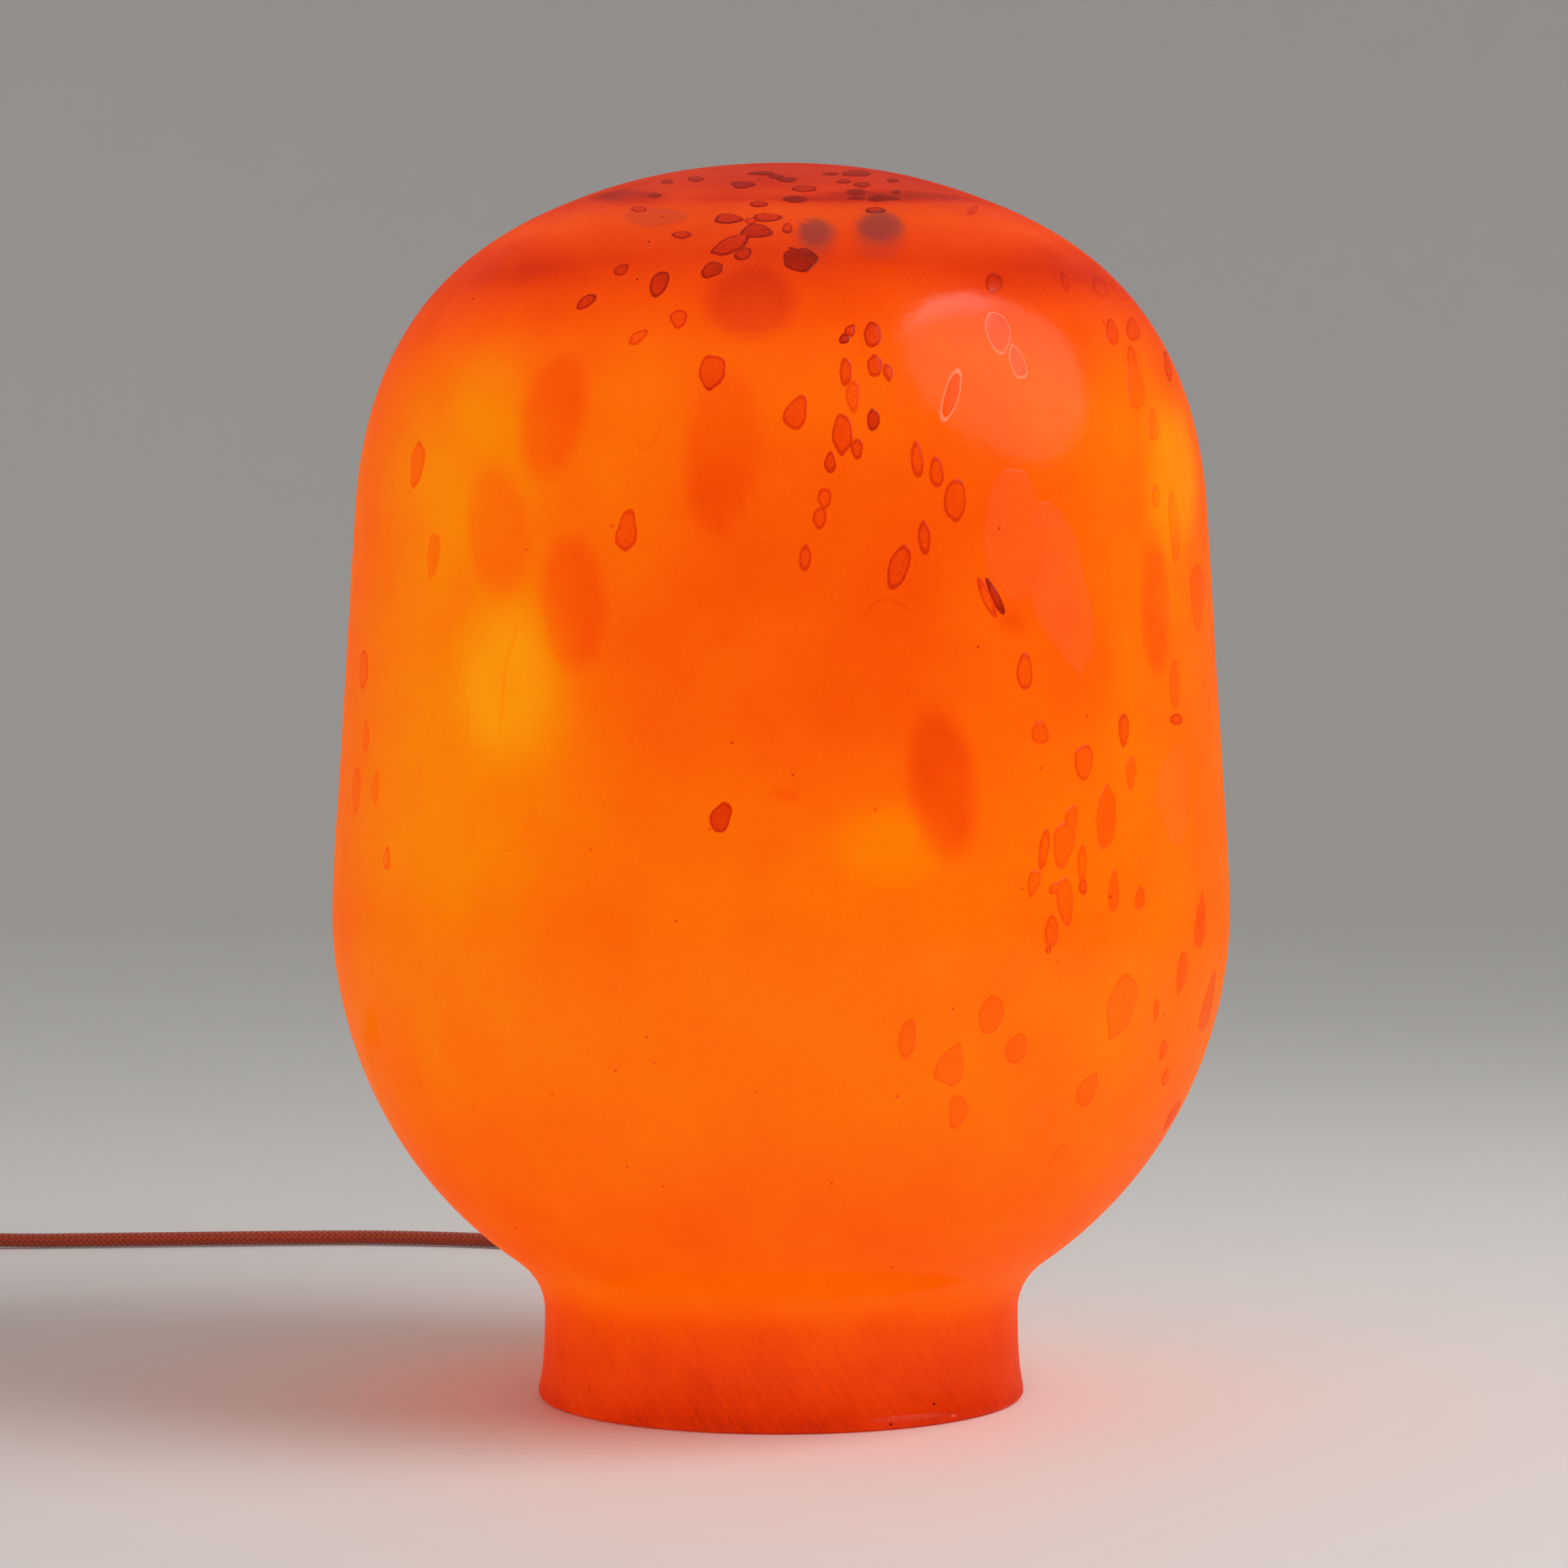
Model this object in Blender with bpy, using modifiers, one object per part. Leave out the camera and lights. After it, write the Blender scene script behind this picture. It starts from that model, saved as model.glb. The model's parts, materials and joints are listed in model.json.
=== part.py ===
"""Table lamp with a blown opal glass shade that lifts off a weighted base with a screw lampholder and a bulb.

Metres, +Z up. The origin is on the table, in the middle of the glass rim. The front faces -Y, and the cord
leaves the base at +Y, passes an in-line switch and ends in a tied coil with its plug.
"""

import math
from collections import namedtuple

import bmesh
import bpy
import numpy as np
from mathutils import Vector

# Fits
SEAT_GAP = 0.0003  # between pieces that touch on the real lamp
HOLE_GAP = 0.0003  # round a screw, pin, tube or cord in its hole
NOTCH_GAP = 0.0008  # round the boot in the notch of the glass, which lifts off over it
THREAD_GAP = 0.00035  # between the bulb's screw cap and the screw shell
BOOLEAN_LAP = 0.001  # how far a joined or cutting shape runs past the face it meets

# Glass shade: stations of its outer curve, from the crown down to the rim
GLASS_HEIGHT = 0.3681
GLASS_WALL = 0.004
CROWN_RADIUS = 0.0725
CROWN_DROP = 0.0147
CROWN_FALL = 24.9  # degrees below level
SHOULDER_RADIUS = 0.1282
SHOULDER_DROP = 0.1035
WALL_LEAN = 3.3  # degrees from upright
BELLY_RADIUS = 0.1348
BELLY_HEIGHT = 0.1437
BOWL_FALL = 35.4
NECK_RADIUS = 0.0715
NECK_HEIGHT = 0.0253
NECK_FILLET_REACH = 0.0092
NECK_FILLET_RISE = 0.0163
RIM_FLARE = 0.0016
RIM_ROUND = 0.0012
GLASS_OUTER_STEPS = (4, 6, 3, 6, 4, 3)
GLASS_INNER_STEPS = (3, 4, 2, 4, 3, 2)
GLASS_SIDES = 40

# Base
PAD_RADIUS = 0.007
PAD_HEIGHT = 0.0025
PAD_INSET = 0.0117  # of a pad's middle from the cover's outside
PAD_ANGLES = (90, 210, 330)
PLATE_THICKNESS = 0.003
COVER_HEIGHT = 0.0339
COVER_WALL = 0.0024
COVER_ROUND = 0.004
RING_SECTION = 0.0026  # radius of the ring's round section
RIB_REACH = 0.0032
RIB_THICKNESS = 0.0010
POST_RADIUS = 0.0042
POST_INSET = 0.0117  # of a post's middle from the cover's outside
POST_ANGLES = (30, 150, 270)
COVER_SCREW_RADIUS = 0.0015
COVER_SCREW_LENGTH = 0.0150
COVER_SCREW_HEAD = (0.0032, 0.0016)  # radius, height

# Cord, its boot and its clamp
CORD_DIAMETER = 0.0055
CORD_EXIT_HEIGHT = 0.012
BOOT_RADIUS = 0.0045
BOOT_END_RADIUS = 0.0035
BOOT_FLANGE_RADIUS = 0.0062
BOOT_FLANGE_THICKNESS = 0.0025
BOOT_REACH = 0.031  # past the glass rim
CLAMP_INSET = 0.0163  # of the clamp's middle from the cover's inside
CLAMP_LENGTH = 0.024
CLAMP_WIDTH = 0.008
CLAMP_BAR_HEIGHT = 0.0042
CLAMP_SCREW_PLACE = 0.0085
CLAMP_SCREW_RADIUS = 0.0014
CLAMP_SCREW_BITE = 0.0022
CLAMP_SCREW_HEAD = (0.0026, 0.0016)
INNER_CORD_STUB = 0.006  # past the clamp
LEAD_DIAMETER = 0.0022
LEAD_SPACING = 0.0030
TERMINAL_SPACING = 0.014
LEAD_STRAIGHT = 0.006  # out of the cord's end
LEAD_BEND = (0.012, 0.004)  # from the lamp's axis, above the cord
LEAD_FOOT = (0.002, 0.006)  # from the lamp's axis, below the tube
LEAD_ENTRY = 0.001  # above the tube's lower end
LEAD_EXIT = 0.002  # above the tube's upper end
LEAD_UPRIGHT = 0.003  # below its terminal

# Lampholder and its fixing
TUBE_RADIUS = 0.005
TUBE_BORE = 0.0034
TUBE_BELOW_NUT = 0.002
TUBE_IN_HOLDER = 0.006
WASHER_RADIUS = 0.009
WASHER_THICKNESS = 0.0009
NUT_RADIUS = 0.0081  # across the corners
NUT_HEIGHT = 0.003
HOLDER_CAP_HEIGHT = 0.0177
HOLDER_FOOT_RADIUS = 0.0105
HOLDER_BOSS = 0.004
HOLDER_SKIRT = 0.005
HOLDER_WALL = 0.0026
HOLDER_LIP = 0.0025
INSERT_WALL = 0.0015
INSERT_FLOOR = 0.005
SHELL_WALL = 0.0005
CONTACT_RISE = 0.0018
CONTACT_REACH = 0.0085
CONTACT_WIDTH = 0.006
CONTACT_THICKNESS = 0.0005
CONTACT_OVERRUN = 1.35  # length of the strip, in reaches
CONTACT_STEEPNESS = 1.5  # its rise ends this many times sooner than the strip
TERMINAL_SCREW_RADIUS = 0.0013
TERMINAL_SCREW_LENGTH = 0.0035
TERMINAL_SCREW_HEAD = (0.0024, 0.0015)

# Bulb
THREAD_RADIUS = 0.0131
THREAD_DEPTH = 0.0007
THREAD_PITCH = 0.003629
CAP_LENGTH = 0.0182
CAP_WALL = 0.0008
INSULATOR_LENGTH = 0.0044
INSULATOR_RADIUS = 0.0118
TIP_LENGTH = 0.0025
TIP_RADIUS = 0.0048
COLLAR_FOOT_RADIUS = 0.0158
COLLAR_HEIGHT = 0.0332
COLLAR_WALL = 0.0018
SPIGOT_LENGTH = 0.009
COLLAR_FLOOR = 0.006  # thickness of the collar where it widens inside
GLOBE_RADIUS = 0.030
GLOBE_SINK = 0.0092  # from the globe's centre down to its open edge
GLOBE_WALL = 0.0013
BOARD_THICKNESS = 0.0016
BOARD_LEDGE = 0.0025
BOARD_DEPTH = 0.0010  # of its upper face below the collar's edge
LED_COUNT = 10
LED_SIZE = 0.003
LED_HEIGHT = 0.0008
LED_CIRCLE = 0.017
DRIVER_SIZE = (0.0018, 0.018, 0.022)

# In-line switch, lying along the cord
SWITCH_PLACE = (-0.378, 0.345)
SWITCH_LENGTH = 0.060
SWITCH_WIDTH = 0.024
SWITCH_END_WIDTH = 0.011
SWITCH_FULLNESS = 4  # power of its outline: higher is squarer
SWITCH_BASE_HEIGHT = 0.0070
SWITCH_COVER_HEIGHT = 0.0080
SWITCH_EDGE = 0.0012
SWITCH_POCKET = (0.024, 0.014, 0.005)
ROCKER_LENGTH = 0.0190
ROCKER_WIDTH = 0.0104
ROCKER_RISE = 0.0044  # of its ends above the pivot
ROCKER_DIP = 0.0026  # of its middle above the pivot
ROCKER_KEEL = 0.0042
ROCKER_TILT = 8.0  # degrees either side of level
ROCKER_END_GAP = 0.0008
ROCKER_SIDE_GAP = 0.0003
PIVOT_DEPTH = 0.0028  # below the top of the cover
PIN_RADIUS = 0.0010
PIN_BEARING = 0.0025
SWITCH_SCREW_PLACE = (0.019, 0.0065)
SWITCH_SCREW_RADIUS = 0.0012
SWITCH_SCREW_HEAD = (0.0022, 0.0016)
SWITCH_SCREW_BITE = 0.0040
SWITCH_CONTACT_SIZE = (0.003, 0.006, 0.0032)
SWITCH_CONTACT_PLACE = 0.007

# Plug
PLUG_LENGTH = 0.036
PLUG_WIDTH = 0.034
PLUG_END_WIDTH = 0.013
PLUG_STEEPNESS = 1.4  # its widening ends this many times sooner than the plug
PLUG_THICKNESS = 0.0137
PLUG_EDGE = 0.0018
PLUG_PIN_RADIUS = 0.002
PLUG_PIN_LENGTH = 0.019
PLUG_PIN_SPACING = 0.019
PLUG_PIN_DEPTH = 0.008

# Coil and tie
COIL_PLACE = (-0.455, 0.3039)
COIL_MIDDLE_RADIUS = 0.0330
COIL_STEP = 0.0063  # between turns
COIL_RISE = 0.0062  # between layers
COIL_TURNS = 2.5  # in each of its two layers
COIL_DIP = 0.0012  # inwards, where the cord climbs
COIL_TURN_POINTS = 24
TIE_THICKNESS = 0.0009
TIE_WIDTH = 0.010
TIE_ROUND = 0.003
TAIL_LENGTH = 0.034

# How the cord leaves the boot and meets the switch, the coil and the plug
CORD_OUT = (0.014, -0.0015)  # past the boot, and against its height
CORD_DOWN = (-0.0004, 0.036, 0.0025)  # aside, past the boot, and above its rest
SWITCH_APPROACH = (0.030, 0.0007)  # before the switch, and above the cord's rest
SWITCH_ENTRY = (0.012, -0.0012)  # before the switch, and against its split
SWITCH_LEAVING = (0.012, -0.0009)  # past the switch, and against its split
COIL_ENTRY = (0.012, 0.0004)  # before the coil, and above its lower layer
COIL_LEAVING = (0.010, -0.0004)  # past the coil, and against its upper layer
PLUG_ENTRY = (0.010, 0.0004)  # before the plug, and above its middle
CORD_STEP = 2.5  # diameters between the points of a stretch

# Free stretch of the cord on the table, from behind the boot to the switch (x, y), chosen along the photo
CORD_ROUTE = (
    (-0.002, 0.165),
    (-0.007, 0.200),
    (-0.017, 0.240),
    (-0.034, 0.280),
    (-0.060, 0.315),
    (-0.092, 0.3370),
    (-0.125, 0.3500),
    (-0.160, 0.3565),
    (-0.192, 0.3560),
    (-0.226, 0.3530),
    (-0.260, 0.3497),
    (-0.292, 0.3468),
)

# Heights and radii that follow from the sizes above
CORD_RADIUS = CORD_DIAMETER / 2
RIM_RADIUS = NECK_RADIUS + RIM_FLARE
RIM_BORE = RIM_RADIUS - GLASS_WALL
NECK_BORE = NECK_RADIUS - GLASS_WALL
RING_RADIUS = NECK_BORE - SEAT_GAP - RING_SECTION
COVER_RADIUS = RING_RADIUS - RING_SECTION - SEAT_GAP
COVER_BORE = COVER_RADIUS - COVER_WALL
PAD_CIRCLE = COVER_RADIUS - PAD_INSET
POST_CIRCLE = COVER_RADIUS - POST_INSET
CLAMP_PLACE = COVER_BORE - CLAMP_INSET
INNER_CORD_END = CLAMP_PLACE - CLAMP_WIDTH / 2 - INNER_CORD_STUB
PLATE_BOTTOM = PAD_HEIGHT + SEAT_GAP
PLATE_TOP = PLATE_BOTTOM + PLATE_THICKNESS
COVER_BOTTOM = PLATE_TOP + SEAT_GAP
COVER_TOP = COVER_BOTTOM + COVER_HEIGHT
COVER_CEILING = COVER_TOP - COVER_WALL
TUBE_HOLE = TUBE_RADIUS + HOLE_GAP
BOOT_END = RIM_RADIUS + BOOT_REACH
SHELL_CREST = THREAD_RADIUS + THREAD_GAP
SHELL_OUTER = SHELL_CREST + THREAD_DEPTH + SHELL_WALL
INSERT_BORE = SHELL_OUTER + SEAT_GAP
INSERT_RADIUS = INSERT_BORE + INSERT_WALL
HOLDER_BORE = INSERT_RADIUS + SEAT_GAP
HOLDER_RADIUS = HOLDER_BORE + HOLDER_WALL
HOLDER_CAP_BOTTOM = COVER_TOP + SEAT_GAP
HOLDER_CAP_TOP = HOLDER_CAP_BOTTOM + HOLDER_CAP_HEIGHT
INSERT_BOTTOM = HOLDER_CAP_TOP + SEAT_GAP
INSERT_FLOOR_TOP = INSERT_BOTTOM + INSERT_FLOOR
CONTACT_BOTTOM = INSERT_FLOOR_TOP + SEAT_GAP
TIP_BOTTOM = CONTACT_BOTTOM + CONTACT_RISE + SEAT_GAP
INSULATOR_BOTTOM = TIP_BOTTOM + TIP_LENGTH + SEAT_GAP
CAP_BOTTOM = INSULATOR_BOTTOM + INSULATOR_LENGTH + SEAT_GAP
BULB_SEAT = CAP_BOTTOM + CAP_LENGTH + SEAT_GAP
HOLDER_TOP = BULB_SEAT - SEAT_GAP
INSERT_TOP = HOLDER_TOP - HOLDER_LIP - SEAT_GAP
SWITCH_SPLIT = SWITCH_BASE_HEIGHT + SEAT_GAP / 2
SWITCH_TOP = SWITCH_BASE_HEIGHT + SEAT_GAP + SWITCH_COVER_HEIGHT
PIVOT_HEIGHT = SWITCH_TOP - PIVOT_DEPTH
COIL_OUTER = COIL_MIDDLE_RADIUS + COIL_STEP * COIL_TURNS / 2
COIL_INNER = COIL_MIDDLE_RADIUS - COIL_STEP * COIL_TURNS / 2
COIL_LOW = TIE_THICKNESS + SEAT_GAP + CORD_RADIUS
COIL_HIGH = COIL_LOW + COIL_RISE

Station = namedtuple("Station", "radius height fall arrive leave")

PARTS = bpy.data.collections.new("glass_table_lamp")
TOOLS = bpy.data.collections.new("cutters_and_joins")


def clear_scene():
    """Removes every object and links the two collections."""
    for obj in list(bpy.data.objects):
        bpy.data.objects.remove(obj, do_unlink=True)
    bpy.context.scene.collection.children.link(PARTS)
    bpy.context.scene.collection.children.link(TOOLS)


def finish(name, colour, roughness, metallic=0.0, transmission=0.0):
    """A plain surface finish."""
    material = bpy.data.materials.new(name)
    material.use_nodes = True
    shader = material.node_tree.nodes["Principled BSDF"]
    shader.inputs["Base Color"].default_value = (*colour, 1.0)
    shader.inputs["Roughness"].default_value = roughness
    shader.inputs["Metallic"].default_value = metallic
    shader.inputs["Transmission Weight"].default_value = transmission
    material.diffuse_color = (*colour, 1.0)
    return material


def make_finishes():
    """The lamp's finishes, by name."""
    return {
        "orange_glass": finish("orange_glass", (1.0, 0.16, 0.01), 0.12),
        "steel": finish("steel", (0.45, 0.45, 0.46), 0.40, 1.0),
        "white_plastic": finish("white_plastic", (0.82, 0.81, 0.78), 0.45),
        "clear_silicone": finish("clear_silicone", (0.75, 0.75, 0.72), 0.50),
        "black_rubber": finish("black_rubber", (0.03, 0.03, 0.03), 0.75),
        "zinc_screw": finish("zinc_screw", (0.62, 0.62, 0.60), 0.35, 1.0),
        "brass": finish("brass", (0.78, 0.57, 0.25), 0.30, 1.0),
        "nickel": finish("nickel", (0.72, 0.70, 0.66), 0.25, 1.0),
        "white_ceramic": finish("white_ceramic", (0.86, 0.85, 0.82), 0.25),
        "opal_plastic": finish("opal_plastic", (0.95, 0.94, 0.90), 0.35),
        "black_insulator": finish("black_insulator", (0.02, 0.02, 0.025), 0.20),
        "aluminium": finish("aluminium", (0.80, 0.81, 0.82), 0.40, 1.0),
        "green_board": finish("green_board", (0.05, 0.25, 0.10), 0.50),
        "rust_textile": finish("rust_textile", (0.40, 0.07, 0.02), 0.90),
        "brown_core": finish("brown_core", (0.16, 0.07, 0.03), 0.50),
        "blue_core": finish("blue_core", (0.03, 0.10, 0.40), 0.50),
        "dark_plastic": finish("dark_plastic", (0.025, 0.022, 0.020), 0.40),
        "black_strap": finish("black_strap", (0.02, 0.02, 0.02), 0.90),
    }


def assembly(name, location=(0.0, 0.0, 0.0)):
    """An empty that carries the pieces of one sub-assembly."""
    empty = bpy.data.objects.new(name, None)
    empty.location = location
    empty.empty_display_size = 0.02
    PARTS.objects.link(empty)
    return empty


def piece(name, data, material, parent, location=(0.0, 0.0, 0.0), rotation=(0.0, 0.0, 0.0)):
    """A named part of the lamp."""
    obj = bpy.data.objects.new(name, data)
    obj.parent = parent
    obj.location = location
    obj.rotation_euler = rotation
    obj.data.materials.append(material)
    PARTS.objects.link(obj)
    return obj


def tool(name, mesh, parent, location=(0.0, 0.0, 0.0), rotation=(0.0, 0.0, 0.0)):
    """A hidden shape that cuts or joins a part."""
    obj = bpy.data.objects.new(name, mesh)
    obj.parent = parent
    obj.location = location
    obj.rotation_euler = rotation
    obj.hide_render = True
    obj.display_type = "WIRE"
    TOOLS.objects.link(obj)
    return obj


def combine(obj, other, operation):
    """Cuts or joins a part with a tool."""
    modifier = obj.modifiers.new(f"{operation.lower()}_{other.name}", "BOOLEAN")
    modifier.operation = operation
    modifier.object = other
    modifier.solver = "EXACT"


def rod_mesh(radius, length, sides=24):
    """A cylinder along Z, centred on its origin."""
    shape = bmesh.new()
    bmesh.ops.create_cone(
        shape, cap_ends=True, segments=sides, radius1=radius, radius2=radius, depth=length
    )
    return mesh_of(shape, "rod")


def block_mesh(size):
    """A box centred on its origin."""
    shape = bmesh.new()
    bmesh.ops.create_cube(shape, size=1.0)
    bmesh.ops.scale(shape, vec=size, verts=shape.verts)
    return mesh_of(shape, "block")


def mesh_of(shape, name):
    """The mesh of a finished bmesh, smooth between its sharp edges."""
    mesh = bpy.data.meshes.new(name)
    shape.to_mesh(mesh)
    shape.free()
    mesh.shade_smooth()
    mesh.set_sharp_from_angle(angle=math.radians(35))
    return mesh


def turned(name, outline, material, parent, steps=32, closed=True, **place):
    """A shape turned about Z from (radius, height) points that run down its outer side."""
    mesh = bpy.data.meshes.new(name)
    edges = [(i, i + 1) for i in range(len(outline) - 1)]
    if closed:
        edges.append((len(outline) - 1, 0))
    mesh.from_pydata([(radius, 0.0, height) for radius, height in outline], edges, [])
    obj = piece(name, mesh, material, parent, **place)
    screw = obj.modifiers.new("turn", "SCREW")
    screw.steps = screw.render_steps = steps
    screw.use_merge_vertices = True
    screw.merge_threshold = 1e-5
    screw.use_smooth_shade = True
    return obj


def tube(name, points, radius, material, parent, sides_step=2):
    """A round tube with flat ends along the points."""
    curve = bpy.data.curves.new(name, "CURVE")
    curve.dimensions = "3D"
    curve.bevel_depth = radius
    curve.bevel_resolution = sides_step
    curve.use_fill_caps = True
    spline = curve.splines.new("POLY")
    spline.points.add(len(points) - 1)
    for target, point in zip(spline.points, points):
        target.co = (*point, 1.0)
    return piece(name, curve, material, parent)


def flat_mesh(name, loops, thickness):
    """The solid of a flat outline, with holes for the loops after the first, centred on its thickness."""
    curve = bpy.data.curves.new(name, "CURVE")
    curve.dimensions = "2D"
    curve.fill_mode = "BOTH"
    curve.extrude = thickness / 2
    for loop in loops:
        spline = curve.splines.new("POLY")
        spline.points.add(len(loop) - 1)
        spline.use_cyclic_u = True
        for target, (x, y) in zip(spline.points, loop):
            target.co = (x, y, 0.0, 1.0)
    guide = bpy.data.objects.new(name, curve)
    bpy.context.scene.collection.objects.link(guide)
    bpy.context.view_layer.update()
    graph = bpy.context.evaluated_depsgraph_get()
    made = bpy.data.meshes.new_from_object(guide.evaluated_get(graph))
    bpy.data.objects.remove(guide, do_unlink=True)
    shape = bmesh.new()
    shape.from_mesh(made)
    bmesh.ops.remove_doubles(shape, verts=shape.verts, dist=1e-6)
    bmesh.ops.dissolve_limit(
        shape, angle_limit=math.radians(0.5), verts=shape.verts, edges=shape.edges
    )
    bmesh.ops.recalc_face_normals(shape, faces=shape.faces)
    bpy.data.meshes.remove(made)
    return mesh_of(shape, name)


def soften(obj, width):
    """Rounds the sharp edges of a part."""
    bevel = obj.modifiers.new("edges", "BEVEL")
    bevel.width = width
    bevel.segments = 1
    bevel.limit_method = "ANGLE"
    bevel.angle_limit = math.radians(50)


def arc(centre, radius, start, end, steps=3):
    """Points of a circular arc, angles in degrees, both ends included."""
    angles = [math.radians(start + (end - start) * i / steps) for i in range(steps + 1)]
    return [(centre[0] + radius * math.cos(a), centre[1] + radius * math.sin(a)) for a in angles]


def on_circle(radius, degrees):
    """The point of a level circle at an angle from +X."""
    return radius * math.cos(math.radians(degrees)), radius * math.sin(math.radians(degrees))


def screw(name, shaft, length, head, material, parent, location, points_up):
    """A pan-head screw whose shaft starts under its head, at its origin, and points up or down."""
    head_radius, head_height = head
    outline = [(0.0, head_height), (head_radius, head_height), (head_radius, 0.0), (shaft, 0.0)]
    outline += [(shaft, -length), (0.0, -length)]
    turn = (math.pi, 0.0, 0.0) if points_up else (0.0, 0.0, 0.0)
    return turned(
        name, outline, material, parent, 12, closed=False, location=location, rotation=turn
    )


def drill(obj, parent, radius, length, location, rotation=(0.0, 0.0, 0.0), sides=16):
    """Cuts a round hole, centred on the location, through a part."""
    cutter = tool(f"hole_in_{obj.name}", rod_mesh(radius, length, sides), parent, location, rotation)
    combine(obj, cutter, "DIFFERENCE")


def glass_stations():
    """The glass's outer curve: where it passes, how it falls, and its handles as shares of each span."""
    neck_bottom = RIM_ROUND
    return (
        Station(0.0, GLASS_HEIGHT, 0.0, 0.0, 0.438),
        Station(CROWN_RADIUS, GLASS_HEIGHT - CROWN_DROP, CROWN_FALL, 0.344, 0.341),
        Station(SHOULDER_RADIUS, GLASS_HEIGHT - SHOULDER_DROP, 90 - WALL_LEAN, 0.450, 0.865),
        Station(BELLY_RADIUS, BELLY_HEIGHT, 90.0, 0.122, 0.240),
        Station(
            NECK_RADIUS + NECK_FILLET_REACH,
            NECK_HEIGHT + NECK_FILLET_RISE,
            180 - BOWL_FALL,
            0.443,
            0.428,
        ),
        Station(NECK_RADIUS, NECK_HEIGHT, 90.0, 0.326, 0.800),
        Station(RIM_RADIUS, neck_bottom, 90.0, 0.158, 0.0),
    )


def glass_curve(steps_per_span, inset):
    """Points down the glass's outer curve, moved inwards by the inset."""
    stations = glass_stations()
    found = []
    for first, last, steps in zip(stations, stations[1:], steps_per_span):
        start = np.array((first.radius, first.height))
        end = np.array((last.radius, last.height))
        chord = np.linalg.norm(end - start)
        out_way = np.array((math.cos(math.radians(first.fall)), -math.sin(math.radians(first.fall))))
        in_way = np.array((math.cos(math.radians(last.fall)), -math.sin(math.radians(last.fall))))
        leave = start + out_way * first.leave * chord
        arrive = end - in_way * last.arrive * chord
        for share in np.linspace(0.0, 1.0, steps + 1)[(1 if found else 0):]:
            rest = 1.0 - share
            point = rest**3 * start + 3 * rest**2 * share * leave
            point = point + 3 * rest * share**2 * arrive + share**3 * end
            slope = rest**2 * (leave - start) + 2 * rest * share * (arrive - leave)
            slope = slope + share**2 * (end - arrive)
            slope = slope / np.linalg.norm(slope)
            inward = np.array((slope[1], -slope[0]))
            radius, height = point + inset * inward
            found.append((max(0.0, float(radius)), float(height)))
    return found


def make_glass(finishes):
    """The shade with its foot, ground rim and cord notch."""
    group = assembly("glass_lifts_off")
    outline = glass_curve(GLASS_OUTER_STEPS, 0.0)
    outline += arc((RIM_RADIUS - RIM_ROUND, RIM_ROUND), RIM_ROUND, 0, -90)[1:]
    outline += arc((RIM_BORE + RIM_ROUND, RIM_ROUND), RIM_ROUND, -90, -180)[:-1]
    outline += reversed(glass_curve(GLASS_INNER_STEPS, GLASS_WALL))
    shade = turned("glass_shade", outline, finishes["orange_glass"], group, GLASS_SIDES, closed=False)
    notch_radius = BOOT_RADIUS + NOTCH_GAP
    middle = (RIM_RADIUS + NECK_BORE) / 2
    reach = 4 * GLASS_WALL
    arch = tool(
        "notch_arch",
        rod_mesh(notch_radius, reach, 16),
        group,
        (0.0, middle, CORD_EXIT_HEIGHT),
        (math.pi / 2, 0.0, 0.0),
    )
    slot_height = CORD_EXIT_HEIGHT + BOOLEAN_LAP
    slot = tool(
        "notch_slot",
        block_mesh((2 * notch_radius, reach, slot_height)),
        group,
        (0.0, middle, CORD_EXIT_HEIGHT - slot_height / 2),
    )
    combine(shade, arch, "DIFFERENCE")
    combine(shade, slot, "DIFFERENCE")


def cover_outline():
    """The base cover's section: its round top edge, the two ribs that hold the ring, and its wall."""
    outline = [(TUBE_HOLE, COVER_TOP)]
    outline += arc((COVER_RADIUS - COVER_ROUND, COVER_TOP - COVER_ROUND), COVER_ROUND, 90, 0, 2)
    half_groove = RING_SECTION + SEAT_GAP
    rib_radius = COVER_RADIUS + RIB_REACH
    for low, high in (
        (NECK_HEIGHT + half_groove, NECK_HEIGHT + half_groove + RIB_THICKNESS),
        (NECK_HEIGHT - half_groove - RIB_THICKNESS, NECK_HEIGHT - half_groove),
    ):
        outline += [(COVER_RADIUS, high), (rib_radius, high), (rib_radius, low), (COVER_RADIUS, low)]
    outline += [(COVER_RADIUS, COVER_BOTTOM), (COVER_BORE, COVER_BOTTOM)]
    outline += [(COVER_BORE, COVER_CEILING), (TUBE_HOLE, COVER_CEILING)]
    return outline


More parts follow.
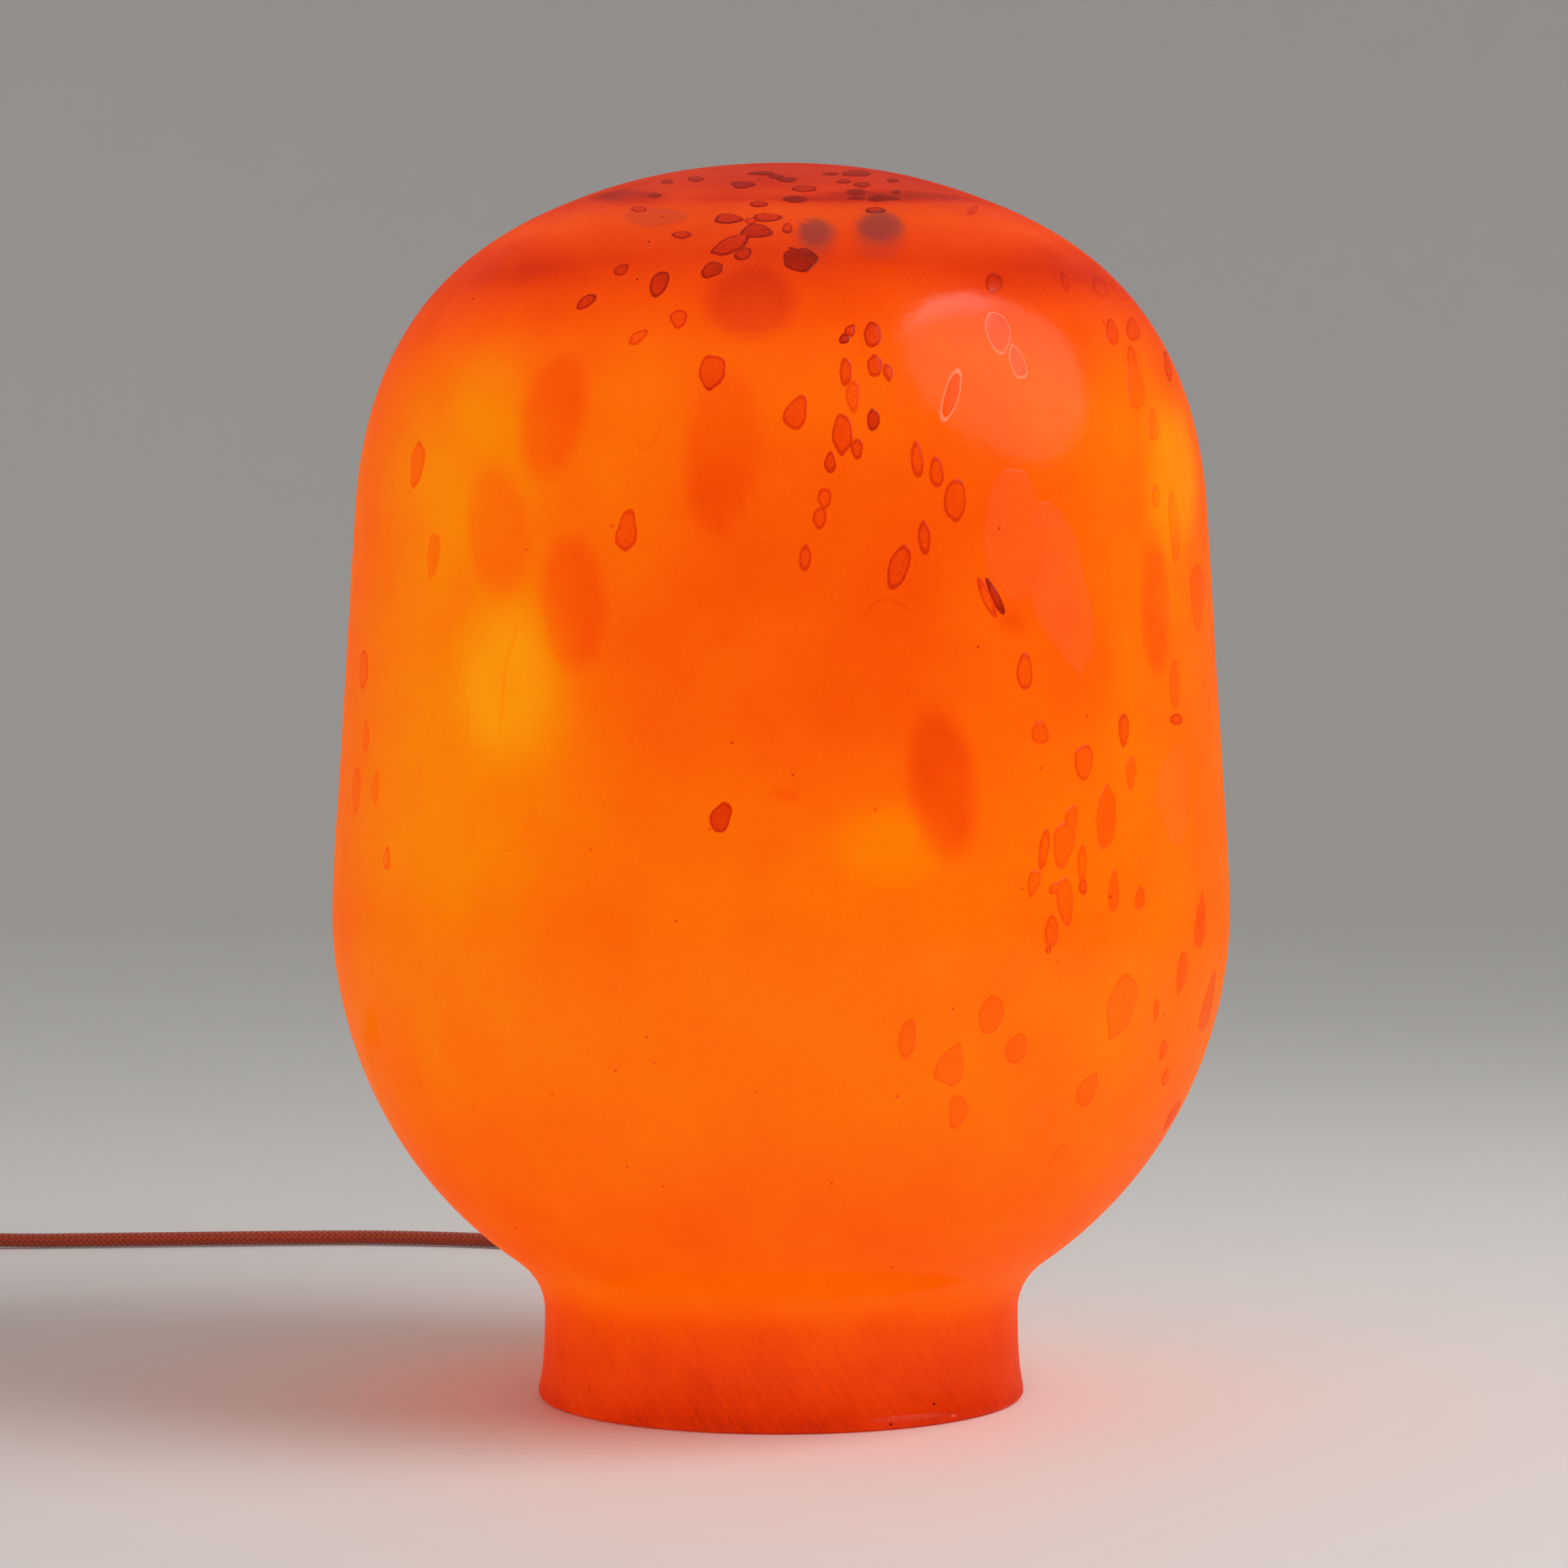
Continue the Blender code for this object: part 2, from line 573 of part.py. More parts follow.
def make_base(finishes):
    """Plate, pads, cover, centring ring and the cover's screws."""
    group = assembly("base")
    plate = piece(
        "base_plate",
        rod_mesh(COVER_RADIUS, PLATE_THICKNESS, 36),
        finishes["steel"],
        group,
        (0.0, 0.0, (PLATE_BOTTOM + PLATE_TOP) / 2),
    )
    cover = turned("base_cover", cover_outline(), finishes["white_plastic"], group, 36)
    post_top = COVER_CEILING + BOOLEAN_LAP
    screw_hole = COVER_SCREW_RADIUS + HOLE_GAP
    head_top = PLATE_BOTTOM - SEAT_GAP
    hole_top = head_top + COVER_SCREW_LENGTH + SEAT_GAP
    for number, degrees in enumerate(POST_ANGLES, 1):
        x, y = on_circle(POST_CIRCLE, degrees)
        post = tool(
            f"post_{number}",
            rod_mesh(POST_RADIUS, post_top - COVER_BOTTOM, 12),
            group,
            (x, y, (post_top + COVER_BOTTOM) / 2),
        )
        combine(cover, post, "UNION")
        for part in (plate, cover):
            drill(part, group, screw_hole, 2 * hole_top, (x, y, 0.0), sides=8)
        screw(
            f"cover_screw_{number}",
            COVER_SCREW_RADIUS,
            COVER_SCREW_LENGTH,
            COVER_SCREW_HEAD,
            finishes["zinc_screw"],
            group,
            (x, y, head_top),
            points_up=True,
        )
    for number, degrees in enumerate(PAD_ANGLES, 1):
        x, y = on_circle(PAD_CIRCLE, degrees)
        piece(
            f"foot_pad_{number}",
            rod_mesh(PAD_RADIUS, PAD_HEIGHT, 20),
            finishes["black_rubber"],
            group,
            (x, y, PAD_HEIGHT / 2),
        )
    bpy.ops.mesh.primitive_torus_add(
        major_radius=RING_RADIUS,
        minor_radius=RING_SECTION,
        major_segments=40,
        minor_segments=6,
        location=(0.0, 0.0, NECK_HEIGHT),
    )
    made = bpy.context.active_object
    made.data.shade_smooth()
    piece("centring_ring", made.data, finishes["clear_silicone"], group, (0.0, 0.0, NECK_HEIGHT))
    bpy.data.objects.remove(made, do_unlink=True)
    drill(
        cover,
        group,
        BOOT_RADIUS + HOLE_GAP,
        4 * COVER_WALL,
        (0.0, (COVER_RADIUS + COVER_BORE) / 2, CORD_EXIT_HEIGHT),
        (math.pi / 2, 0.0, 0.0),
    )
    make_cord_entry(finishes, group, plate)
    make_tube_fixing(finishes, group)


def make_cord_entry(finishes, group, plate):
    """The boot in the cover's wall, the cord's end inside and its clamp on the plate."""
    wall_sink = COVER_BORE - math.sqrt(COVER_BORE**2 - BOOT_FLANGE_RADIUS**2)
    flange_out = COVER_BORE - wall_sink - SEAT_GAP
    flange_in = flange_out - BOOT_FLANGE_THICKNESS
    collar_in = COVER_RADIUS + SEAT_GAP
    collar_out = collar_in + BOOT_FLANGE_THICKNESS
    taper_start = RIM_RADIUS + SEAT_GAP
    collar_radius = BOOT_RADIUS + BOOT_FLANGE_THICKNESS / 2
    outline = [(0.0, BOOT_END), (BOOT_END_RADIUS, BOOT_END), (BOOT_RADIUS, taper_start)]
    outline += [(BOOT_RADIUS, collar_out), (collar_radius, collar_out), (collar_radius, collar_in)]
    outline += [(BOOT_RADIUS, collar_in), (BOOT_RADIUS, flange_out), (BOOT_FLANGE_RADIUS, flange_out)]
    outline += [(BOOT_FLANGE_RADIUS, flange_in), (0.0, flange_in)]
    turned(
        "strain_relief",
        outline,
        finishes["black_rubber"],
        group,
        16,
        closed=False,
        location=(0.0, 0.0, CORD_EXIT_HEIGHT),
        rotation=(-math.pi / 2, 0.0, 0.0),
    )
    cord_start = (0.0, flange_in - SEAT_GAP, CORD_EXIT_HEIGHT)
    cord_end = (0.0, INNER_CORD_END, CORD_EXIT_HEIGHT)
    tube("inner_cord", (cord_start, cord_end), CORD_RADIUS, finishes["rust_textile"], group)
    saddle_bottom = PLATE_TOP + SEAT_GAP
    saddle_top = CORD_EXIT_HEIGHT - SEAT_GAP
    bar_bottom = CORD_EXIT_HEIGHT + SEAT_GAP
    bar_top = bar_bottom + CLAMP_BAR_HEIGHT
    for name, bottom, top in (
        ("clamp_saddle", saddle_bottom, saddle_top),
        ("clamp_bar", bar_bottom, bar_top),
    ):
        half = piece(
            name,
            block_mesh((CLAMP_LENGTH, CLAMP_WIDTH, top - bottom)),
            finishes["white_plastic"],
            group,
            (0.0, CLAMP_PLACE, (bottom + top) / 2),
        )
        drill(
            half,
            group,
            CORD_RADIUS + HOLE_GAP,
            2 * CLAMP_WIDTH,
            (0.0, CLAMP_PLACE, CORD_EXIT_HEIGHT),
            (math.pi / 2, 0.0, 0.0),
        )
        for side in (-1, 1):
            drill(
                half,
                group,
                CLAMP_SCREW_RADIUS + HOLE_GAP,
                4 * bar_top,
                (side * CLAMP_SCREW_PLACE, CLAMP_PLACE, 0.0),
                sides=12,
            )
    head_bottom = bar_top + SEAT_GAP
    for number, side in ((1, -1), (2, 1)):
        place = (side * CLAMP_SCREW_PLACE, CLAMP_PLACE)
        drill(
            plate,
            group,
            CLAMP_SCREW_RADIUS + HOLE_GAP,
            2 * (CLAMP_SCREW_BITE + SEAT_GAP),
            (*place, PLATE_TOP),
            sides=12,
        )
        screw(
            f"clamp_screw_{number}",
            CLAMP_SCREW_RADIUS,
            head_bottom - PLATE_TOP + CLAMP_SCREW_BITE,
            CLAMP_SCREW_HEAD,
            finishes["zinc_screw"],
            group,
            (*place, head_bottom),
            points_up=False,
        )


def make_tube_fixing(finishes, group):
    """The threaded tube through the cover, with its washer and nut, and the two leads inside it."""
    washer_top = COVER_CEILING - SEAT_GAP
    washer_bottom = washer_top - WASHER_THICKNESS
    nut_top = washer_bottom - SEAT_GAP
    nut_bottom = nut_top - NUT_HEIGHT
    tube_bottom = nut_bottom - TUBE_BELOW_NUT
    tube_top = HOLDER_CAP_BOTTOM + TUBE_IN_HOLDER
    ring = [(TUBE_RADIUS, tube_top), (TUBE_RADIUS, tube_bottom), (TUBE_BORE, tube_bottom)]
    turned("threaded_tube", ring + [(TUBE_BORE, tube_top)], finishes["zinc_screw"], group, 24)
    ring = [(WASHER_RADIUS, washer_top), (WASHER_RADIUS, washer_bottom), (TUBE_HOLE, washer_bottom)]
    turned("lock_washer", ring + [(TUBE_HOLE, washer_top)], finishes["zinc_screw"], group, 24)
    nut = piece(
        "tube_nut",
        rod_mesh(NUT_RADIUS, NUT_HEIGHT, 6),
        finishes["zinc_screw"],
        group,
        (0.0, 0.0, (nut_top + nut_bottom) / 2),
    )
    drill(nut, group, TUBE_HOLE, 2 * NUT_HEIGHT, (0.0, 0.0, (nut_top + nut_bottom) / 2), sides=24)
    lead_start = INNER_CORD_END - SEAT_GAP
    lead_end = INSERT_BOTTOM - SEAT_GAP - TERMINAL_SCREW_HEAD[1] - SEAT_GAP
    for name, side, material in (("lead_live", -1, "brown_core"), ("lead_neutral", 1, "blue_core")):
        near = side * LEAD_SPACING / 2
        far = side * TERMINAL_SPACING / 2
        route = (
            (near, lead_start, CORD_EXIT_HEIGHT),
            (near, lead_start - LEAD_STRAIGHT, CORD_EXIT_HEIGHT),
            (near, LEAD_BEND[0], CORD_EXIT_HEIGHT + LEAD_BEND[1]),
            (near, LEAD_FOOT[0], tube_bottom - LEAD_FOOT[1]),
            (near, 0.0, tube_bottom + LEAD_ENTRY),
            (near, 0.0, tube_top),
            (near, 0.0, tube_top + LEAD_EXIT),
            (far, 0.0, lead_end - LEAD_UPRIGHT),
            (far, 0.0, lead_end),
        )
        points = smooth_route(route, 2 * LEAD_DIAMETER)
        tube(name, points, LEAD_DIAMETER / 2, finishes[material], group)


def thread_side(crest, top, bottom, deeper):
    """Points down a round-threaded side whose grooves lie deeper than its crests by the given amount."""
    turns = max(1, round((top - bottom) / THREAD_PITCH))
    count = 2 * turns
    points = []
    for number in range(count + 1):
        radius = crest + (deeper if number % 2 == 0 else 0.0)
        points.append((radius, top + (bottom - top) * number / count))
    return points


def make_holder(finishes):
    """The lampholder: cap, body, insert, screw shell, centre contact and terminal screws."""
    group = assembly("lampholder")
    skirt = HOLDER_CAP_TOP - HOLDER_SKIRT
    drop = skirt - HOLDER_CAP_BOTTOM
    spread = HOLDER_RADIUS - HOLDER_FOOT_RADIUS
    lip = INSERT_RADIUS - INSERT_WALL
    outline = [(HOLDER_RADIUS, HOLDER_CAP_TOP)]
    for x, y in arc((0.0, 0.0), 1.0, 0, -90, 4):
        outline.append((HOLDER_FOOT_RADIUS + spread * x, skirt + drop * y))
    outline += [(TUBE_HOLE, HOLDER_CAP_BOTTOM), (TUBE_HOLE, HOLDER_CAP_BOTTOM + HOLDER_BOSS)]
    inside = HOLDER_RADIUS - HOLDER_WALL
    for x, y in arc((0.0, 0.0), 1.0, -90, 0, 3):
        outline.append(
            (HOLDER_FOOT_RADIUS + (inside - HOLDER_FOOT_RADIUS) * x, skirt + (drop - HOLDER_BOSS) * y)
        )
    outline += [(lip, HOLDER_CAP_TOP - HOLDER_LIP), (lip, HOLDER_CAP_TOP)]
    turned("holder_cap", outline, finishes["white_plastic"], group, 24)
    outline = [(lip, HOLDER_TOP), (HOLDER_RADIUS, HOLDER_TOP), (HOLDER_RADIUS, INSERT_BOTTOM)]
    outline += [(HOLDER_BORE, INSERT_BOTTOM), (HOLDER_BORE, HOLDER_TOP - HOLDER_LIP)]
    outline += [(lip, HOLDER_TOP - HOLDER_LIP)]
    turned("holder_body", outline, finishes["white_plastic"], group, 24)
    outline = [(INSERT_RADIUS, INSERT_TOP), (INSERT_RADIUS, INSERT_BOTTOM), (0.0, INSERT_BOTTOM)]
    outline = [(INSERT_BORE, INSERT_TOP)] + outline
    outline = [(0.0, INSERT_FLOOR_TOP), (INSERT_BORE, INSERT_FLOOR_TOP)] + outline
    insert = turned("holder_insert", outline, finishes["white_ceramic"], group, 24, closed=False)
    shell_bottom = INSERT_FLOOR_TOP + SEAT_GAP
    inner = thread_side(SHELL_CREST, INSERT_TOP, shell_bottom, THREAD_DEPTH)
    outer = [(SHELL_OUTER, INSERT_TOP), (SHELL_OUTER, shell_bottom)]
    turned("screw_shell", outer + inner[::-1], finishes["brass"], group, 20)
    make_centre_contact(finishes, group)
    head_top = INSERT_BOTTOM - SEAT_GAP
    for number, side in ((1, -1), (2, 1)):
        place = (side * TERMINAL_SPACING / 2, 0.0, head_top)
        screw(
            f"terminal_screw_{number}",
            TERMINAL_SCREW_RADIUS,
            TERMINAL_SCREW_LENGTH,
            TERMINAL_SCREW_HEAD,
            finishes["brass"],
            group,
            place,
            points_up=True,
        )
        drill(
            insert,
            group,
            TERMINAL_SCREW_RADIUS + HOLE_GAP,
            2 * (TERMINAL_SCREW_LENGTH + SEAT_GAP),
            place,
            sides=12,
        )


def make_centre_contact(finishes, group):
    """A sprung strip that rises under the bulb's tip."""
    half_thickness = CONTACT_THICKNESS / 2
    low = CONTACT_BOTTOM + half_thickness
    high = CONTACT_BOTTOM + CONTACT_RISE - half_thickness
    shape = bmesh.new()
    rows = []
    steps = 8
    for number in range(steps + 1):
        share = number / steps
        x = CONTACT_REACH * (1 - CONTACT_OVERRUN * share)
        risen = min(1.0, CONTACT_STEEPNESS * share)
        z = low + (high - low) * (0.5 - 0.5 * math.cos(math.pi * risen))
        rows.append([shape.verts.new((x, y, z)) for y in (-CONTACT_WIDTH / 2, CONTACT_WIDTH / 2)])
    for first, second in zip(rows, rows[1:]):
        shape.faces.new((first[0], first[1], second[1], second[0]))
    contact = piece("centre_contact", mesh_of(shape, "contact"), finishes["brass"], group)
    thicken = contact.modifiers.new("sheet", "SOLIDIFY")
    thicken.thickness = CONTACT_THICKNESS
    thicken.offset = 0.0


def make_bulb(finishes):
    """The bulb: screw cap, insulator and tip, then collar, driver, board and globe, from its seat up."""
    screw_group = assembly("bulb_rises", (0.0, 0.0, BULB_SEAT))
    group = assembly("bulb_turns", (0.0, 0.0, BULB_SEAT))
    cap_top = CAP_BOTTOM + CAP_LENGTH - BULB_SEAT
    cap_bottom = CAP_BOTTOM - BULB_SEAT
    outline = thread_side(THREAD_RADIUS - THREAD_DEPTH, cap_top, cap_bottom, THREAD_DEPTH)
    cap_bore = THREAD_RADIUS - THREAD_DEPTH - CAP_WALL
    outline += [(cap_bore, cap_bottom), (cap_bore, cap_top)]
    turned("bulb_cap", outline, finishes["nickel"], screw_group, 20)
    bottom = INSULATOR_BOTTOM - BULB_SEAT
    top = bottom + INSULATOR_LENGTH
    outline = [(0.0, top), (INSULATOR_RADIUS, top), (INSULATOR_RADIUS, top - INSULATOR_LENGTH / 3)]
    outline += [(TIP_RADIUS + 2 * SEAT_GAP, bottom), (0.0, bottom)]
    turned("cap_insulator", outline, finishes["black_insulator"], screw_group, 20, closed=False)
    bottom = TIP_BOTTOM - BULB_SEAT
    outline = [(0.0, bottom + TIP_LENGTH), (TIP_RADIUS, bottom + TIP_LENGTH)]
    outline += [(TIP_RADIUS, bottom + TIP_LENGTH / 2), (TIP_RADIUS / 2, bottom), (0.0, bottom)]
    turned("cap_tip", outline, finishes["nickel"], screw_group, 16, closed=False)

    globe_edge = math.sqrt(GLOBE_RADIUS**2 - GLOBE_SINK**2)
    board_top = COLLAR_HEIGHT - BOARD_DEPTH
    board_bottom = board_top - BOARD_THICKNESS
    ledge = board_bottom - SEAT_GAP
    board_bore = globe_edge - COLLAR_WALL
    outline = []
    steps = 4
    for number in range(steps + 1):
        share = number / steps
        swell = 0.5 + 0.5 * math.cos(math.pi * share)
        radius = COLLAR_FOOT_RADIUS + (globe_edge - COLLAR_FOOT_RADIUS) * swell
        outline.append((radius, COLLAR_HEIGHT * (1.0 - share)))
    spigot = cap_bore - HOLE_GAP
    spigot_bore = spigot - COLLAR_WALL
    ledge_bore = board_bore - BOARD_LEDGE
    outline += [(spigot, 0.0), (spigot, -SPIGOT_LENGTH), (spigot_bore, -SPIGOT_LENGTH)]
    outline += [(spigot_bore, COLLAR_FLOOR), (ledge_bore, ledge - COLLAR_FLOOR), (ledge_bore, ledge)]
    outline += [(board_bore, ledge), (board_bore, COLLAR_HEIGHT)]
    turned("bulb_collar", outline, finishes["white_plastic"], group, 24)
    board = piece(
        "led_board",
        rod_mesh(board_bore - SEAT_GAP, BOARD_THICKNESS, 24),
        finishes["aluminium"],
        group,
        (0.0, 0.0, (board_top + board_bottom) / 2),
    )
    chip_height = LED_HEIGHT + BOARD_THICKNESS / 2
    for number in range(LED_COUNT):
        degrees = 360 * number / LED_COUNT
        x, y = on_circle(LED_CIRCLE, degrees)
        chip = tool(
            f"led_{number}",
            block_mesh((LED_SIZE, LED_SIZE, chip_height)),
            group,
            (x, y, board_top + LED_HEIGHT - chip_height / 2),
            (0.0, 0.0, math.radians(degrees)),
        )
        combine(board, chip, "UNION")
    piece(
        "driver_board",
        block_mesh(DRIVER_SIZE),
        finishes["green_board"],
        group,
        (0.0, 0.0, board_bottom - SEAT_GAP - DRIVER_SIZE[2] / 2),
    )
    centre = COLLAR_HEIGHT + SEAT_GAP + GLOBE_SINK
    edge_angle = -math.degrees(math.asin(GLOBE_SINK / GLOBE_RADIUS))
    inner_radius = GLOBE_RADIUS - GLOBE_WALL
    inner_edge = -math.degrees(math.asin(GLOBE_SINK / inner_radius))
    outline = arc((0.0, centre), GLOBE_RADIUS, 90, edge_angle, 8)
    outline += arc((0.0, centre), inner_radius, inner_edge, 90, 5)
    outline[0] = (0.0, centre + GLOBE_RADIUS)
    outline[-1] = (0.0, centre + inner_radius)
    turned("bulb_globe", outline, finishes["opal_plastic"], group, 24, closed=False)


def bulged_outline(length, width, end_width, power, steps=5):
    """A long flat outline, widest in the middle and narrowing to flat ends."""
    side = []
    for number in range(-steps, steps + 1):
        share = math.sin(math.pi / 2 * number / steps)
        half = end_width / 2 + (width - end_width) / 2 * (1.0 - abs(share) ** power)
        side.append((share * length / 2, half))
    return [(x, -y) for x, y in side] + side[::-1]


def make_switch(finishes):
    """The in-line switch: two shells, rocker on its pin, contacts and screws."""
    group = assembly("switch", (*SWITCH_PLACE, 0.0))
    outline = bulged_outline(SWITCH_LENGTH, SWITCH_WIDTH, SWITCH_END_WIDTH, SWITCH_FULLNESS)
    cover_middle = SWITCH_TOP - SWITCH_COVER_HEIGHT / 2
    base = piece(
        "switch_base",
        flat_mesh("switch_base", [outline], SWITCH_BASE_HEIGHT),
        finishes["dark_plastic"],
        group,
        (0.0, 0.0, SWITCH_BASE_HEIGHT / 2),
    )
    cover = piece(
        "switch_cover",
        flat_mesh("switch_cover", [outline], SWITCH_COVER_HEIGHT),
        finishes["dark_plastic"],
        group,
        (0.0, 0.0, cover_middle),
    )
    length, width, depth = SWITCH_POCKET
    pocket = tool(
        "switch_pocket",
        block_mesh((length, width, depth + BOOLEAN_LAP)),
        group,
        (0.0, 0.0, SWITCH_BASE_HEIGHT + (BOOLEAN_LAP - depth) / 2),
    )
    opening = tool(
        "rocker_opening",
        block_mesh(
            (
                ROCKER_LENGTH + 2 * ROCKER_END_GAP,
                ROCKER_WIDTH + 2 * ROCKER_SIDE_GAP,
                2 * SWITCH_COVER_HEIGHT,
            )
        ),
        group,
        (0.0, 0.0, cover_middle),
    )
    soften(base, SWITCH_EDGE)
    soften(cover, SWITCH_EDGE)
    combine(base, pocket, "DIFFERENCE")
    combine(cover, opening, "DIFFERENCE")
    channel = (length - BOOLEAN_LAP) / 2
    for part in (base, cover):
        for side in (-1, 1):
            reach = SWITCH_LENGTH / 2 - channel + BOOLEAN_LAP
            drill(
                part,
                group,
                CORD_RADIUS + HOLE_GAP,
                reach,
                (side * (channel + reach / 2), 0.0, SWITCH_SPLIT),
                (0.0, math.pi / 2, 0.0),
            )
    pin_length = ROCKER_WIDTH + 2 * ROCKER_SIDE_GAP + 2 * PIN_BEARING
    level = (math.pi / 2, 0.0, 0.0)
    pivot = (0.0, 0.0, PIVOT_HEIGHT)
    drill(cover, group, PIN_RADIUS + HOLE_GAP, pin_length + 2 * SEAT_GAP, pivot, level, sides=12)
    piece("switch_pin", rod_mesh(PIN_RADIUS, pin_length, 12), finishes["zinc_screw"], group, pivot, level)
    half = ROCKER_LENGTH / 2
    side_view = [(-half, ROCKER_RISE), (-half, -PIN_RADIUS), (-half / 2, -ROCKER_KEEL)]
    side_view += [(half / 2, -ROCKER_KEEL), (half, -PIN_RADIUS), (half, ROCKER_RISE), (0.0, ROCKER_DIP)]
    hinge = assembly("rocker_tips", (*SWITCH_PLACE, PIVOT_HEIGHT))
    hinge.rotation_euler = (0.0, math.radians(-ROCKER_TILT), 0.0)
    rocker = piece(
        "switch_rocker",
        flat_mesh("switch_rocker", [side_view], ROCKER_WIDTH),
        finishes["dark_plastic"],
        hinge,
        rotation=level,
    )
    drill(rocker, hinge, PIN_RADIUS + HOLE_GAP, 2 * ROCKER_WIDTH, (0.0, 0.0, 0.0), level, sides=12)
    pocket_floor = SWITCH_BASE_HEIGHT - depth
    for number, side in ((1, -1), (2, 1)):
        piece(
            f"switch_contact_{number}",
            block_mesh(SWITCH_CONTACT_SIZE),
            finishes["brass"],
            group,
            (
                side * SWITCH_CONTACT_PLACE,
                0.0,
                pocket_floor + SEAT_GAP + SWITCH_CONTACT_SIZE[2] / 2,
            ),
        )
        place = (side * SWITCH_SCREW_PLACE[0], -side * SWITCH_SCREW_PLACE[1])
        head_top = SWITCH_SCREW_HEAD[1] + SEAT_GAP
        recess = head_top + SEAT_GAP
        screw_length = SWITCH_BASE_HEIGHT - head_top + SWITCH_SCREW_BITE
        drill(base, group, SWITCH_SCREW_HEAD[0] + HOLE_GAP, 2 * recess, (*place, 0.0), sides=16)
        for part in (base, cover):
            drill(
                part,
                group,
                SWITCH_SCREW_RADIUS + HOLE_GAP,
                2 * (head_top + screw_length + SEAT_GAP),
                (*place, 0.0),
                sides=12,
            )
        screw(
            f"switch_screw_{number}",
            SWITCH_SCREW_RADIUS,
            screw_length,
            SWITCH_SCREW_HEAD,
            finishes["zinc_screw"],
            group,
            (*place, head_top),
            points_up=True,
        )


def plug_start():
    """Where the plug's cord end lies: at the end of the tail that leaves the coil."""
    tail_start = COIL_PLACE[0] + CORD_DIAMETER
    return tail_start + 2 * SEAT_GAP + TAIL_LENGTH, COIL_PLACE[1] - COIL_OUTER


def make_plug(finishes):
    """The two-pin plug, lying beside the coil with its pins along +X."""
    start, across = plug_start()
    group = assembly("plug", (start, across, PLUG_THICKNESS / 2))
    side = []
    steps = 8
    for number in range(steps + 1):
        share = number / steps
        swell = 0.5 - 0.5 * math.cos(math.pi * min(1.0, PLUG_STEEPNESS * share))
        half = PLUG_END_WIDTH / 2 + (PLUG_WIDTH - PLUG_END_WIDTH) / 2 * swell
        side.append((PLUG_LENGTH * share, half))
    outline = [(x, -y) for x, y in side] + side[::-1]
    body = piece(
        "plug_body", flat_mesh("plug_body", [outline], PLUG_THICKNESS), finishes["dark_plastic"], group
    )
    soften(body, PLUG_EDGE)
    along = (0.0, math.pi / 2, 0.0)
    for number, way in ((1, -1), (2, 1)):
        place = way * PLUG_PIN_SPACING / 2
        drill(
            body,
            group,
            PLUG_PIN_RADIUS + HOLE_GAP,
            2 * (PLUG_PIN_DEPTH + SEAT_GAP),
            (PLUG_LENGTH, place, 0.0),
            along,
        )
        length = PLUG_PIN_DEPTH + PLUG_PIN_LENGTH
        outline = [(0.0, length), (PLUG_PIN_RADIUS / 2, length)]
        outline += [(PLUG_PIN_RADIUS, length - PLUG_PIN_RADIUS), (PLUG_PIN_RADIUS, 0.0), (0.0, 0.0)]
        turned(
            f"plug_pin_{number}",
            outline,
            finishes["nickel"],
            group,
            16,
            closed=False,
            location=(PLUG_LENGTH - PLUG_PIN_DEPTH, place, 0.0),
            rotation=along,
        )


def smooth_route(points, spacing, floor=0.0):
    """Points an even step apart along a smooth curve through the given ones, none lower than the floor."""
    known = [np.array(point, dtype=float) for point in points]
    known = [2 * known[0] - known[1]] + known + [2 * known[-1] - known[-2]]
    fine = [known[1]]
    for before, start, end, after in zip(known, known[1:], known[2:], known[3:]):
        for t in np.linspace(0.0, 1.0, 25)[1:]:
            bend = 2 * before - 5 * start + 4 * end - after
            twist = 3 * (start - end) + after - before
            fine.append(0.5 * (2 * start + (end - before) * t + bend * t**2 + twist * t**3))
    fine = np.array(fine)
    fine[:, 2] = np.maximum(fine[:, 2], floor)
    along = np.concatenate(([0.0], np.cumsum(np.linalg.norm(np.diff(fine, axis=0), axis=1))))
    count = max(2, round(along[-1] / spacing) + 1)
    at = np.linspace(0.0, along[-1], count)
    return [tuple(np.interp(s, along, fine[:, axis]) for axis in range(3)) for s in at]


def coil_points():
    """The coil's centre line: inwards on the table, up a layer in half a turn, and outwards on top."""
    points = [(COIL_PLACE[0] + CORD_DIAMETER, COIL_PLACE[1] + COIL_OUTER, COIL_LOW)]
    turns = 2 * COIL_TURNS + 0.5
    count = round(turns * COIL_TURN_POINTS)
    for number in range(count + 1):
        turn = turns * number / count
        climb = min(1.0, max(0.0, (turn - COIL_TURNS) / 0.5))
        wound = turn if turn <= COIL_TURNS else max(COIL_TURNS, turn - 0.5)
        radius = COIL_INNER + COIL_STEP * abs(COIL_TURNS - wound)
        radius -= COIL_DIP * math.sin(math.pi * climb)
        height = COIL_LOW + COIL_RISE * (0.5 - 0.5 * math.cos(math.pi * climb))
        angle = math.radians(90 + 360 * turn)
        x = COIL_PLACE[0] + radius * math.cos(angle)
        points.append((x, COIL_PLACE[1] + radius * math.sin(angle), height))
    points.append((COIL_PLACE[0] + CORD_DIAMETER, COIL_PLACE[1] - COIL_OUTER, COIL_HIGH))
    return points


def least_self_gap(points, diameter, skip):
    """The least clear gap between turns, from each point to each far stretch of the line."""
    line = [Vector(point) for point in points]
    least = math.inf
    for number, point in enumerate(line):
        for other in range(len(line) - 1):
            if abs(other - number) < skip or abs(other + 1 - number) < skip:
                continue
            way = line[other + 1] - line[other]
            share = max(0.0, min(1.0, (point - line[other]).dot(way) / way.length_squared))
            least = min(least, (point - line[other] - way * share).length)
    return least - diameter


def length_of(points):
    """The length of a line through the points."""
    return sum((Vector(b) - Vector(a)).length for a, b in zip(points, points[1:]))


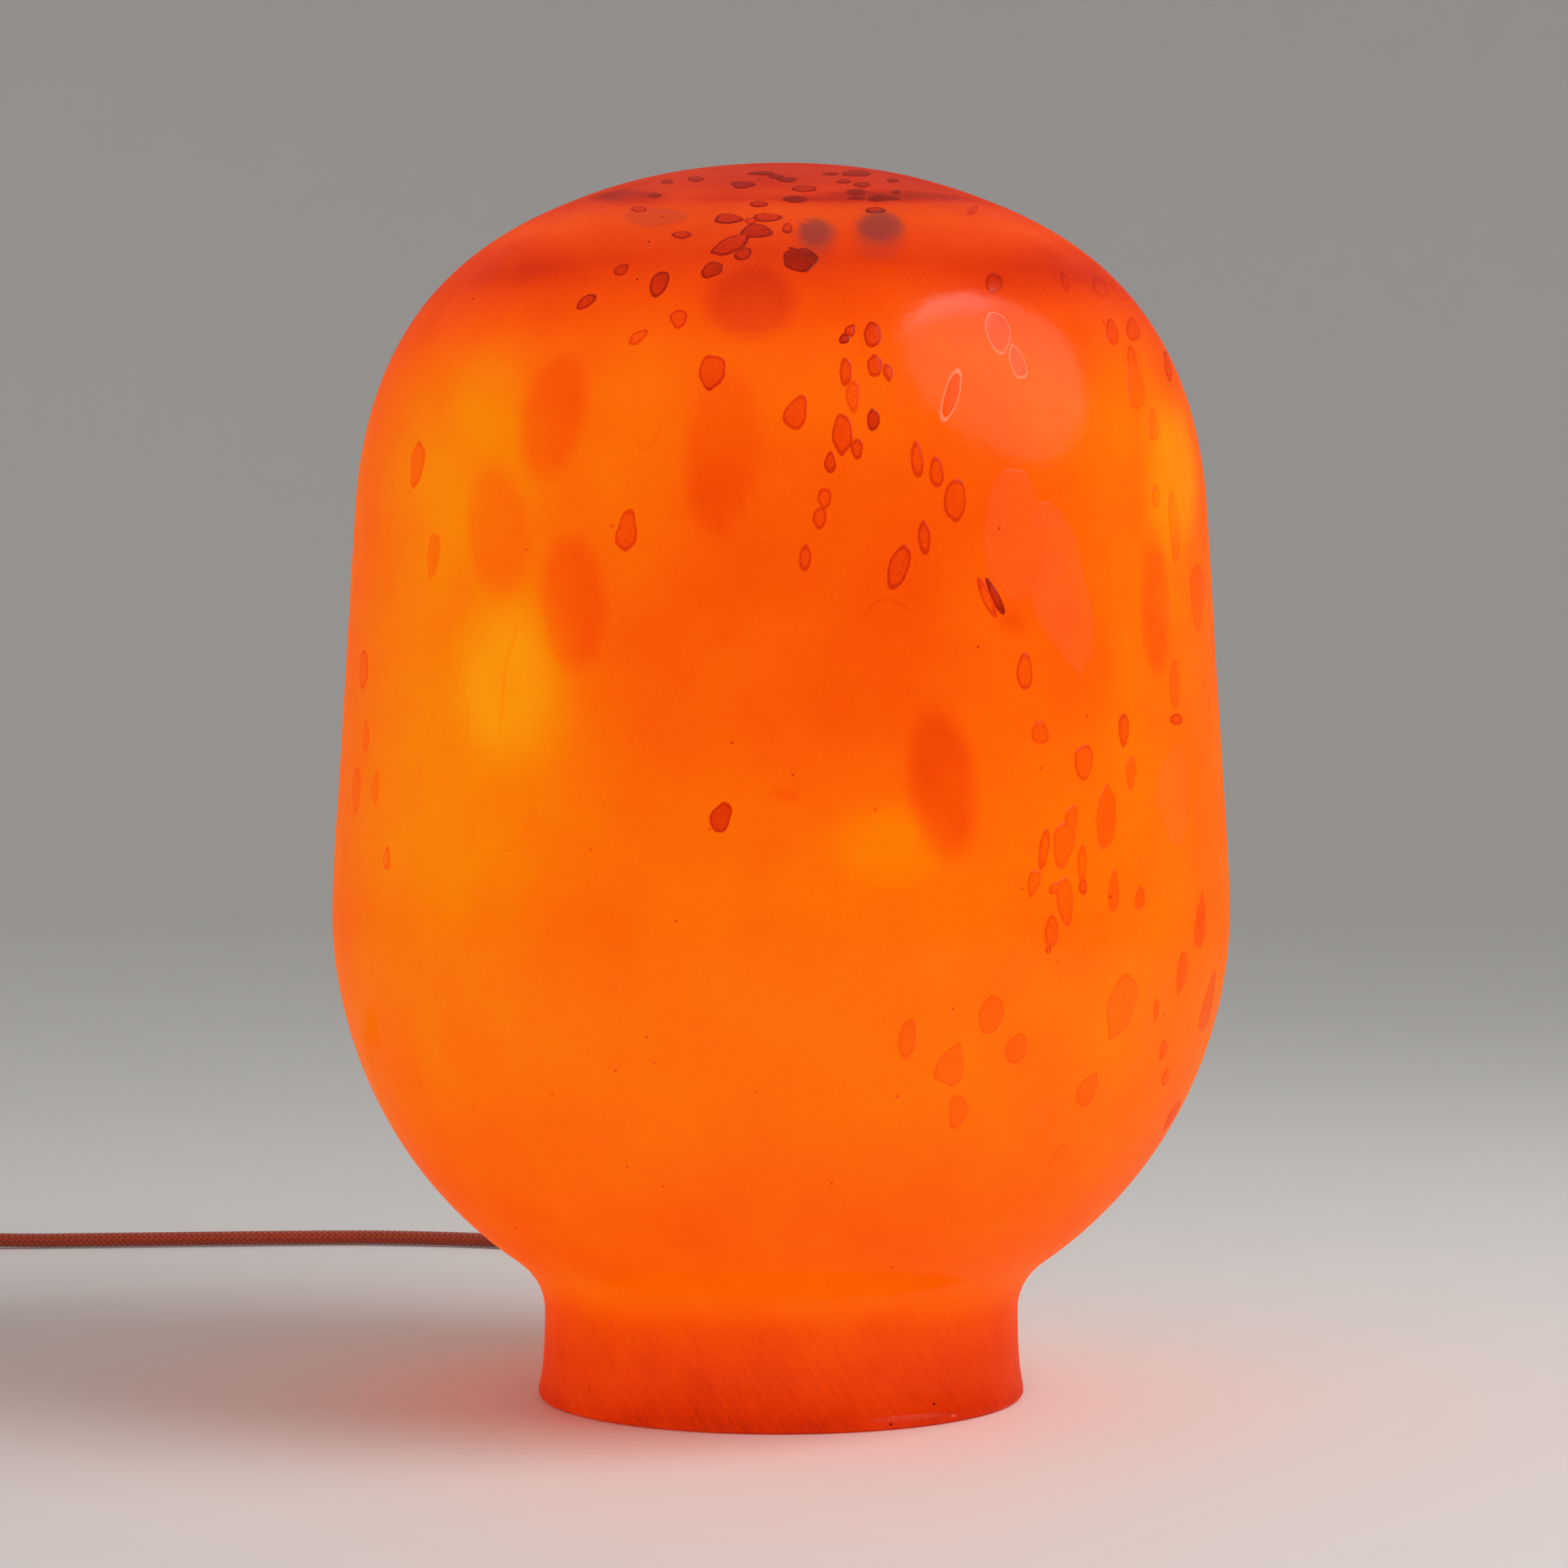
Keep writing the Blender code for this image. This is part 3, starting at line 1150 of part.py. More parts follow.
def make_cord(finishes):
    """The cord's free stretches, its coil and the tie."""
    group = assembly("cord")
    textile = finishes["rust_textile"]
    rest = CORD_RADIUS
    start = (0.0, BOOT_END + SEAT_GAP, CORD_EXIT_HEIGHT)
    out = (0.0, BOOT_END + CORD_OUT[0], CORD_EXIT_HEIGHT + CORD_OUT[1])
    down = (CORD_DOWN[0], BOOT_END + CORD_DOWN[1], rest + CORD_DOWN[2])
    inlet = SWITCH_PLACE[0] + SWITCH_LENGTH / 2
    outlet = SWITCH_PLACE[0] - SWITCH_LENGTH / 2
    route = [start, out, down]
    route += [(x, y, rest) for x, y in CORD_ROUTE]
    route += [
        (inlet + SWITCH_APPROACH[0], SWITCH_PLACE[1], rest + SWITCH_APPROACH[1]),
        (inlet + SWITCH_ENTRY[0], SWITCH_PLACE[1], SWITCH_SPLIT + SWITCH_ENTRY[1]),
        (inlet + SEAT_GAP, SWITCH_PLACE[1], SWITCH_SPLIT),
    ]
    step = CORD_STEP * CORD_DIAMETER
    run = smooth_route(route, step, rest)
    tube("cord_run", run, CORD_RADIUS, textile, group)
    coil_start = COIL_PLACE[0] + CORD_DIAMETER
    entry = COIL_PLACE[1] + COIL_OUTER
    link = smooth_route(
        (
            (outlet - SEAT_GAP, SWITCH_PLACE[1], SWITCH_SPLIT),
            (outlet - SWITCH_LEAVING[0], SWITCH_PLACE[1], SWITCH_SPLIT + SWITCH_LEAVING[1]),
            (coil_start + COIL_ENTRY[0], entry, COIL_LOW + COIL_ENTRY[1]),
            (coil_start + SEAT_GAP, entry, COIL_LOW),
        ),
        step,
    )
    tube("cord_link", link, CORD_RADIUS, textile, group)
    coil = coil_points()
    tube("cord_coil", coil, CORD_RADIUS, textile, group, sides_step=1)
    plug_x, plug_y = plug_start()
    tail_start = coil_start + SEAT_GAP
    tail = smooth_route(
        (
            (tail_start, plug_y, COIL_HIGH),
            (tail_start + COIL_LEAVING[0], plug_y, COIL_HIGH + COIL_LEAVING[1]),
            (plug_x - PLUG_ENTRY[0], plug_y, PLUG_THICKNESS / 2 + PLUG_ENTRY[1]),
            (plug_x - SEAT_GAP, plug_y, PLUG_THICKNESS / 2),
        ),
        step,
    )
    tube("cord_tail", tail, CORD_RADIUS, textile, group)
    make_tie(finishes, group)
    gap = least_self_gap(coil, CORD_DIAMETER, COIL_TURN_POINTS // 2)
    print(f"coil: least gap to itself {gap * 1000:.2f} mm")
    total = sum(length_of(points) for points in (run, link, coil, tail)) + SWITCH_LENGTH
    print(f"cord: {total:.3f} m from the boot to the plug")


def rounded_box(low, high, radius):
    """The outline of an upright rectangle with round corners."""
    corners = (
        ((high[0] - radius, high[1] - radius), 0),
        ((low[0] + radius, high[1] - radius), 90),
        ((low[0] + radius, low[1] + radius), 180),
        ((high[0] - radius, low[1] + radius), 270),
    )
    return [point for centre, angle in corners for point in arc(centre, radius, angle, angle + 90)]


def make_tie(finishes, group):
    """A strap round the coil's turns, on its far side from the switch."""
    inside = COIL_INNER + COIL_STEP / 4 - CORD_RADIUS
    curve_room = inside - math.sqrt(inside**2 - (TIE_WIDTH / 2) ** 2)
    near = inside - curve_room - SEAT_GAP
    far = COIL_OUTER - COIL_STEP / 4 + CORD_RADIUS + SEAT_GAP
    low = COIL_LOW - CORD_RADIUS - SEAT_GAP
    high = COIL_HIGH + CORD_RADIUS + SEAT_GAP
    inner = rounded_box((-far, low), (-near, high), TIE_ROUND)
    outer = rounded_box(
        (-far - TIE_THICKNESS, low - TIE_THICKNESS),
        (-near + TIE_THICKNESS, high + TIE_THICKNESS),
        TIE_ROUND + TIE_THICKNESS,
    )
    piece(
        "cord_tie",
        flat_mesh("cord_tie", [outer, inner], TIE_WIDTH),
        finishes["black_strap"],
        group,
        (*COIL_PLACE, 0.0),
        (math.pi / 2, 0.0, 0.0),
    )


def main():
    clear_scene()
    finishes = make_finishes()
    make_glass(finishes)
    make_base(finishes)
    make_holder(finishes)
    make_bulb(finishes)
    make_switch(finishes)
    make_plug(finishes)
    make_cord(finishes)


main()
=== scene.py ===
"""Looks of a lit glass table lamp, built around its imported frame.

The blown shade glows orange and carries small fused chips. Under it are a weighted base, a lampholder and a
bulb, and a braided cord leads to an in-line switch, a tied coil and a plug.
Metres, +Z up. The front faces -Y and the cord leaves at +Y.
"""

import json
import logging
import math
import random
from dataclasses import dataclass
from enum import Enum
from functools import cached_property
from typing import Callable, Sequence

import bmesh
import bpy
import numpy as np
from mathutils import Matrix, Vector, kdtree, noise

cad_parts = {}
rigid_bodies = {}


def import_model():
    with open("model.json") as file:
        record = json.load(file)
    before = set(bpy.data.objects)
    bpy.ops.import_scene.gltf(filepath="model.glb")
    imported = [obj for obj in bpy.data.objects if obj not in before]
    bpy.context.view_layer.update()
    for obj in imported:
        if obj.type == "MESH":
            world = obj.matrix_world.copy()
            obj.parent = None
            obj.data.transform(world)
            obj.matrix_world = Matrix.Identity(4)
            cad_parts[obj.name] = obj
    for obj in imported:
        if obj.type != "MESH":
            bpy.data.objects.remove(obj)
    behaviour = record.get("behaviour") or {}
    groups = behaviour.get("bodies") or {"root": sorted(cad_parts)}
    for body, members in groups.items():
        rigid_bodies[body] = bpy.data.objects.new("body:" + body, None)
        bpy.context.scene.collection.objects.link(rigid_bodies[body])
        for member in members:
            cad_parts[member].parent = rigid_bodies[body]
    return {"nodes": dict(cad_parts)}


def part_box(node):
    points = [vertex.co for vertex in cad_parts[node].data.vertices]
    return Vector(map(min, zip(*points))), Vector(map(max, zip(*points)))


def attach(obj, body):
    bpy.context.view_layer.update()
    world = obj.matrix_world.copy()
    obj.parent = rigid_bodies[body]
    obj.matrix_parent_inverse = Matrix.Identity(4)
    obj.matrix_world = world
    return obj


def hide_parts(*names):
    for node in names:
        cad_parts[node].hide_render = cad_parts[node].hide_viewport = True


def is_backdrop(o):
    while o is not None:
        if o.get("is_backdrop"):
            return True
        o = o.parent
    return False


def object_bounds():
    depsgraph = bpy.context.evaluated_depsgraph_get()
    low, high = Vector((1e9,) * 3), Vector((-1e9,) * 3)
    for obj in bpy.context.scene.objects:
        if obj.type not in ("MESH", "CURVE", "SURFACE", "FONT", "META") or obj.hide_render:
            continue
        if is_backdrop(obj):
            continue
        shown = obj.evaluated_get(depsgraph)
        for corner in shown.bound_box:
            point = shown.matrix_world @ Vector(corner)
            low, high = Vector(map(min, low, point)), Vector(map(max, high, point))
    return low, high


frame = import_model()
CAD_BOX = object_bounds()

LOG = logging.getLogger("lamp")
FULL_TURN = 2 * math.pi
QUARTER_TURN = math.pi / 2
NOISE_SPAN = (0.3, 0.7)  # where nearly all of a noise node's values lie
LAYOUT_LAYER = "braid"

Pair = tuple[float, float]
Triple = tuple[float, float, float]
Colour = tuple[float, float, float, float]
Socket = bpy.types.NodeSocket
Mesh = bpy.types.Mesh
Piece = bpy.types.Object
Girth = Callable[[np.ndarray, np.ndarray], np.ndarray]


class Body(Enum):
    """The frame's bodies that pieces ride on."""

    BASE = "base"
    GLASS = "glass"
    BULB_SCREW = "bulb_screw"
    BULB = "bulb"
    ROCKER = "rocker"


class Tone(Enum):
    """How much deeper a chip is than the glass round it: inside, and along its outline, in glow levels."""

    DARK = (25.0, 42.0)
    MID = (13.0, 32.0)
    THIN = (13.0, 25.0)
    FILM = (18.0, 20.0)
    FAINT = (10.0, 18.0)
    GHOST = (2.0, 9.0)
    CLOT = (46.0, 58.0)
    # Pale chips: the outline is brighter than the glass round it, a painted highlight.
    PALE = (9.0, -18.0)
    # Faint plain ovals and streaks with no stipple; the rim's painted highlight is one of them.
    HAZE = (2.0, 3.0)


def screen(red: int, green: int, blue: int) -> Colour:
    """Turns a colour in screen levels, 0 to 255, into linear light with full opacity."""
    levels = (red / 255, green / 255, blue / 255)
    return (*(v / 12.92 if v <= 0.04045 else ((v + 0.055) / 1.055) ** 2.4 for v in levels), 1.0)


def smooth_step(share: np.ndarray) -> np.ndarray:
    """Eases shares from 0 to 1, with level ends."""
    cut = np.clip(share, 0.0, 1.0)
    return cut * cut * (3.0 - 2.0 * cut)


def wave(angles: np.ndarray) -> np.ndarray:
    """A wave from 0 to 1 and back in each turn."""
    return 0.5 - 0.5 * np.cos(angles)


def unit_rows(rows: np.ndarray) -> np.ndarray:
    """Makes each row of numbers 1 long."""
    return rows / np.linalg.norm(rows, axis=1)[:, None]


def lengths_along(line: np.ndarray) -> np.ndarray:
    """The length from the first point of a line to each of its points."""
    return np.concatenate(([0.0], np.cumsum(np.linalg.norm(np.diff(line, axis=0), axis=1))))


def lean_axes(degrees: float) -> np.ndarray:
    """The matrix that leans a step from upright."""
    lean = math.radians(degrees)
    return np.array(((math.cos(lean), -math.sin(lean)), (math.sin(lean), math.cos(lean))))


# Materials


class NodeSheet:
    """The nodes of one material, lamp or sky, with short ways to add those that the finishes share."""

    def __init__(self, owner: bpy.types.ID, shader: str = "Principled BSDF") -> None:
        """Starts from the standard nodes of a material, lamp or sky, with its shader by name."""
        owner.use_nodes = True
        self.tree, self.shader = owner.node_tree, owner.node_tree.nodes[shader]

    def feed(self, socket: Socket, value: object) -> None:
        """Links a socket to another, or sets its own value.

        Args:
            socket: The input.
            value: An output to link, or a plain value.
        """
        if isinstance(value, Socket):
            self.tree.links.new(value, socket)
        else:
            socket.default_value = value

    def add(self, kind: str, inputs: dict[str | int, object], **settings: object) -> bpy.types.Node:
        """Adds a node.

        Args:
            kind: Blender's name of the node type.
            inputs: What goes into its inputs, by name or number.
            settings: Its other properties.

        Returns:
            The node.
        """
        node = self.tree.nodes.new(kind)
        for key, value in settings.items():
            setattr(node, key, value)
        for key, value in inputs.items():
            self.feed(node.inputs[key], value)
        return node

    def set(self, **values: object) -> None:
        """Sets or links inputs of the shader, named with _ for a space."""
        for key, value in values.items():
            self.feed(self.shader.inputs[key.replace("_", " ")], value)

    def place(self, scale: Triple = (1.0, 1.0, 1.0)) -> Socket:
        """The point on the object, with each axis stretched."""
        at = self.add("ShaderNodeTexCoord", {}).outputs["Object"]
        return self.add("ShaderNodeMapping", {"Vector": at, "Scale": scale}).outputs["Vector"]

    def attribute(self, name: str, output: str = "Fac") -> Socket:
        """A value stored on the mesh."""
        return self.add("ShaderNodeAttribute", {}, attribute_name=name).outputs[output]

    def noise(self, scale: float, detail: float = 2.0, at: Socket | None = None) -> Socket:
        """Cloudy noise about 0.5, by its patches per metre and its layers of finer noise."""
        inputs = {"Vector": at or self.place(), "Scale": scale, "Detail": detail}
        return self.add("ShaderNodeTexNoise", inputs).outputs["Fac"]

    def sum(self, operation: str, first: object, second: object = 0.0) -> Socket:
        """A sum of two sockets or numbers, by Blender's name of the sum."""
        return self.add("ShaderNodeMath", {0: first, 1: second}, operation=operation).outputs[0]

    def span(self, value: Socket, source: Pair, target: Pair, **settings: object) -> Socket:
        """Moves a value from one range to another, cut at its ends."""
        inputs = {0: value, 1: source[0], 2: source[1], 3: target[0], 4: target[1]}
        return self.add("ShaderNodeMapRange", inputs, **settings).outputs[0]

    def clouds(self, scale: float, detail: float, target: Pair) -> Socket:
        """Cloudy noise that fills a range."""
        return self.span(self.noise(scale, detail), NOISE_SPAN, target)

    def mix(self, factor: object, first: object, second: object) -> Socket:
        """A mix of two colours, by the share of the second."""
        inputs = {0: factor, 6: first, 7: second}
        return self.add("ShaderNodeMix", inputs, data_type="RGBA").outputs[2]

    def ramp(self, factor: Socket, stops: Sequence[tuple[float, Colour]]) -> Socket:
        """Colours by a value.

        Args:
            factor: The value, 0 to 1.
            stops: Places and colours, in order.

        Returns:
            The colour.
        """
        node = self.add("ShaderNodeValToRGB", {"Fac": factor})
        elements = node.color_ramp.elements
        while len(elements) < len(stops):
            elements.new(0.5)
        for element, (place, colour) in zip(elements, stops):
            element.position = place
            element.color = colour
        return node.outputs["Color"]

    def bump(self, height: Socket, strength: float, distance: float, *normals: str) -> None:
        """Roughens the surface by a height.

        Args:
            height: The height, 0 to 1.
            strength: How strongly it shows.
            distance: The depth it stands for, in metres.
            normals: The shader's inputs that take it, or none for its main normal.
        """
        inputs = {"Height": height, "Strength": strength, "Distance": distance}
        made = self.add("ShaderNodeBump", inputs).outputs["Normal"]
        for name in normals or ("Normal",):
            self.feed(self.shader.inputs[name], made)


@dataclass(frozen=True)
class Surface:
    """A finish: its material's name, the record's slot it stands for, and the way its nodes are laid."""

    name: str
    slot: str

    @cached_property
    def material(self) -> bpy.types.Material:
        """The material, made once.

        Returns:
            The material.
        """
        material = bpy.data.materials.new(self.name)
        self.lay(NodeSheet(material))
        return material

    def lay(self, sheet: NodeSheet) -> None:
        """Lays the nodes of the finish."""
        raise NotImplementedError(self.name)


@dataclass(frozen=True)
class LitGlass(Surface):
    """Opal orange glass lit from inside: its colour runs along a ramp by the glow stored on the mesh."""

    full_glow: float = 150.0
    stops: tuple[tuple[float, Colour], ...] = (
        (0.10, screen(112, 15, 4)),
        (0.20, screen(165, 30, 3)),
        (0.29, screen(210, 43, 2)),
        (0.41, screen(235, 62, 1)),
        (0.52, screen(248, 78, 1)),
        (0.60, screen(253, 90, 1)),
        (0.75, screen(254, 112, 0)),
        (0.90, screen(254, 135, 2)),
        (1.00, screen(254, 150, 8)),
    )
    # Pale pink that the colour turns towards where the stored share is above 0: painted sheen on the crown,
    # painted highlights on the pale chips and the rim, and pink tints elsewhere.
    pink_sheen_and_tint: Colour = screen(255, 150, 128)
    ink: Colour = screen(0, 51, 61)
    glow_share: float = 0.90
    body_share: float = 0.15
    rough: Pair = (0.45, 0.60)
    rough_scale: float = 60.0
    coat: float = 0.15
    coat_rough: float = 0.13
    mottle: float = 0.035
    mottle_scale: float = 38.0
    grain: float = 0.022
    grain_scale: float = 1500.0
    streak: float = 0.045
    streak_span: Pair = (0.40, 0.75)
    streak_turn: Triple = (0.0, 0.0, -1.0)
    streak_cell: Triple = (0.016, 0.0012, 1.0)
    stipple: float = 0.10
    stipple_scale: float = 2600.0
    stipple_span: Pair = (0.52, 0.66)
    speck_depth: float = 0.30
    speck_scale: float = 78.0
    speck_edge: Pair = (0.022, 0.042)
    wave_scale: float = 90.0
    peel: float = 0.12
    peel_scale: float = 650.0
    relief: float = 0.12
    relief_depth: float = 0.0012

    def lay(self, sheet: NodeSheet) -> None:
        """Lays the nodes: the glow with its fine texture, its colour, and the glossy skin over it.

        Args:
            sheet: The material's nodes.
        """
        glow = sheet.attribute("glow")
        for depth, scale, detail in ((self.mottle, self.mottle_scale, 4), (self.grain, self.grain_scale, 2)):
            glow = sheet.sum("ADD", glow, sheet.clouds(scale, detail, (-depth, depth)))
        skin = {"Vector": sheet.attribute("skin", "Vector")}
        skin |= {"Rotation": self.streak_turn, "Scale": self.streak_cell}
        turned = sheet.add("ShaderNodeMapping", skin, vector_type="TEXTURE").outputs["Vector"]
        streaks = sheet.span(sheet.noise(1.0, 3, turned), self.streak_span, (0.0, self.streak))
        stipple = sheet.span(sheet.noise(self.stipple_scale, 1), self.stipple_span, (0.0, self.stipple))
        pits = sheet.sum("MULTIPLY", stipple, sheet.attribute("stipple"))
        specks = sheet.add("ShaderNodeTexVoronoi", {"Vector": sheet.place(), "Scale": self.speck_scale})
        speck = sheet.span(specks.outputs["Distance"], self.speck_edge, (self.speck_depth, 0.0))
        for drop in (sheet.sum("MULTIPLY", streaks, sheet.attribute("foot")), pits, speck):
            glow = sheet.sum("SUBTRACT", glow, drop)
        colour = sheet.ramp(glow, self.stops)
        # The stored share turns the glow colour towards pale pink or ink; in places the pale pink is painted
        # sheen and painted highlights, and the body colour below copies it.
        veil = sheet.attribute("veil")
        for full, tint in ((1.0, self.pink_sheen_and_tint), (-1.0, self.ink)):
            colour = sheet.mix(sheet.span(veil, (0.0, full), (0.0, 1.0)), colour, tint)
        sheet.set(Emission_Color=colour, Emission_Strength=self.glow_share)
        sheet.set(Base_Color=sheet.mix(self.body_share, (0, 0, 0, 1), colour))
        sheet.set(Roughness=sheet.clouds(self.rough_scale, 3, self.rough), Specular_IOR_Level=0.0)
        sheet.set(Coat_Weight=self.coat, Coat_Roughness=self.coat_rough)
        peel = sheet.sum("MULTIPLY", sheet.noise(self.peel_scale, 2), self.peel)
        waves = sheet.sum("ADD", sheet.noise(self.wave_scale, 3), peel)
        height = sheet.sum("SUBTRACT", waves, pits)
        sheet.bump(height, self.relief, self.relief_depth, "Normal", "Coat Normal")


@dataclass(frozen=True)
class Moulded(Surface):
    """Moulded plastic, rubber or ceramic with a fine surface grain and slight clouds in its colour."""

    colour: Colour
    rough: Pair = (0.38, 0.52)
    grain_scale: float = 1800.0
    grain_depth: float = 0.00006
    cloud: float = 0.08
    coat: float = 0.0
    see_through: float = 0.0
    shade: float = 0.55
    cloud_scale: float = 45.0
    rough_scale: float = 140.0
    grain_strength: float = 0.35

    def lay(self, sheet: NodeSheet) -> None:
        """Lays the nodes.

        Args:
            sheet: The material's nodes.
        """
        dark = tuple(self.shade * part for part in self.colour[:3]) + (1.0,)
        clouds = sheet.clouds(self.cloud_scale, 4, (2 * self.cloud, 0.0))
        sheet.set(Base_Color=sheet.mix(clouds, self.colour, dark), Coat_Weight=self.coat)
        rough = sheet.clouds(self.rough_scale, 3, self.rough)
        sheet.set(Roughness=rough, Transmission_Weight=self.see_through)
        sheet.bump(sheet.noise(self.grain_scale, 2), self.grain_strength, self.grain_depth)


@dataclass(frozen=True)
class Metal(Surface):
    """Bare or plated metal with fine tool marks round its axis and slight tarnish."""

    colour: Colour
    tarnish: Colour
    rough: Pair = (0.22, 0.38)
    marks: Triple = (40.0, 40.0, 2600.0)
    mark_depth: float = 0.00003
    mark_strength: float = 0.25
    spot_scale: float = 160.0
    spot_span: Pair = (0.50, 0.72)
    spot_share: float = 0.6

    def lay(self, sheet: NodeSheet) -> None:
        """Lays the nodes.

        Args:
            sheet: The material's nodes.
        """
        spots = sheet.span(sheet.noise(self.spot_scale, 5), self.spot_span, (0.0, self.spot_share))
        lines = sheet.noise(1.0, 2, sheet.place(self.marks))
        sheet.set(Base_Color=sheet.mix(spots, self.colour, self.tarnish), Metallic=1.0)
        sheet.set(Roughness=sheet.span(lines, NOISE_SPAN, self.rough))
        sheet.bump(lines, self.mark_strength, self.mark_depth)


@dataclass(frozen=True)
class Opal(Surface):
    """The bulb's frosted globe, glowing warm white, a little less towards its foot."""

    colour: Colour = screen(250, 244, 230)
    warm: Colour = screen(255, 226, 178)
    dim: Colour = screen(214, 150, 92)
    glow: float = 0.42
    fade: Pair = (0.126, 0.150)
    foot_share: float = 0.55
    cloud_share: float = 0.94
    cloud_scale: float = 60.0
    rough: Pair = (0.30, 0.42)
    rough_scale: float = 500.0
    milk: float = 0.15
    depth: Triple = (0.004, 0.003, 0.002)
    grain_scale: float = 2400.0
    grain_strength: float = 0.2
    grain_depth: float = 0.00004

    def lay(self, sheet: NodeSheet) -> None:
        """Lays the nodes.

        Args:
            sheet: The material's nodes.
        """
        height = sheet.add("ShaderNodeSeparateXYZ", {0: sheet.place()}).outputs["Z"]
        lit = sheet.span(height, self.fade, (self.foot_share, 1.0))
        share = sheet.sum("MULTIPLY", lit, sheet.clouds(self.cloud_scale, 3, (self.cloud_share, 1.0)))
        sheet.set(Base_Color=self.colour, Roughness=sheet.clouds(self.rough_scale, 2, self.rough))
        sheet.set(Emission_Color=sheet.mix(share, self.dim, self.warm), Emission_Strength=self.glow)
        sheet.set(Subsurface_Weight=self.milk, Subsurface_Radius=self.depth)
        sheet.bump(sheet.noise(self.grain_scale, 2), self.grain_strength, self.grain_depth)


@dataclass(frozen=True)
class Braid(Surface):
    """Woven cover of strands that cross in two directions, laid out on the mesh's own length and girth."""

    crest: Colour
    # Colour where the strands dip: painted shade between them.
    gap_shade: Colour
    fleck: Colour
    carriers: float = 8.0
    lay_length: float = 0.019
    depth: float = 0.00035
    strength: float = 0.8
    strand_edge: Pair = (0.10, 0.5)
    crest_span: Pair = (0.0, 0.75)
    fibre_scale: float = 5200.0
    fibre_height: float = 0.35
    fleck_span: Pair = (0.45, 0.75)
    fleck_share: float = 0.5
    rough: Pair = (0.75, 0.95)
    shine: float = 0.25
    sheen: Pair = (0.35, 0.5)

    def strands(self, sheet: NodeSheet) -> Socket:
        """The height of the woven strands.

        Args:
            sheet: The material's nodes.

        Returns:
            Height from 0 to 1.
        """
        at = sheet.add("ShaderNodeUVMap", {}, uv_map=LAYOUT_LAYER).outputs["UV"]
        parts = sheet.add("ShaderNodeSeparateXYZ", {0: at}).outputs
        girth = sheet.sum("MULTIPLY", parts["X"], self.carriers)
        along = sheet.sum("MULTIPLY", parts["Y"], self.carriers / self.lay_length)
        ways = [sheet.sum(operation, girth, along) for operation in ("ADD", "SUBTRACT")]
        heights = []
        for way in ways:
            near = sheet.sum("ABSOLUTE", sheet.sum("SUBTRACT", sheet.sum("FRACT", way), 0.5))
            heights.append(sheet.span(near, self.strand_edge, (1.0, 0.0)))
        cell = sheet.sum("ADD", *[sheet.sum("FLOOR", way) for way in ways])
        inputs = {0: sheet.sum("FLOORED_MODULO", cell, 2.0), 2: heights[0], 3: heights[1]}
        return sheet.add("ShaderNodeMix", inputs, data_type="FLOAT").outputs[0]

    def lay(self, sheet: NodeSheet) -> None:
        """Lays the nodes.

        Args:
            sheet: The material's nodes.
        """
        height = self.strands(sheet)
        fibre = sheet.noise(self.fibre_scale, 3)
        # Darker where the strands dip, painted shade in the weave's hollows; paler flecks come from noise.
        colour = sheet.mix(sheet.span(height, self.crest_span, (0.0, 1.0)), self.gap_shade, self.crest)
        colour = sheet.mix(sheet.span(fibre, self.fleck_span, (0.0, self.fleck_share)), colour, self.fleck)
        sheet.set(Base_Color=colour, Specular_IOR_Level=self.shine)
        sheet.set(Sheen_Weight=self.sheen[0], Sheen_Roughness=self.sheen[1])
        sheet.set(Roughness=sheet.span(fibre, NOISE_SPAN, self.rough))
        fibres = sheet.sum("MULTIPLY", fibre, self.fibre_height)
        sheet.bump(sheet.sum("ADD", height, fibres), self.strength, self.depth)


@dataclass(frozen=True)
class PaleFloor(Surface):
    """Plain pale floor and backdrop."""

    colour: Colour = (0.80, 0.785, 0.77, 1.0)
    cloud: Colour = (0.70, 0.69, 0.68, 1.0)
    cloud_scale: float = 6.0
    cloud_share: float = 0.06
    rough: float = 0.55
    shine: float = 0.3

    def lay(self, sheet: NodeSheet) -> None:
        """Lays the nodes.

        Args:
            sheet: The material's nodes.
        """
        share = sheet.clouds(self.cloud_scale, 4, (0.0, self.cloud_share))
        sheet.set(Base_Color=sheet.mix(share, self.colour, self.cloud))
        sheet.set(Roughness=self.rough, Specular_IOR_Level=self.shine)


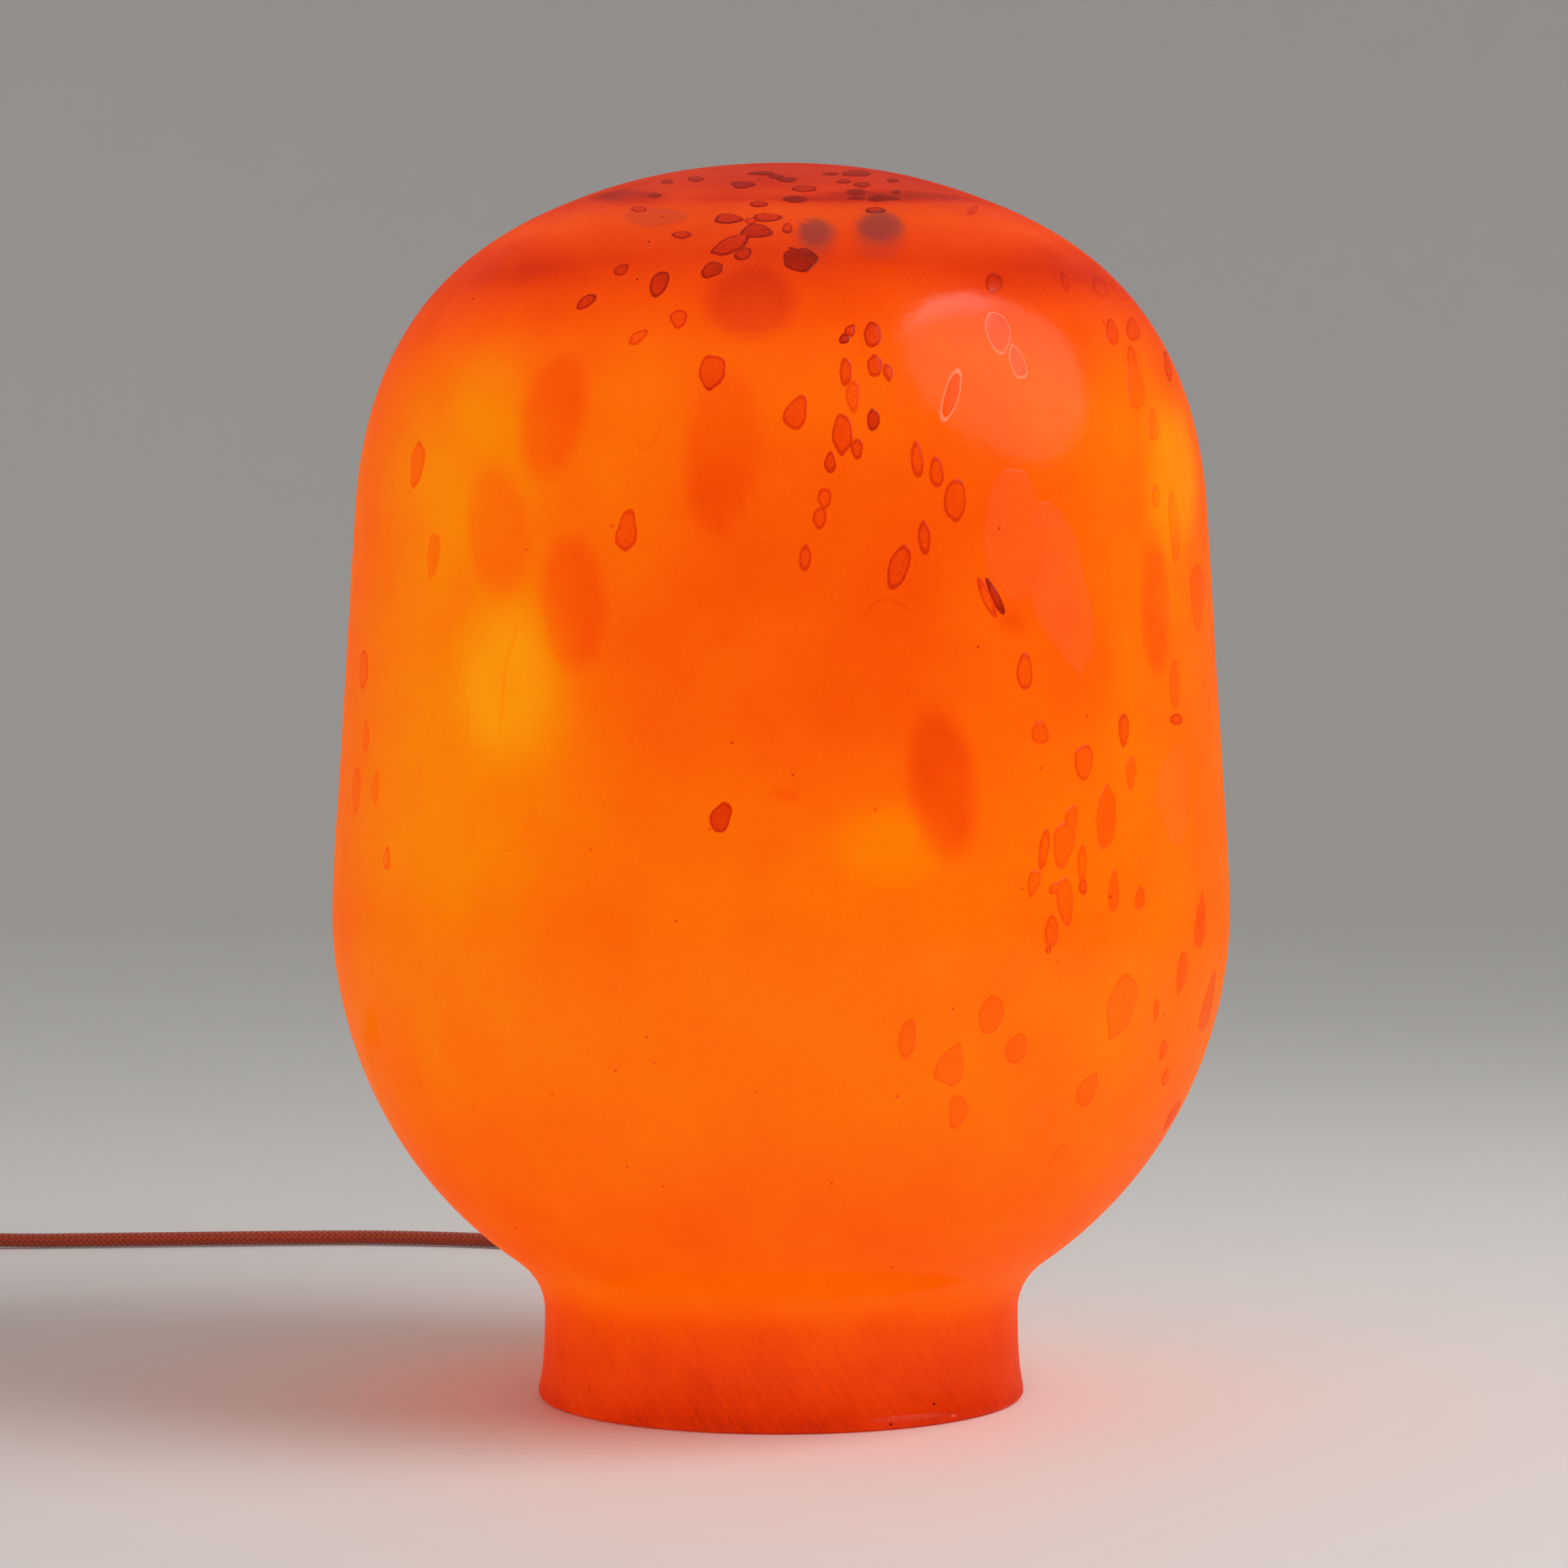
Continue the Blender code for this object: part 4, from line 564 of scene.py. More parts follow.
class Finish(Enum):
    """Every finish of the lamp, and that of the floor, which has no slot."""

    GLASS = LitGlass("lit_orange_glass", "orange_glass")
    WHITE = Moulded("white_moulding", "white_plastic", screen(232, 230, 224), cloud=0.05)
    CERAMIC = Moulded("glazed_ceramic", "white_ceramic", screen(238, 236, 230), (0.15, 0.24), coat=0.3)
    RUBBER = Moulded("black_rubber", "black_rubber", screen(34, 33, 33), (0.62, 0.80), 2600, 0.00010)
    SILICONE = Moulded(
        "clear_silicone", "clear_silicone", screen(226, 224, 216), (0.30, 0.45), 1200, 0.00004,
        see_through=0.35,
    )
    DARK = Moulded("dark_moulding", "dark_plastic", screen(42, 38, 36), (0.36, 0.50), 2200, 0.00008)
    INSULATOR = Moulded("black_glaze", "black_insulator", screen(26, 26, 30), (0.10, 0.20), coat=0.4)
    BOARD = Moulded("green_board", "green_board", screen(38, 104, 62), (0.30, 0.45), 900, 0.00006, 0.2)
    BROWN = Moulded("brown_core", "brown_core", screen(104, 66, 44), (0.35, 0.50))
    BLUE = Moulded("blue_core", "blue_core", screen(52, 88, 160), (0.35, 0.50))
    STEEL = Metal("brushed_steel", "steel", screen(168, 169, 172), screen(120, 116, 110))
    ZINC = Metal("zinc_plate", "zinc_screw", screen(196, 196, 190), screen(150, 146, 128))
    BRASS = Metal("brass", "brass", screen(206, 170, 100), screen(140, 98, 52))
    NICKEL = Metal("nickel", "nickel", screen(206, 202, 194), screen(150, 142, 128), (0.15, 0.30))
    ALUMINIUM = Metal("aluminium", "aluminium", screen(206, 208, 210), screen(168, 168, 166))
    OPAL = Opal("opal_globe", "opal_plastic")
    TEXTILE = Braid(
        "rust_braid", "rust_textile", screen(178, 60, 26), screen(80, 22, 10), screen(206, 90, 48)
    )
    STRAP = Braid(
        "strap_weave", "black_strap", screen(46, 45, 46), screen(16, 16, 17), screen(74, 72, 72),
        10.0, 0.010, 0.0002,
    )
    FLOOR = PaleFloor("pale_floor", "")


# Mesh tools


class Shape:
    """A mesh in the making: points and faces, with ways to add turned, swept and flat forms."""

    def __init__(self) -> None:
        """Starts with nothing."""
        self.points: list[Triple] = []
        self.faces: list[tuple[int, ...]] = []
        self.layout: list[Pair] = []
        self.drops: list[Triple] = []

    def add(self, points: Sequence[Triple], faces: Sequence[Sequence[int]]) -> "Shape":
        """Adds points, and faces that count from the first of them.

        Args:
            points: The new points.
            faces: Faces as numbers of the new points.

        Returns:
            The shape itself.
        """
        start = len(self.points)
        self.points.extend(tuple(float(part) for part in point) for point in points)
        self.faces.extend(tuple(start + number for number in face) for face in faces)
        return self

    def turn(
        self, outline: Sequence[Pair], sides: int, closed: bool = False, place: Matrix | None = None
    ) -> "Shape":
        """Adds a shape turned about Z.

        Args:
            outline: (radius, height) points that run down its outer side.
            sides: Points round the axis.
            closed: Whether the outline's end joins its start.
            place: Where the shape goes, or none to leave it upright at the origin.

        Returns:
            The shape itself.
        """
        rings: list[list[int]] = []
        points: list[Vector] = []
        for radius, height in outline:
            count = 1 if radius < 1e-7 else sides
            rings.append(list(range(len(points), len(points) + count)))
            for number in range(count):
                angle = FULL_TURN * number / sides
                points.append(Vector((radius * math.cos(angle), radius * math.sin(angle), height)))
        faces = []
        for upper, lower in zip(rings, rings[1:] + (rings[:1] if closed else [])):
            for number in range(sides):
                after = number + 1
                corners = [upper[number % len(upper)], lower[number % len(lower)]]
                corners += [lower[after % len(lower)], upper[after % len(upper)]]
                face = list(dict.fromkeys(corners))
                if len(face) > 2:
                    faces.append(face)
        placed = points if place is None else [place @ point for point in points]
        return self.add([tuple(point) for point in placed], faces)

    def polar(self) -> tuple[np.ndarray, np.ndarray, np.ndarray]:
        """Each point's distance from Z, angle round it and height."""
        x, y, z = np.array(self.points).T
        return np.hypot(x, y), np.arctan2(y, x), z

    def dent(self, depths: np.ndarray) -> None:
        """Moves each point towards Z by its depth."""
        keeps = 1.0 - depths / self.polar()[0]
        self.points = [(x * keep, y * keep, z) for (x, y, z), keep in zip(self.points, keeps)]

    def skin(
        self, rings: np.ndarray, across: Sequence[float] = (), along: Sequence[float] = (),
        closed: bool = False,
    ) -> "Shape":
        """Adds a skin over rings of points, with flat ends where it isn't closed.

        Args:
            rings: Points by ring and number.
            across: The layout's value at each point of a ring, and again at its first, or none.
            along: The layout's value at each ring, and again at the first where it is closed.
            closed: Whether the last ring joins the first.

        Returns:
            The shape itself.
        """
        count, sides = rings.shape[:2]
        faces: list[list[int]] = []
        for row in range(count if closed else count - 1):
            near, far = row * sides, (row + 1) % count * sides
            for number in range(sides):
                after = (number + 1) % sides
                faces.append([near + number, near + after, far + after, far + number])
            for first, last in zip(across, across[1:]):
                self.layout += [(first, along[row]), (last, along[row])]
                self.layout += [(last, along[row + 1]), (first, along[row + 1])]
        if not closed:
            faces += [list(range(sides))[::-1], list(range((count - 1) * sides, count * sides))]
            self.layout += [(0.5, end) for end in along[:: count - 1] for _ in range(sides)]
        return self.add(rings.reshape(-1, 3), faces)

    def sweep(self, path: np.ndarray, sides: int, radius: Girth) -> "Shape":
        """Adds a round tube along a path, with closed ends and a layout of girth and length.

        Args:
            path: Points along its middle.
            sides: Points round it.
            radius: Radius for arrays of length along and angle round.

        Returns:
            The shape itself.
        """
        along = lengths_along(path)
        ways = unit_rows(np.gradient(path, axis=0))
        side = np.cross(ways[0], (0.0, 0.0, 1.0))
        side /= np.linalg.norm(side)
        frames = []
        for way in ways:
            side = side - way * side.dot(way)
            side /= np.linalg.norm(side)
            frames.append((side, np.cross(way, side)))
        across, upward = np.array(frames).transpose(1, 0, 2)[:, :, None, :]
        angles = np.linspace(0.0, FULL_TURN, sides, endpoint=False)
        far = radius(*np.meshgrid(along, angles, indexing="ij"))
        ring = np.cos(angles)[None, :, None] * across + np.sin(angles)[None, :, None] * upward
        rings = path[:, None, :] + far[:, :, None] * ring
        return self.skin(rings, [number / sides for number in range(sides + 1)], along)

    def plate(
        self, loops: Sequence[Sequence[Pair]], thickness: float, rounding: float, place: Matrix
    ) -> "Shape":
        """Adds a flat outline with thickness and round edges, with holes for the loops after the first.

        Args:
            loops: The outline, then any holes, as (x, y) points.
            thickness: Its thickness, about its own plane.
            rounding: Radius of its edges.
            place: Where it goes.

        Returns:
            The shape itself.
        """
        curve = bpy.data.curves.new("outline", "CURVE")
        curve.dimensions = "2D"
        curve.fill_mode = "BOTH"
        curve.extrude = thickness / 2 - rounding
        curve.bevel_depth = rounding
        curve.bevel_resolution = 3
        curve.offset = -rounding
        for loop in loops:
            spline = curve.splines.new("POLY")
            spline.points.add(len(loop) - 1)
            spline.use_cyclic_u = True
            for target, (x, y) in zip(spline.points, loop):
                target.co = (x, y, 0.0, 1.0)
        guide = put("outline", curve)
        bpy.context.view_layer.update()
        graph = bpy.context.evaluated_depsgraph_get()
        made = bpy.data.meshes.new_from_object(guide.evaluated_get(graph))
        bpy.data.objects.remove(guide, do_unlink=True)
        bpy.data.curves.remove(curve)
        flat = bmesh.new()
        flat.from_mesh(made)
        bpy.data.meshes.remove(made)
        bmesh.ops.remove_doubles(flat, verts=flat.verts, dist=1e-6)
        bmesh.ops.recalc_face_normals(flat, faces=flat.faces)
        flat.verts.index_update()
        points = [tuple(place @ vertex.co) for vertex in flat.verts]
        self.add(points, [[vertex.index for vertex in face.verts] for face in flat.faces])
        flat.free()
        return self

    def mesh(self, name: str, sharp: float = 38.0) -> Mesh:
        """Makes the mesh, smooth between edges sharper than an angle.

        Args:
            name: The mesh's name.
            sharp: That angle in degrees.

        Returns:
            The mesh.
        """
        mesh = bpy.data.meshes.new(name)
        mesh.from_pydata(self.points, [], self.faces)
        if self.layout:
            layer = mesh.uv_layers.new(name=LAYOUT_LAYER)
            layer.data.foreach_set("uv", np.array(self.layout, np.float32).ravel())
        mesh.shade_smooth()
        mesh.set_sharp_from_angle(angle=math.radians(sharp))
        return mesh

    def settle(
        self, name: str, finish: Finish, *nodes: str, body: Body = Body.BASE, sharp: float = 38.0
    ) -> Piece:
        """Makes the mesh and settles it as a piece of the lamp."""
        return settle(name, self.mesh(name, sharp), finish, *nodes, body=body)


def put(name: str, data: bpy.types.ID) -> Piece:
    """Puts a new object in the scene.

    Args:
        name: Its name.
        data: Its mesh, curve, camera or lamp.

    Returns:
        The object.
    """
    made = bpy.data.objects.new(name, data)
    bpy.context.scene.collection.objects.link(made)
    return made


def cut_away(name: str, blank: Mesh, cutters: Sequence[Shape]) -> Mesh:
    """Cuts shapes out of a mesh.

    Args:
        name: The new mesh's name.
        blank: The mesh that is cut.
        cutters: The shapes that are cut out of it.

    Returns:
        The cut mesh, with no finish.
    """
    helpers = [put(blank.name, blank)]
    for cutter in cutters:
        helpers.append(put(f"{name}_cutter", cutter.mesh(f"{name}_cutter")))
        cut = helpers[0].modifiers.new("cut", "BOOLEAN")
        cut.object = helpers[-1]
        cut.solver = "EXACT"
    graph = bpy.context.evaluated_depsgraph_get()
    mesh = bpy.data.meshes.new_from_object(helpers[0].evaluated_get(graph))
    mesh.name = name
    mesh.materials.clear()
    for helper in helpers:
        bpy.data.objects.remove(helper, do_unlink=True)
    return mesh


def arc(centre: Pair, radius: float, start: float, end: float, steps: int = 6) -> list[Pair]:
    """Points of a circular arc between two angles in degrees, both ends included."""
    angles = [math.radians(start + (end - start) * number / steps) for number in range(steps + 1)]
    return [(centre[0] + radius * math.cos(a), centre[1] + radius * math.sin(a)) for a in angles]


def block(half_x: float, half_y: float) -> list[Pair]:
    """The corners of a rectangle by its half sizes."""
    return [(-half_x, -half_y), (half_x, -half_y), (half_x, half_y), (-half_x, half_y)]


def points_of(mesh: Mesh) -> np.ndarray:
    """The points of a mesh.

    Args:
        mesh: The mesh.

    Returns:
        One row for each.
    """
    flat = np.empty(len(mesh.vertices) * 3, np.float32)
    mesh.vertices.foreach_get("co", flat)
    return flat.reshape(-1, 3)


def settle(
    name: str, mesh: Mesh, finish: Finish, *nodes: str, body: Body = Body.BASE
) -> Piece:
    """Puts a finished mesh on its body as a piece of the lamp.

    Args:
        name: The piece's name.
        mesh: Its mesh, in the frame's own place.
        finish: Its finish.
        nodes: The frame's nodes that it stands for.
        body: The body it rides on.

    Returns:
        The piece.
    """
    if not mesh.materials:
        mesh.materials.append(finish.value.material)
    piece = put(name, mesh)
    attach(piece, body.value)
    if nodes:
        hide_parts(*nodes)
    LOG.info("%s: %d faces on %s", name, len(mesh.polygons), body.value)
    return piece


def dress(finish: Finish, *nodes: str) -> None:
    """Gives the frame's own nodes a finish.

    Args:
        finish: The finish.
        nodes: The nodes' names.
    """
    for name in nodes:
        node = frame["nodes"][name]
        if not node.material_slots:
            node.data.materials.append(finish.value.material)
        for slot in node.material_slots:
            slot.material = finish.value.material
        LOG.info("%s: carried over with %s", name, finish.value.name)


# Camera


@dataclass(frozen=True)
class PhotoCamera:
    """The camera at the photo's own place: level, looking along +Y."""

    place: Triple = (0.0009, -1.115, 0.1836)
    lens_mm: float = 84.67
    sensor_mm: float = 36.0
    frame_pixels: float = 1932.0
    clip: Pair = (0.05, 60.0)

    @property
    def focal(self) -> float:
        """The focal length in the photo's pixels."""
        return self.lens_mm / self.sensor_mm * self.frame_pixels

    @property
    def middle(self) -> float:
        """The photo's middle column and row."""
        return self.frame_pixels / 2

    def ray(self, x: float, y: float) -> np.ndarray:
        """The way, 1 long, from the camera through a pixel of the photo."""
        way = np.array(((x - self.middle) / self.focal, 1.0, (self.middle - y) / self.focal))
        return way / np.linalg.norm(way)

    def make(self) -> None:
        """Adds the camera to the scene and uses it."""
        data = bpy.data.cameras.new("photo_camera")
        data.lens = self.lens_mm
        data.sensor_width = self.sensor_mm
        data.clip_start, data.clip_end = self.clip
        camera = put("photo_camera", data)
        camera.location = self.place
        camera.rotation_euler = (QUARTER_TURN, 0.0, 0.0)
        bpy.context.scene.camera = camera


# Glass


@dataclass(frozen=True)
class Station:
    """Where the outer curve passes, how it falls in degrees, and its handles as shares of each span."""

    radius: float
    height: float
    fall: float
    arrive: float
    leave: float

    @property
    def point(self) -> np.ndarray:
        """The station as (radius, height)."""
        return np.array((self.radius, self.height))

    @property
    def way(self) -> np.ndarray:
        """The way down the curve, 1 long."""
        fall = math.radians(self.fall)
        return np.array((math.cos(fall), -math.sin(fall)))


@dataclass(frozen=True)
class Patch:
    """A soft zone of the glass, by the photo's pixels: middle, half sizes, and changes of glow and of the
    signed pink-and-ink share.
    """

    x: float
    y: float
    wide: float
    tall: float
    glow: float = 0.0
    veil: float = 0.0
    lean: float = 0.0
    soft: float = 0.75


@dataclass(frozen=True)
class Spot:
    """A place on the glass: angle from the front, length down the curve, and the point with its ways."""

    angle: float
    down: float
    point: np.ndarray
    around: np.ndarray
    slope: np.ndarray


@dataclass(frozen=True)
class Zone:
    """A soft oval on the glass's own surface, and the matrix that turns it into a circle of radius 1."""

    spot: Spot
    shrink: np.ndarray
    soft: float
    glow: float
    veil: float


@dataclass
class GlassShade:
    """The blown shade with its foot: its curve, its fine surface and the way it glows."""

    camera: PhotoCamera
    height: float = 0.3681
    wall: float = 0.004
    rim_round: float = 0.0012
    neck_radius: float = 0.0715
    neck_height: float = 0.0253
    rim_flare: float = 0.0016
    foot_height: float = 0.037
    foot_fade: float = 0.008
    dent: float = 0.00035
    dent_scale: float = 21.0
    even_rim: float = 0.004
    even_top: float = 0.02
    reach: Pair = (0.9, 1.25)
    sight_steps: int = 7001
    over_crown: float = -0.02
    curve_steps: int = 400
    least_seen: float = 0.17
    notch_radius: float = 0.0053
    notch_height: float = 0.012
    notch_below: float = 0.01
    notch_edge: float = 0.0001
    sides: int = 300
    outer_steps: tuple[int, ...] = (34, 40, 52, 44, 18, 12)
    inner_steps: tuple[int, ...] = (8, 12, 14, 14, 8, 5)
    inside_glow: float = 126.0
    inside_fade: Pair = (0.002, 0.030)
    least_glow: float = 0.24
    most_tint_and_sheen: float = 0.9
    # Painted sheen: a faint pale pink over the top of the crown, fading out between the two lengths down the
    # curve in crown_edge.
    crown_painted_sheen: float = 0.02
    crown_edge: Pair = (0.070, 0.090)
    rear_seed: int = 11
    rear_count: int = 30
    rear_angles: Pair = (100.0, 260.0)
    rear_downs: Pair = (0.11, 0.33)
    rear_length: Pair = (1.7, 2.2)
    rear_veil: float = 0.10
    oval_width: Pair = (0.008, 0.012)
    oval_glow: Pair = (-22.0, -10.0)
    oval_soft: float = 0.30
    cloud_width: Pair = (0.025, 0.055)
    cloud_glow: Pair = (-14.0, 34.0)
    cloud_soft: float = 0.9
    # The glass's glow is the bulb's light painted in; its fall near the foot is painted shade of the base
    # inside.
    glow_rows: tuple[Pair, ...] = (
        (206, 46), (225, 50), (262, 77), (314, 57), (366, 76), (418, 90), (470, 97), (522, 101),
        (626, 101), (730, 103), (834, 104), (990, 106), (1094, 107), (1146, 104), (1250, 110), (1354, 106),
        (1458, 98), (1510, 92), (1562, 91), (1605, 95), (1614, 93), (1624, 88), (1636, 80), (1645, 74),
        (1668, 68), (1690, 60), (1718, 55), (1744, 49), (1757, 44),
    )  # rows of the photo, and the glow down the middle of the front

    def __post_init__(self) -> None:
        """Works out the curve and the zones."""
        self.box = np.array(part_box("glass_shade"))
        self.rim = self.neck_radius + self.rim_flare
        self.stations = (
            Station(0.0, self.height, 0.0, 0.0, 0.438),
            Station(0.0725, self.height - 0.0147, 24.9, 0.344, 0.341),
            Station(0.1282, self.height - 0.1035, 86.7, 0.450, 0.865),
            Station(0.1348, 0.1437, 90.0, 0.122, 0.240),
            Station(self.neck_radius + 0.0092, self.neck_height + 0.0163, 144.6, 0.443, 0.428),
            Station(self.neck_radius, self.neck_height, 90.0, 0.326, 0.800),
            Station(self.rim, self.rim_round, 90.0, 0.158, 0.0),
        )
        self.line = np.array(self.curve((self.curve_steps,) * 6, 0.0))
        self.down = lengths_along(self.line)
        self.slopes = unit_rows(np.gradient(self.line, axis=0))
        self.finder = kdtree.KDTree(len(self.line))
        for number, (radius, height) in enumerate(self.line):
            self.finder.insert((radius, 0.0, height), number)
        self.finder.balance()
        rows = [(self.spot_at(self.camera.middle, row).down, glow) for row, glow in self.glow_rows]
        self.row_down, self.row_glow = np.array(rows).T
        self.zones = [self.zone_of(patch) for patch in FRONT_PATCHES] + self.rear_zones()

    def curve(self, steps_per_span: Sequence[int], inset: float) -> list[Pair]:
        """Points down the outer curve, moved inwards.

        Args:
            steps_per_span: Stretches between each two stations.
            inset: How far inwards.

        Returns:
            (radius, height) points.
        """
        found: list[Pair] = []
        for first, last, steps in zip(self.stations, self.stations[1:], steps_per_span):
            start, end = first.point, last.point
            chord = np.linalg.norm(end - start)
            leave = start + first.way * first.leave * chord
            arrive = end - last.way * last.arrive * chord
            for share in np.linspace(0.0, 1.0, steps + 1)[(1 if found else 0):]:
                rest = 1.0 - share
                point = rest**3 * start + 3 * rest**2 * share * leave
                point = point + 3 * rest * share**2 * arrive + share**3 * end
                slope = rest**2 * (leave - start) + 2 * rest * share * (arrive - leave)
                slope = slope + share**2 * (end - arrive)
                slope = slope / np.linalg.norm(slope)
                moved = point + inset * np.array((slope[1], -slope[0]))
                found.append((max(0.0, float(moved[0])), float(moved[1])))
        return found

    def nearest(self, points: np.ndarray) -> tuple[np.ndarray, np.ndarray]:
        """Finds the points of the fine curve that lie nearest.

        Args:
            points: Points anywhere.

        Returns:
            The number of the nearest for each, and how far it is.
        """
        radii = np.hypot(points[:, 0], points[:, 1])
        found = [self.finder.find((radius, 0.0, height)) for radius, height in zip(radii, points[:, 2])]
        return np.array([item[1] for item in found]), np.array([item[2] for item in found])

    def spot_at(self, x: float, y: float) -> Spot:
        """Where the sight line through a pixel of the photo first meets the glass, or passes nearest to it.

        Args:
            x: The pixel's column.
            y: The pixel's row.

        Returns:
            The spot.
        """
        reach = np.linspace(*self.reach, self.sight_steps)
        points = np.array(self.camera.place) + reach[:, None] * self.camera.ray(x, y)
        radii = np.hypot(points[:, 0], points[:, 1])
        widths, heights = self.line[::-1].T
        room = radii - np.interp(points[:, 2], heights, widths, right=self.over_crown)
        inside = np.nonzero(room < 0.0)[0]
        first = inside[0] if len(inside) else int(np.argmin(room))
        point = points[first]
        return self.spot(math.atan2(point[0], -point[1]), self.down[self.nearest(point[None])[0][0]])

    def spot(self, angle: float, down: float) -> Spot:
        """The spot at an angle from the front and a length down the curve.

        Args:
            angle: Angle from the front, growing to the right.
            down: Length from the top of the crown.

        Returns:
            The spot.
        """
        radius, height = (np.interp(down, self.down, self.line[:, part]) for part in (0, 1))
        fall = [np.interp(down, self.down, self.slopes[:, part]) for part in (0, 1)]
        out = np.array((math.sin(angle), -math.cos(angle), 0.0))
        around = np.array((math.cos(angle), math.sin(angle), 0.0))
        slope = out * fall[0] + np.array((0.0, 0.0, fall[1]))
        return Spot(angle, float(down), out * radius + np.array((0.0, 0.0, height)), around, slope)

    def laid(self, spot: Spot) -> np.ndarray:
        """How a small step in the photo, in pixels right and down, goes over the surface at a spot.

        Args:
            spot: The spot.

        Returns:
            A matrix that turns the step into metres round the glass and down it.
        """
        sight = spot.point - np.array(self.camera.place)
        pixels = self.camera.focal / sight[1]
        steps = []
        for way in (spot.around, spot.slope):
            right = pixels * (way[0] - way[1] * sight[0] / sight[1])
            down = -pixels * (way[2] - way[1] * sight[2] / sight[1])
            steps.append((right, down))
        left, sizes, right = np.linalg.svd(np.array(steps).T)
        sizes = np.maximum(sizes, self.least_seen * pixels)
        return right.T @ np.diag(1.0 / sizes) @ left.T

    def zone_of(self, patch: Patch) -> Zone:
        """Lays a patch of the photo on the glass.

        Args:
            patch: The patch.

        Returns:
            Its zone.
        """
        spot = self.spot_at(patch.x, patch.y)
        spread = self.laid(spot) @ lean_axes(patch.lean) @ np.diag((patch.wide, patch.tall))
        return Zone(spot, np.linalg.inv(spread), patch.soft, patch.glow, patch.veil)

    def rear_zones(self) -> list[Zone]:
        """Makes zones for the side that the photo doesn't show, in the manner of those that it does.

        Returns:
            The zones.
        """
        draw = random.Random(self.rear_seed)
        zones = []
        for number in range(self.rear_count):
            angle = math.radians(draw.uniform(*self.rear_angles))
            spot = self.spot(angle, draw.uniform(*self.rear_downs))
            oval = number % 3
            wide = draw.uniform(*(self.oval_width if oval else self.cloud_width))
            tall = wide * draw.uniform(*self.rear_length)
            glow = draw.uniform(*(self.oval_glow if oval else self.cloud_glow))
            veil = 0.0 if number % 7 else self.rear_veil
            soft = self.oval_soft if oval else self.cloud_soft
            zones.append(Zone(spot, np.diag((1.0 / wide, 1.0 / tall)), soft, glow, veil))
        return zones

    def light(self, angles: np.ndarray, downs: np.ndarray) -> tuple[np.ndarray, np.ndarray]:
        """How the glass glows, and how far its colour turns towards pale pink or ink.

        Args:
            angles: Angles from the front.
            downs: Lengths down the curve.

        Returns:
            Glow from 0 to 1, and a signed share: above 0 towards pale pink, which on the crown is painted
                sheen, and below 0 towards the ink.
        """
        glow = np.interp(downs, self.row_down, self.row_glow)
        # The crown's painted sheen.
        veil = self.crown_painted_sheen * smooth_step(np.interp(downs, self.crown_edge, (1.0, 0.0)))
        radii = np.interp(downs, self.down, self.line[:, 0])
        for zone in self.zones:
            turn = (angles - zone.spot.angle + math.pi) % FULL_TURN - math.pi
            right = turn * np.maximum(radii, 0.01)
            far = np.linalg.norm(zone.shrink @ np.stack((right, downs - zone.spot.down)), axis=0)
            share = smooth_step((1.0 + zone.soft / 2 - far) / zone.soft)
            glow = glow + zone.glow * share
            veil = veil + zone.veil * share
        glow = np.clip(glow / LitGlass.full_glow, self.least_glow, 1.0)
        return glow, np.clip(veil, -self.most_tint_and_sheen, self.most_tint_and_sheen)

    def sink(self, points: np.ndarray) -> np.ndarray:
        """How far the hand-blown surface lies under its even curve, from 0 to the full dent.

        Args:
            points: Points on the surface.

        Returns:
            One length for each.
        """
        waves = [noise.noise(Vector(point) * self.dent_scale) for point in points]
        fade = smooth_step((points[:, 2] - self.rim_round) / self.even_rim)
        fade = fade * smooth_step(np.hypot(points[:, 0], points[:, 1]) / self.even_top)
        return self.dent * np.clip(0.5 + 0.5 * np.array(waves), 0.0, 1.0) * fade

    def paint(self, mesh: Mesh, glow: np.ndarray, veil: np.ndarray, stipple: np.ndarray) -> None:
        """Stores on a mesh what the glass finish reads.

        Args:
            mesh: The mesh.
            glow: Glow of each point.
            veil: The signed share of pale pink and ink at each point.
            stipple: How stippled each point is.
        """
        points = points_of(mesh)
        angles = np.arctan2(points[:, 0], -points[:, 1])
        skin = np.stack((angles * self.neck_radius, points[:, 2], np.zeros(len(points))), axis=1)
        foot = smooth_step((self.foot_height - points[:, 2]) / self.foot_fade)
        for name, values in (("glow", glow), ("veil", veil), ("stipple", stipple), ("foot", foot)):
            layer = mesh.attributes.new(name, "FLOAT", "POINT")
            layer.data.foreach_set("value", np.asarray(values, np.float32))
        layer = mesh.attributes.new("skin", "FLOAT_VECTOR", "POINT")
        layer.data.foreach_set("vector", skin.astype(np.float32).ravel())

    def notch(self) -> Shape:
        """Makes the shape that cuts the cord's notch in the rear of the rim.

        Returns:
            The shape.
        """
        outline = arc((0.0, self.notch_height), self.notch_radius, 0, 180, 20)
        outline += [(side * self.notch_radius, -self.notch_below) for side in (-1, 1)]
        upright = Matrix.Rotation(QUARTER_TURN, 4, "X")
        place = Matrix.Translation((0.0, self.rim - self.wall / 2, 0.0)) @ upright
        return Shape().plate([outline], 6 * self.wall, self.notch_edge, place)

    def build(self) -> None:
        """Makes the shade."""
        bore = self.rim - self.wall
        outline = self.curve(self.outer_steps, 0.0)
        outline += arc((self.rim - self.rim_round, self.rim_round), self.rim_round, 0, -90)[1:]
        outline += arc((bore + self.rim_round, self.rim_round), self.rim_round, -90, -180)[:-1]
        outline += self.curve(self.inner_steps, self.wall)[::-1]
        even = Shape().turn(outline, self.sides).mesh("glass_shade_even")
        mesh = cut_away("glass_shade_blown", even, [self.notch()])
        self.soften(mesh)
        settle("glass_shade_blown", mesh, Finish.GLASS, "glass_shade", body=Body.GLASS)

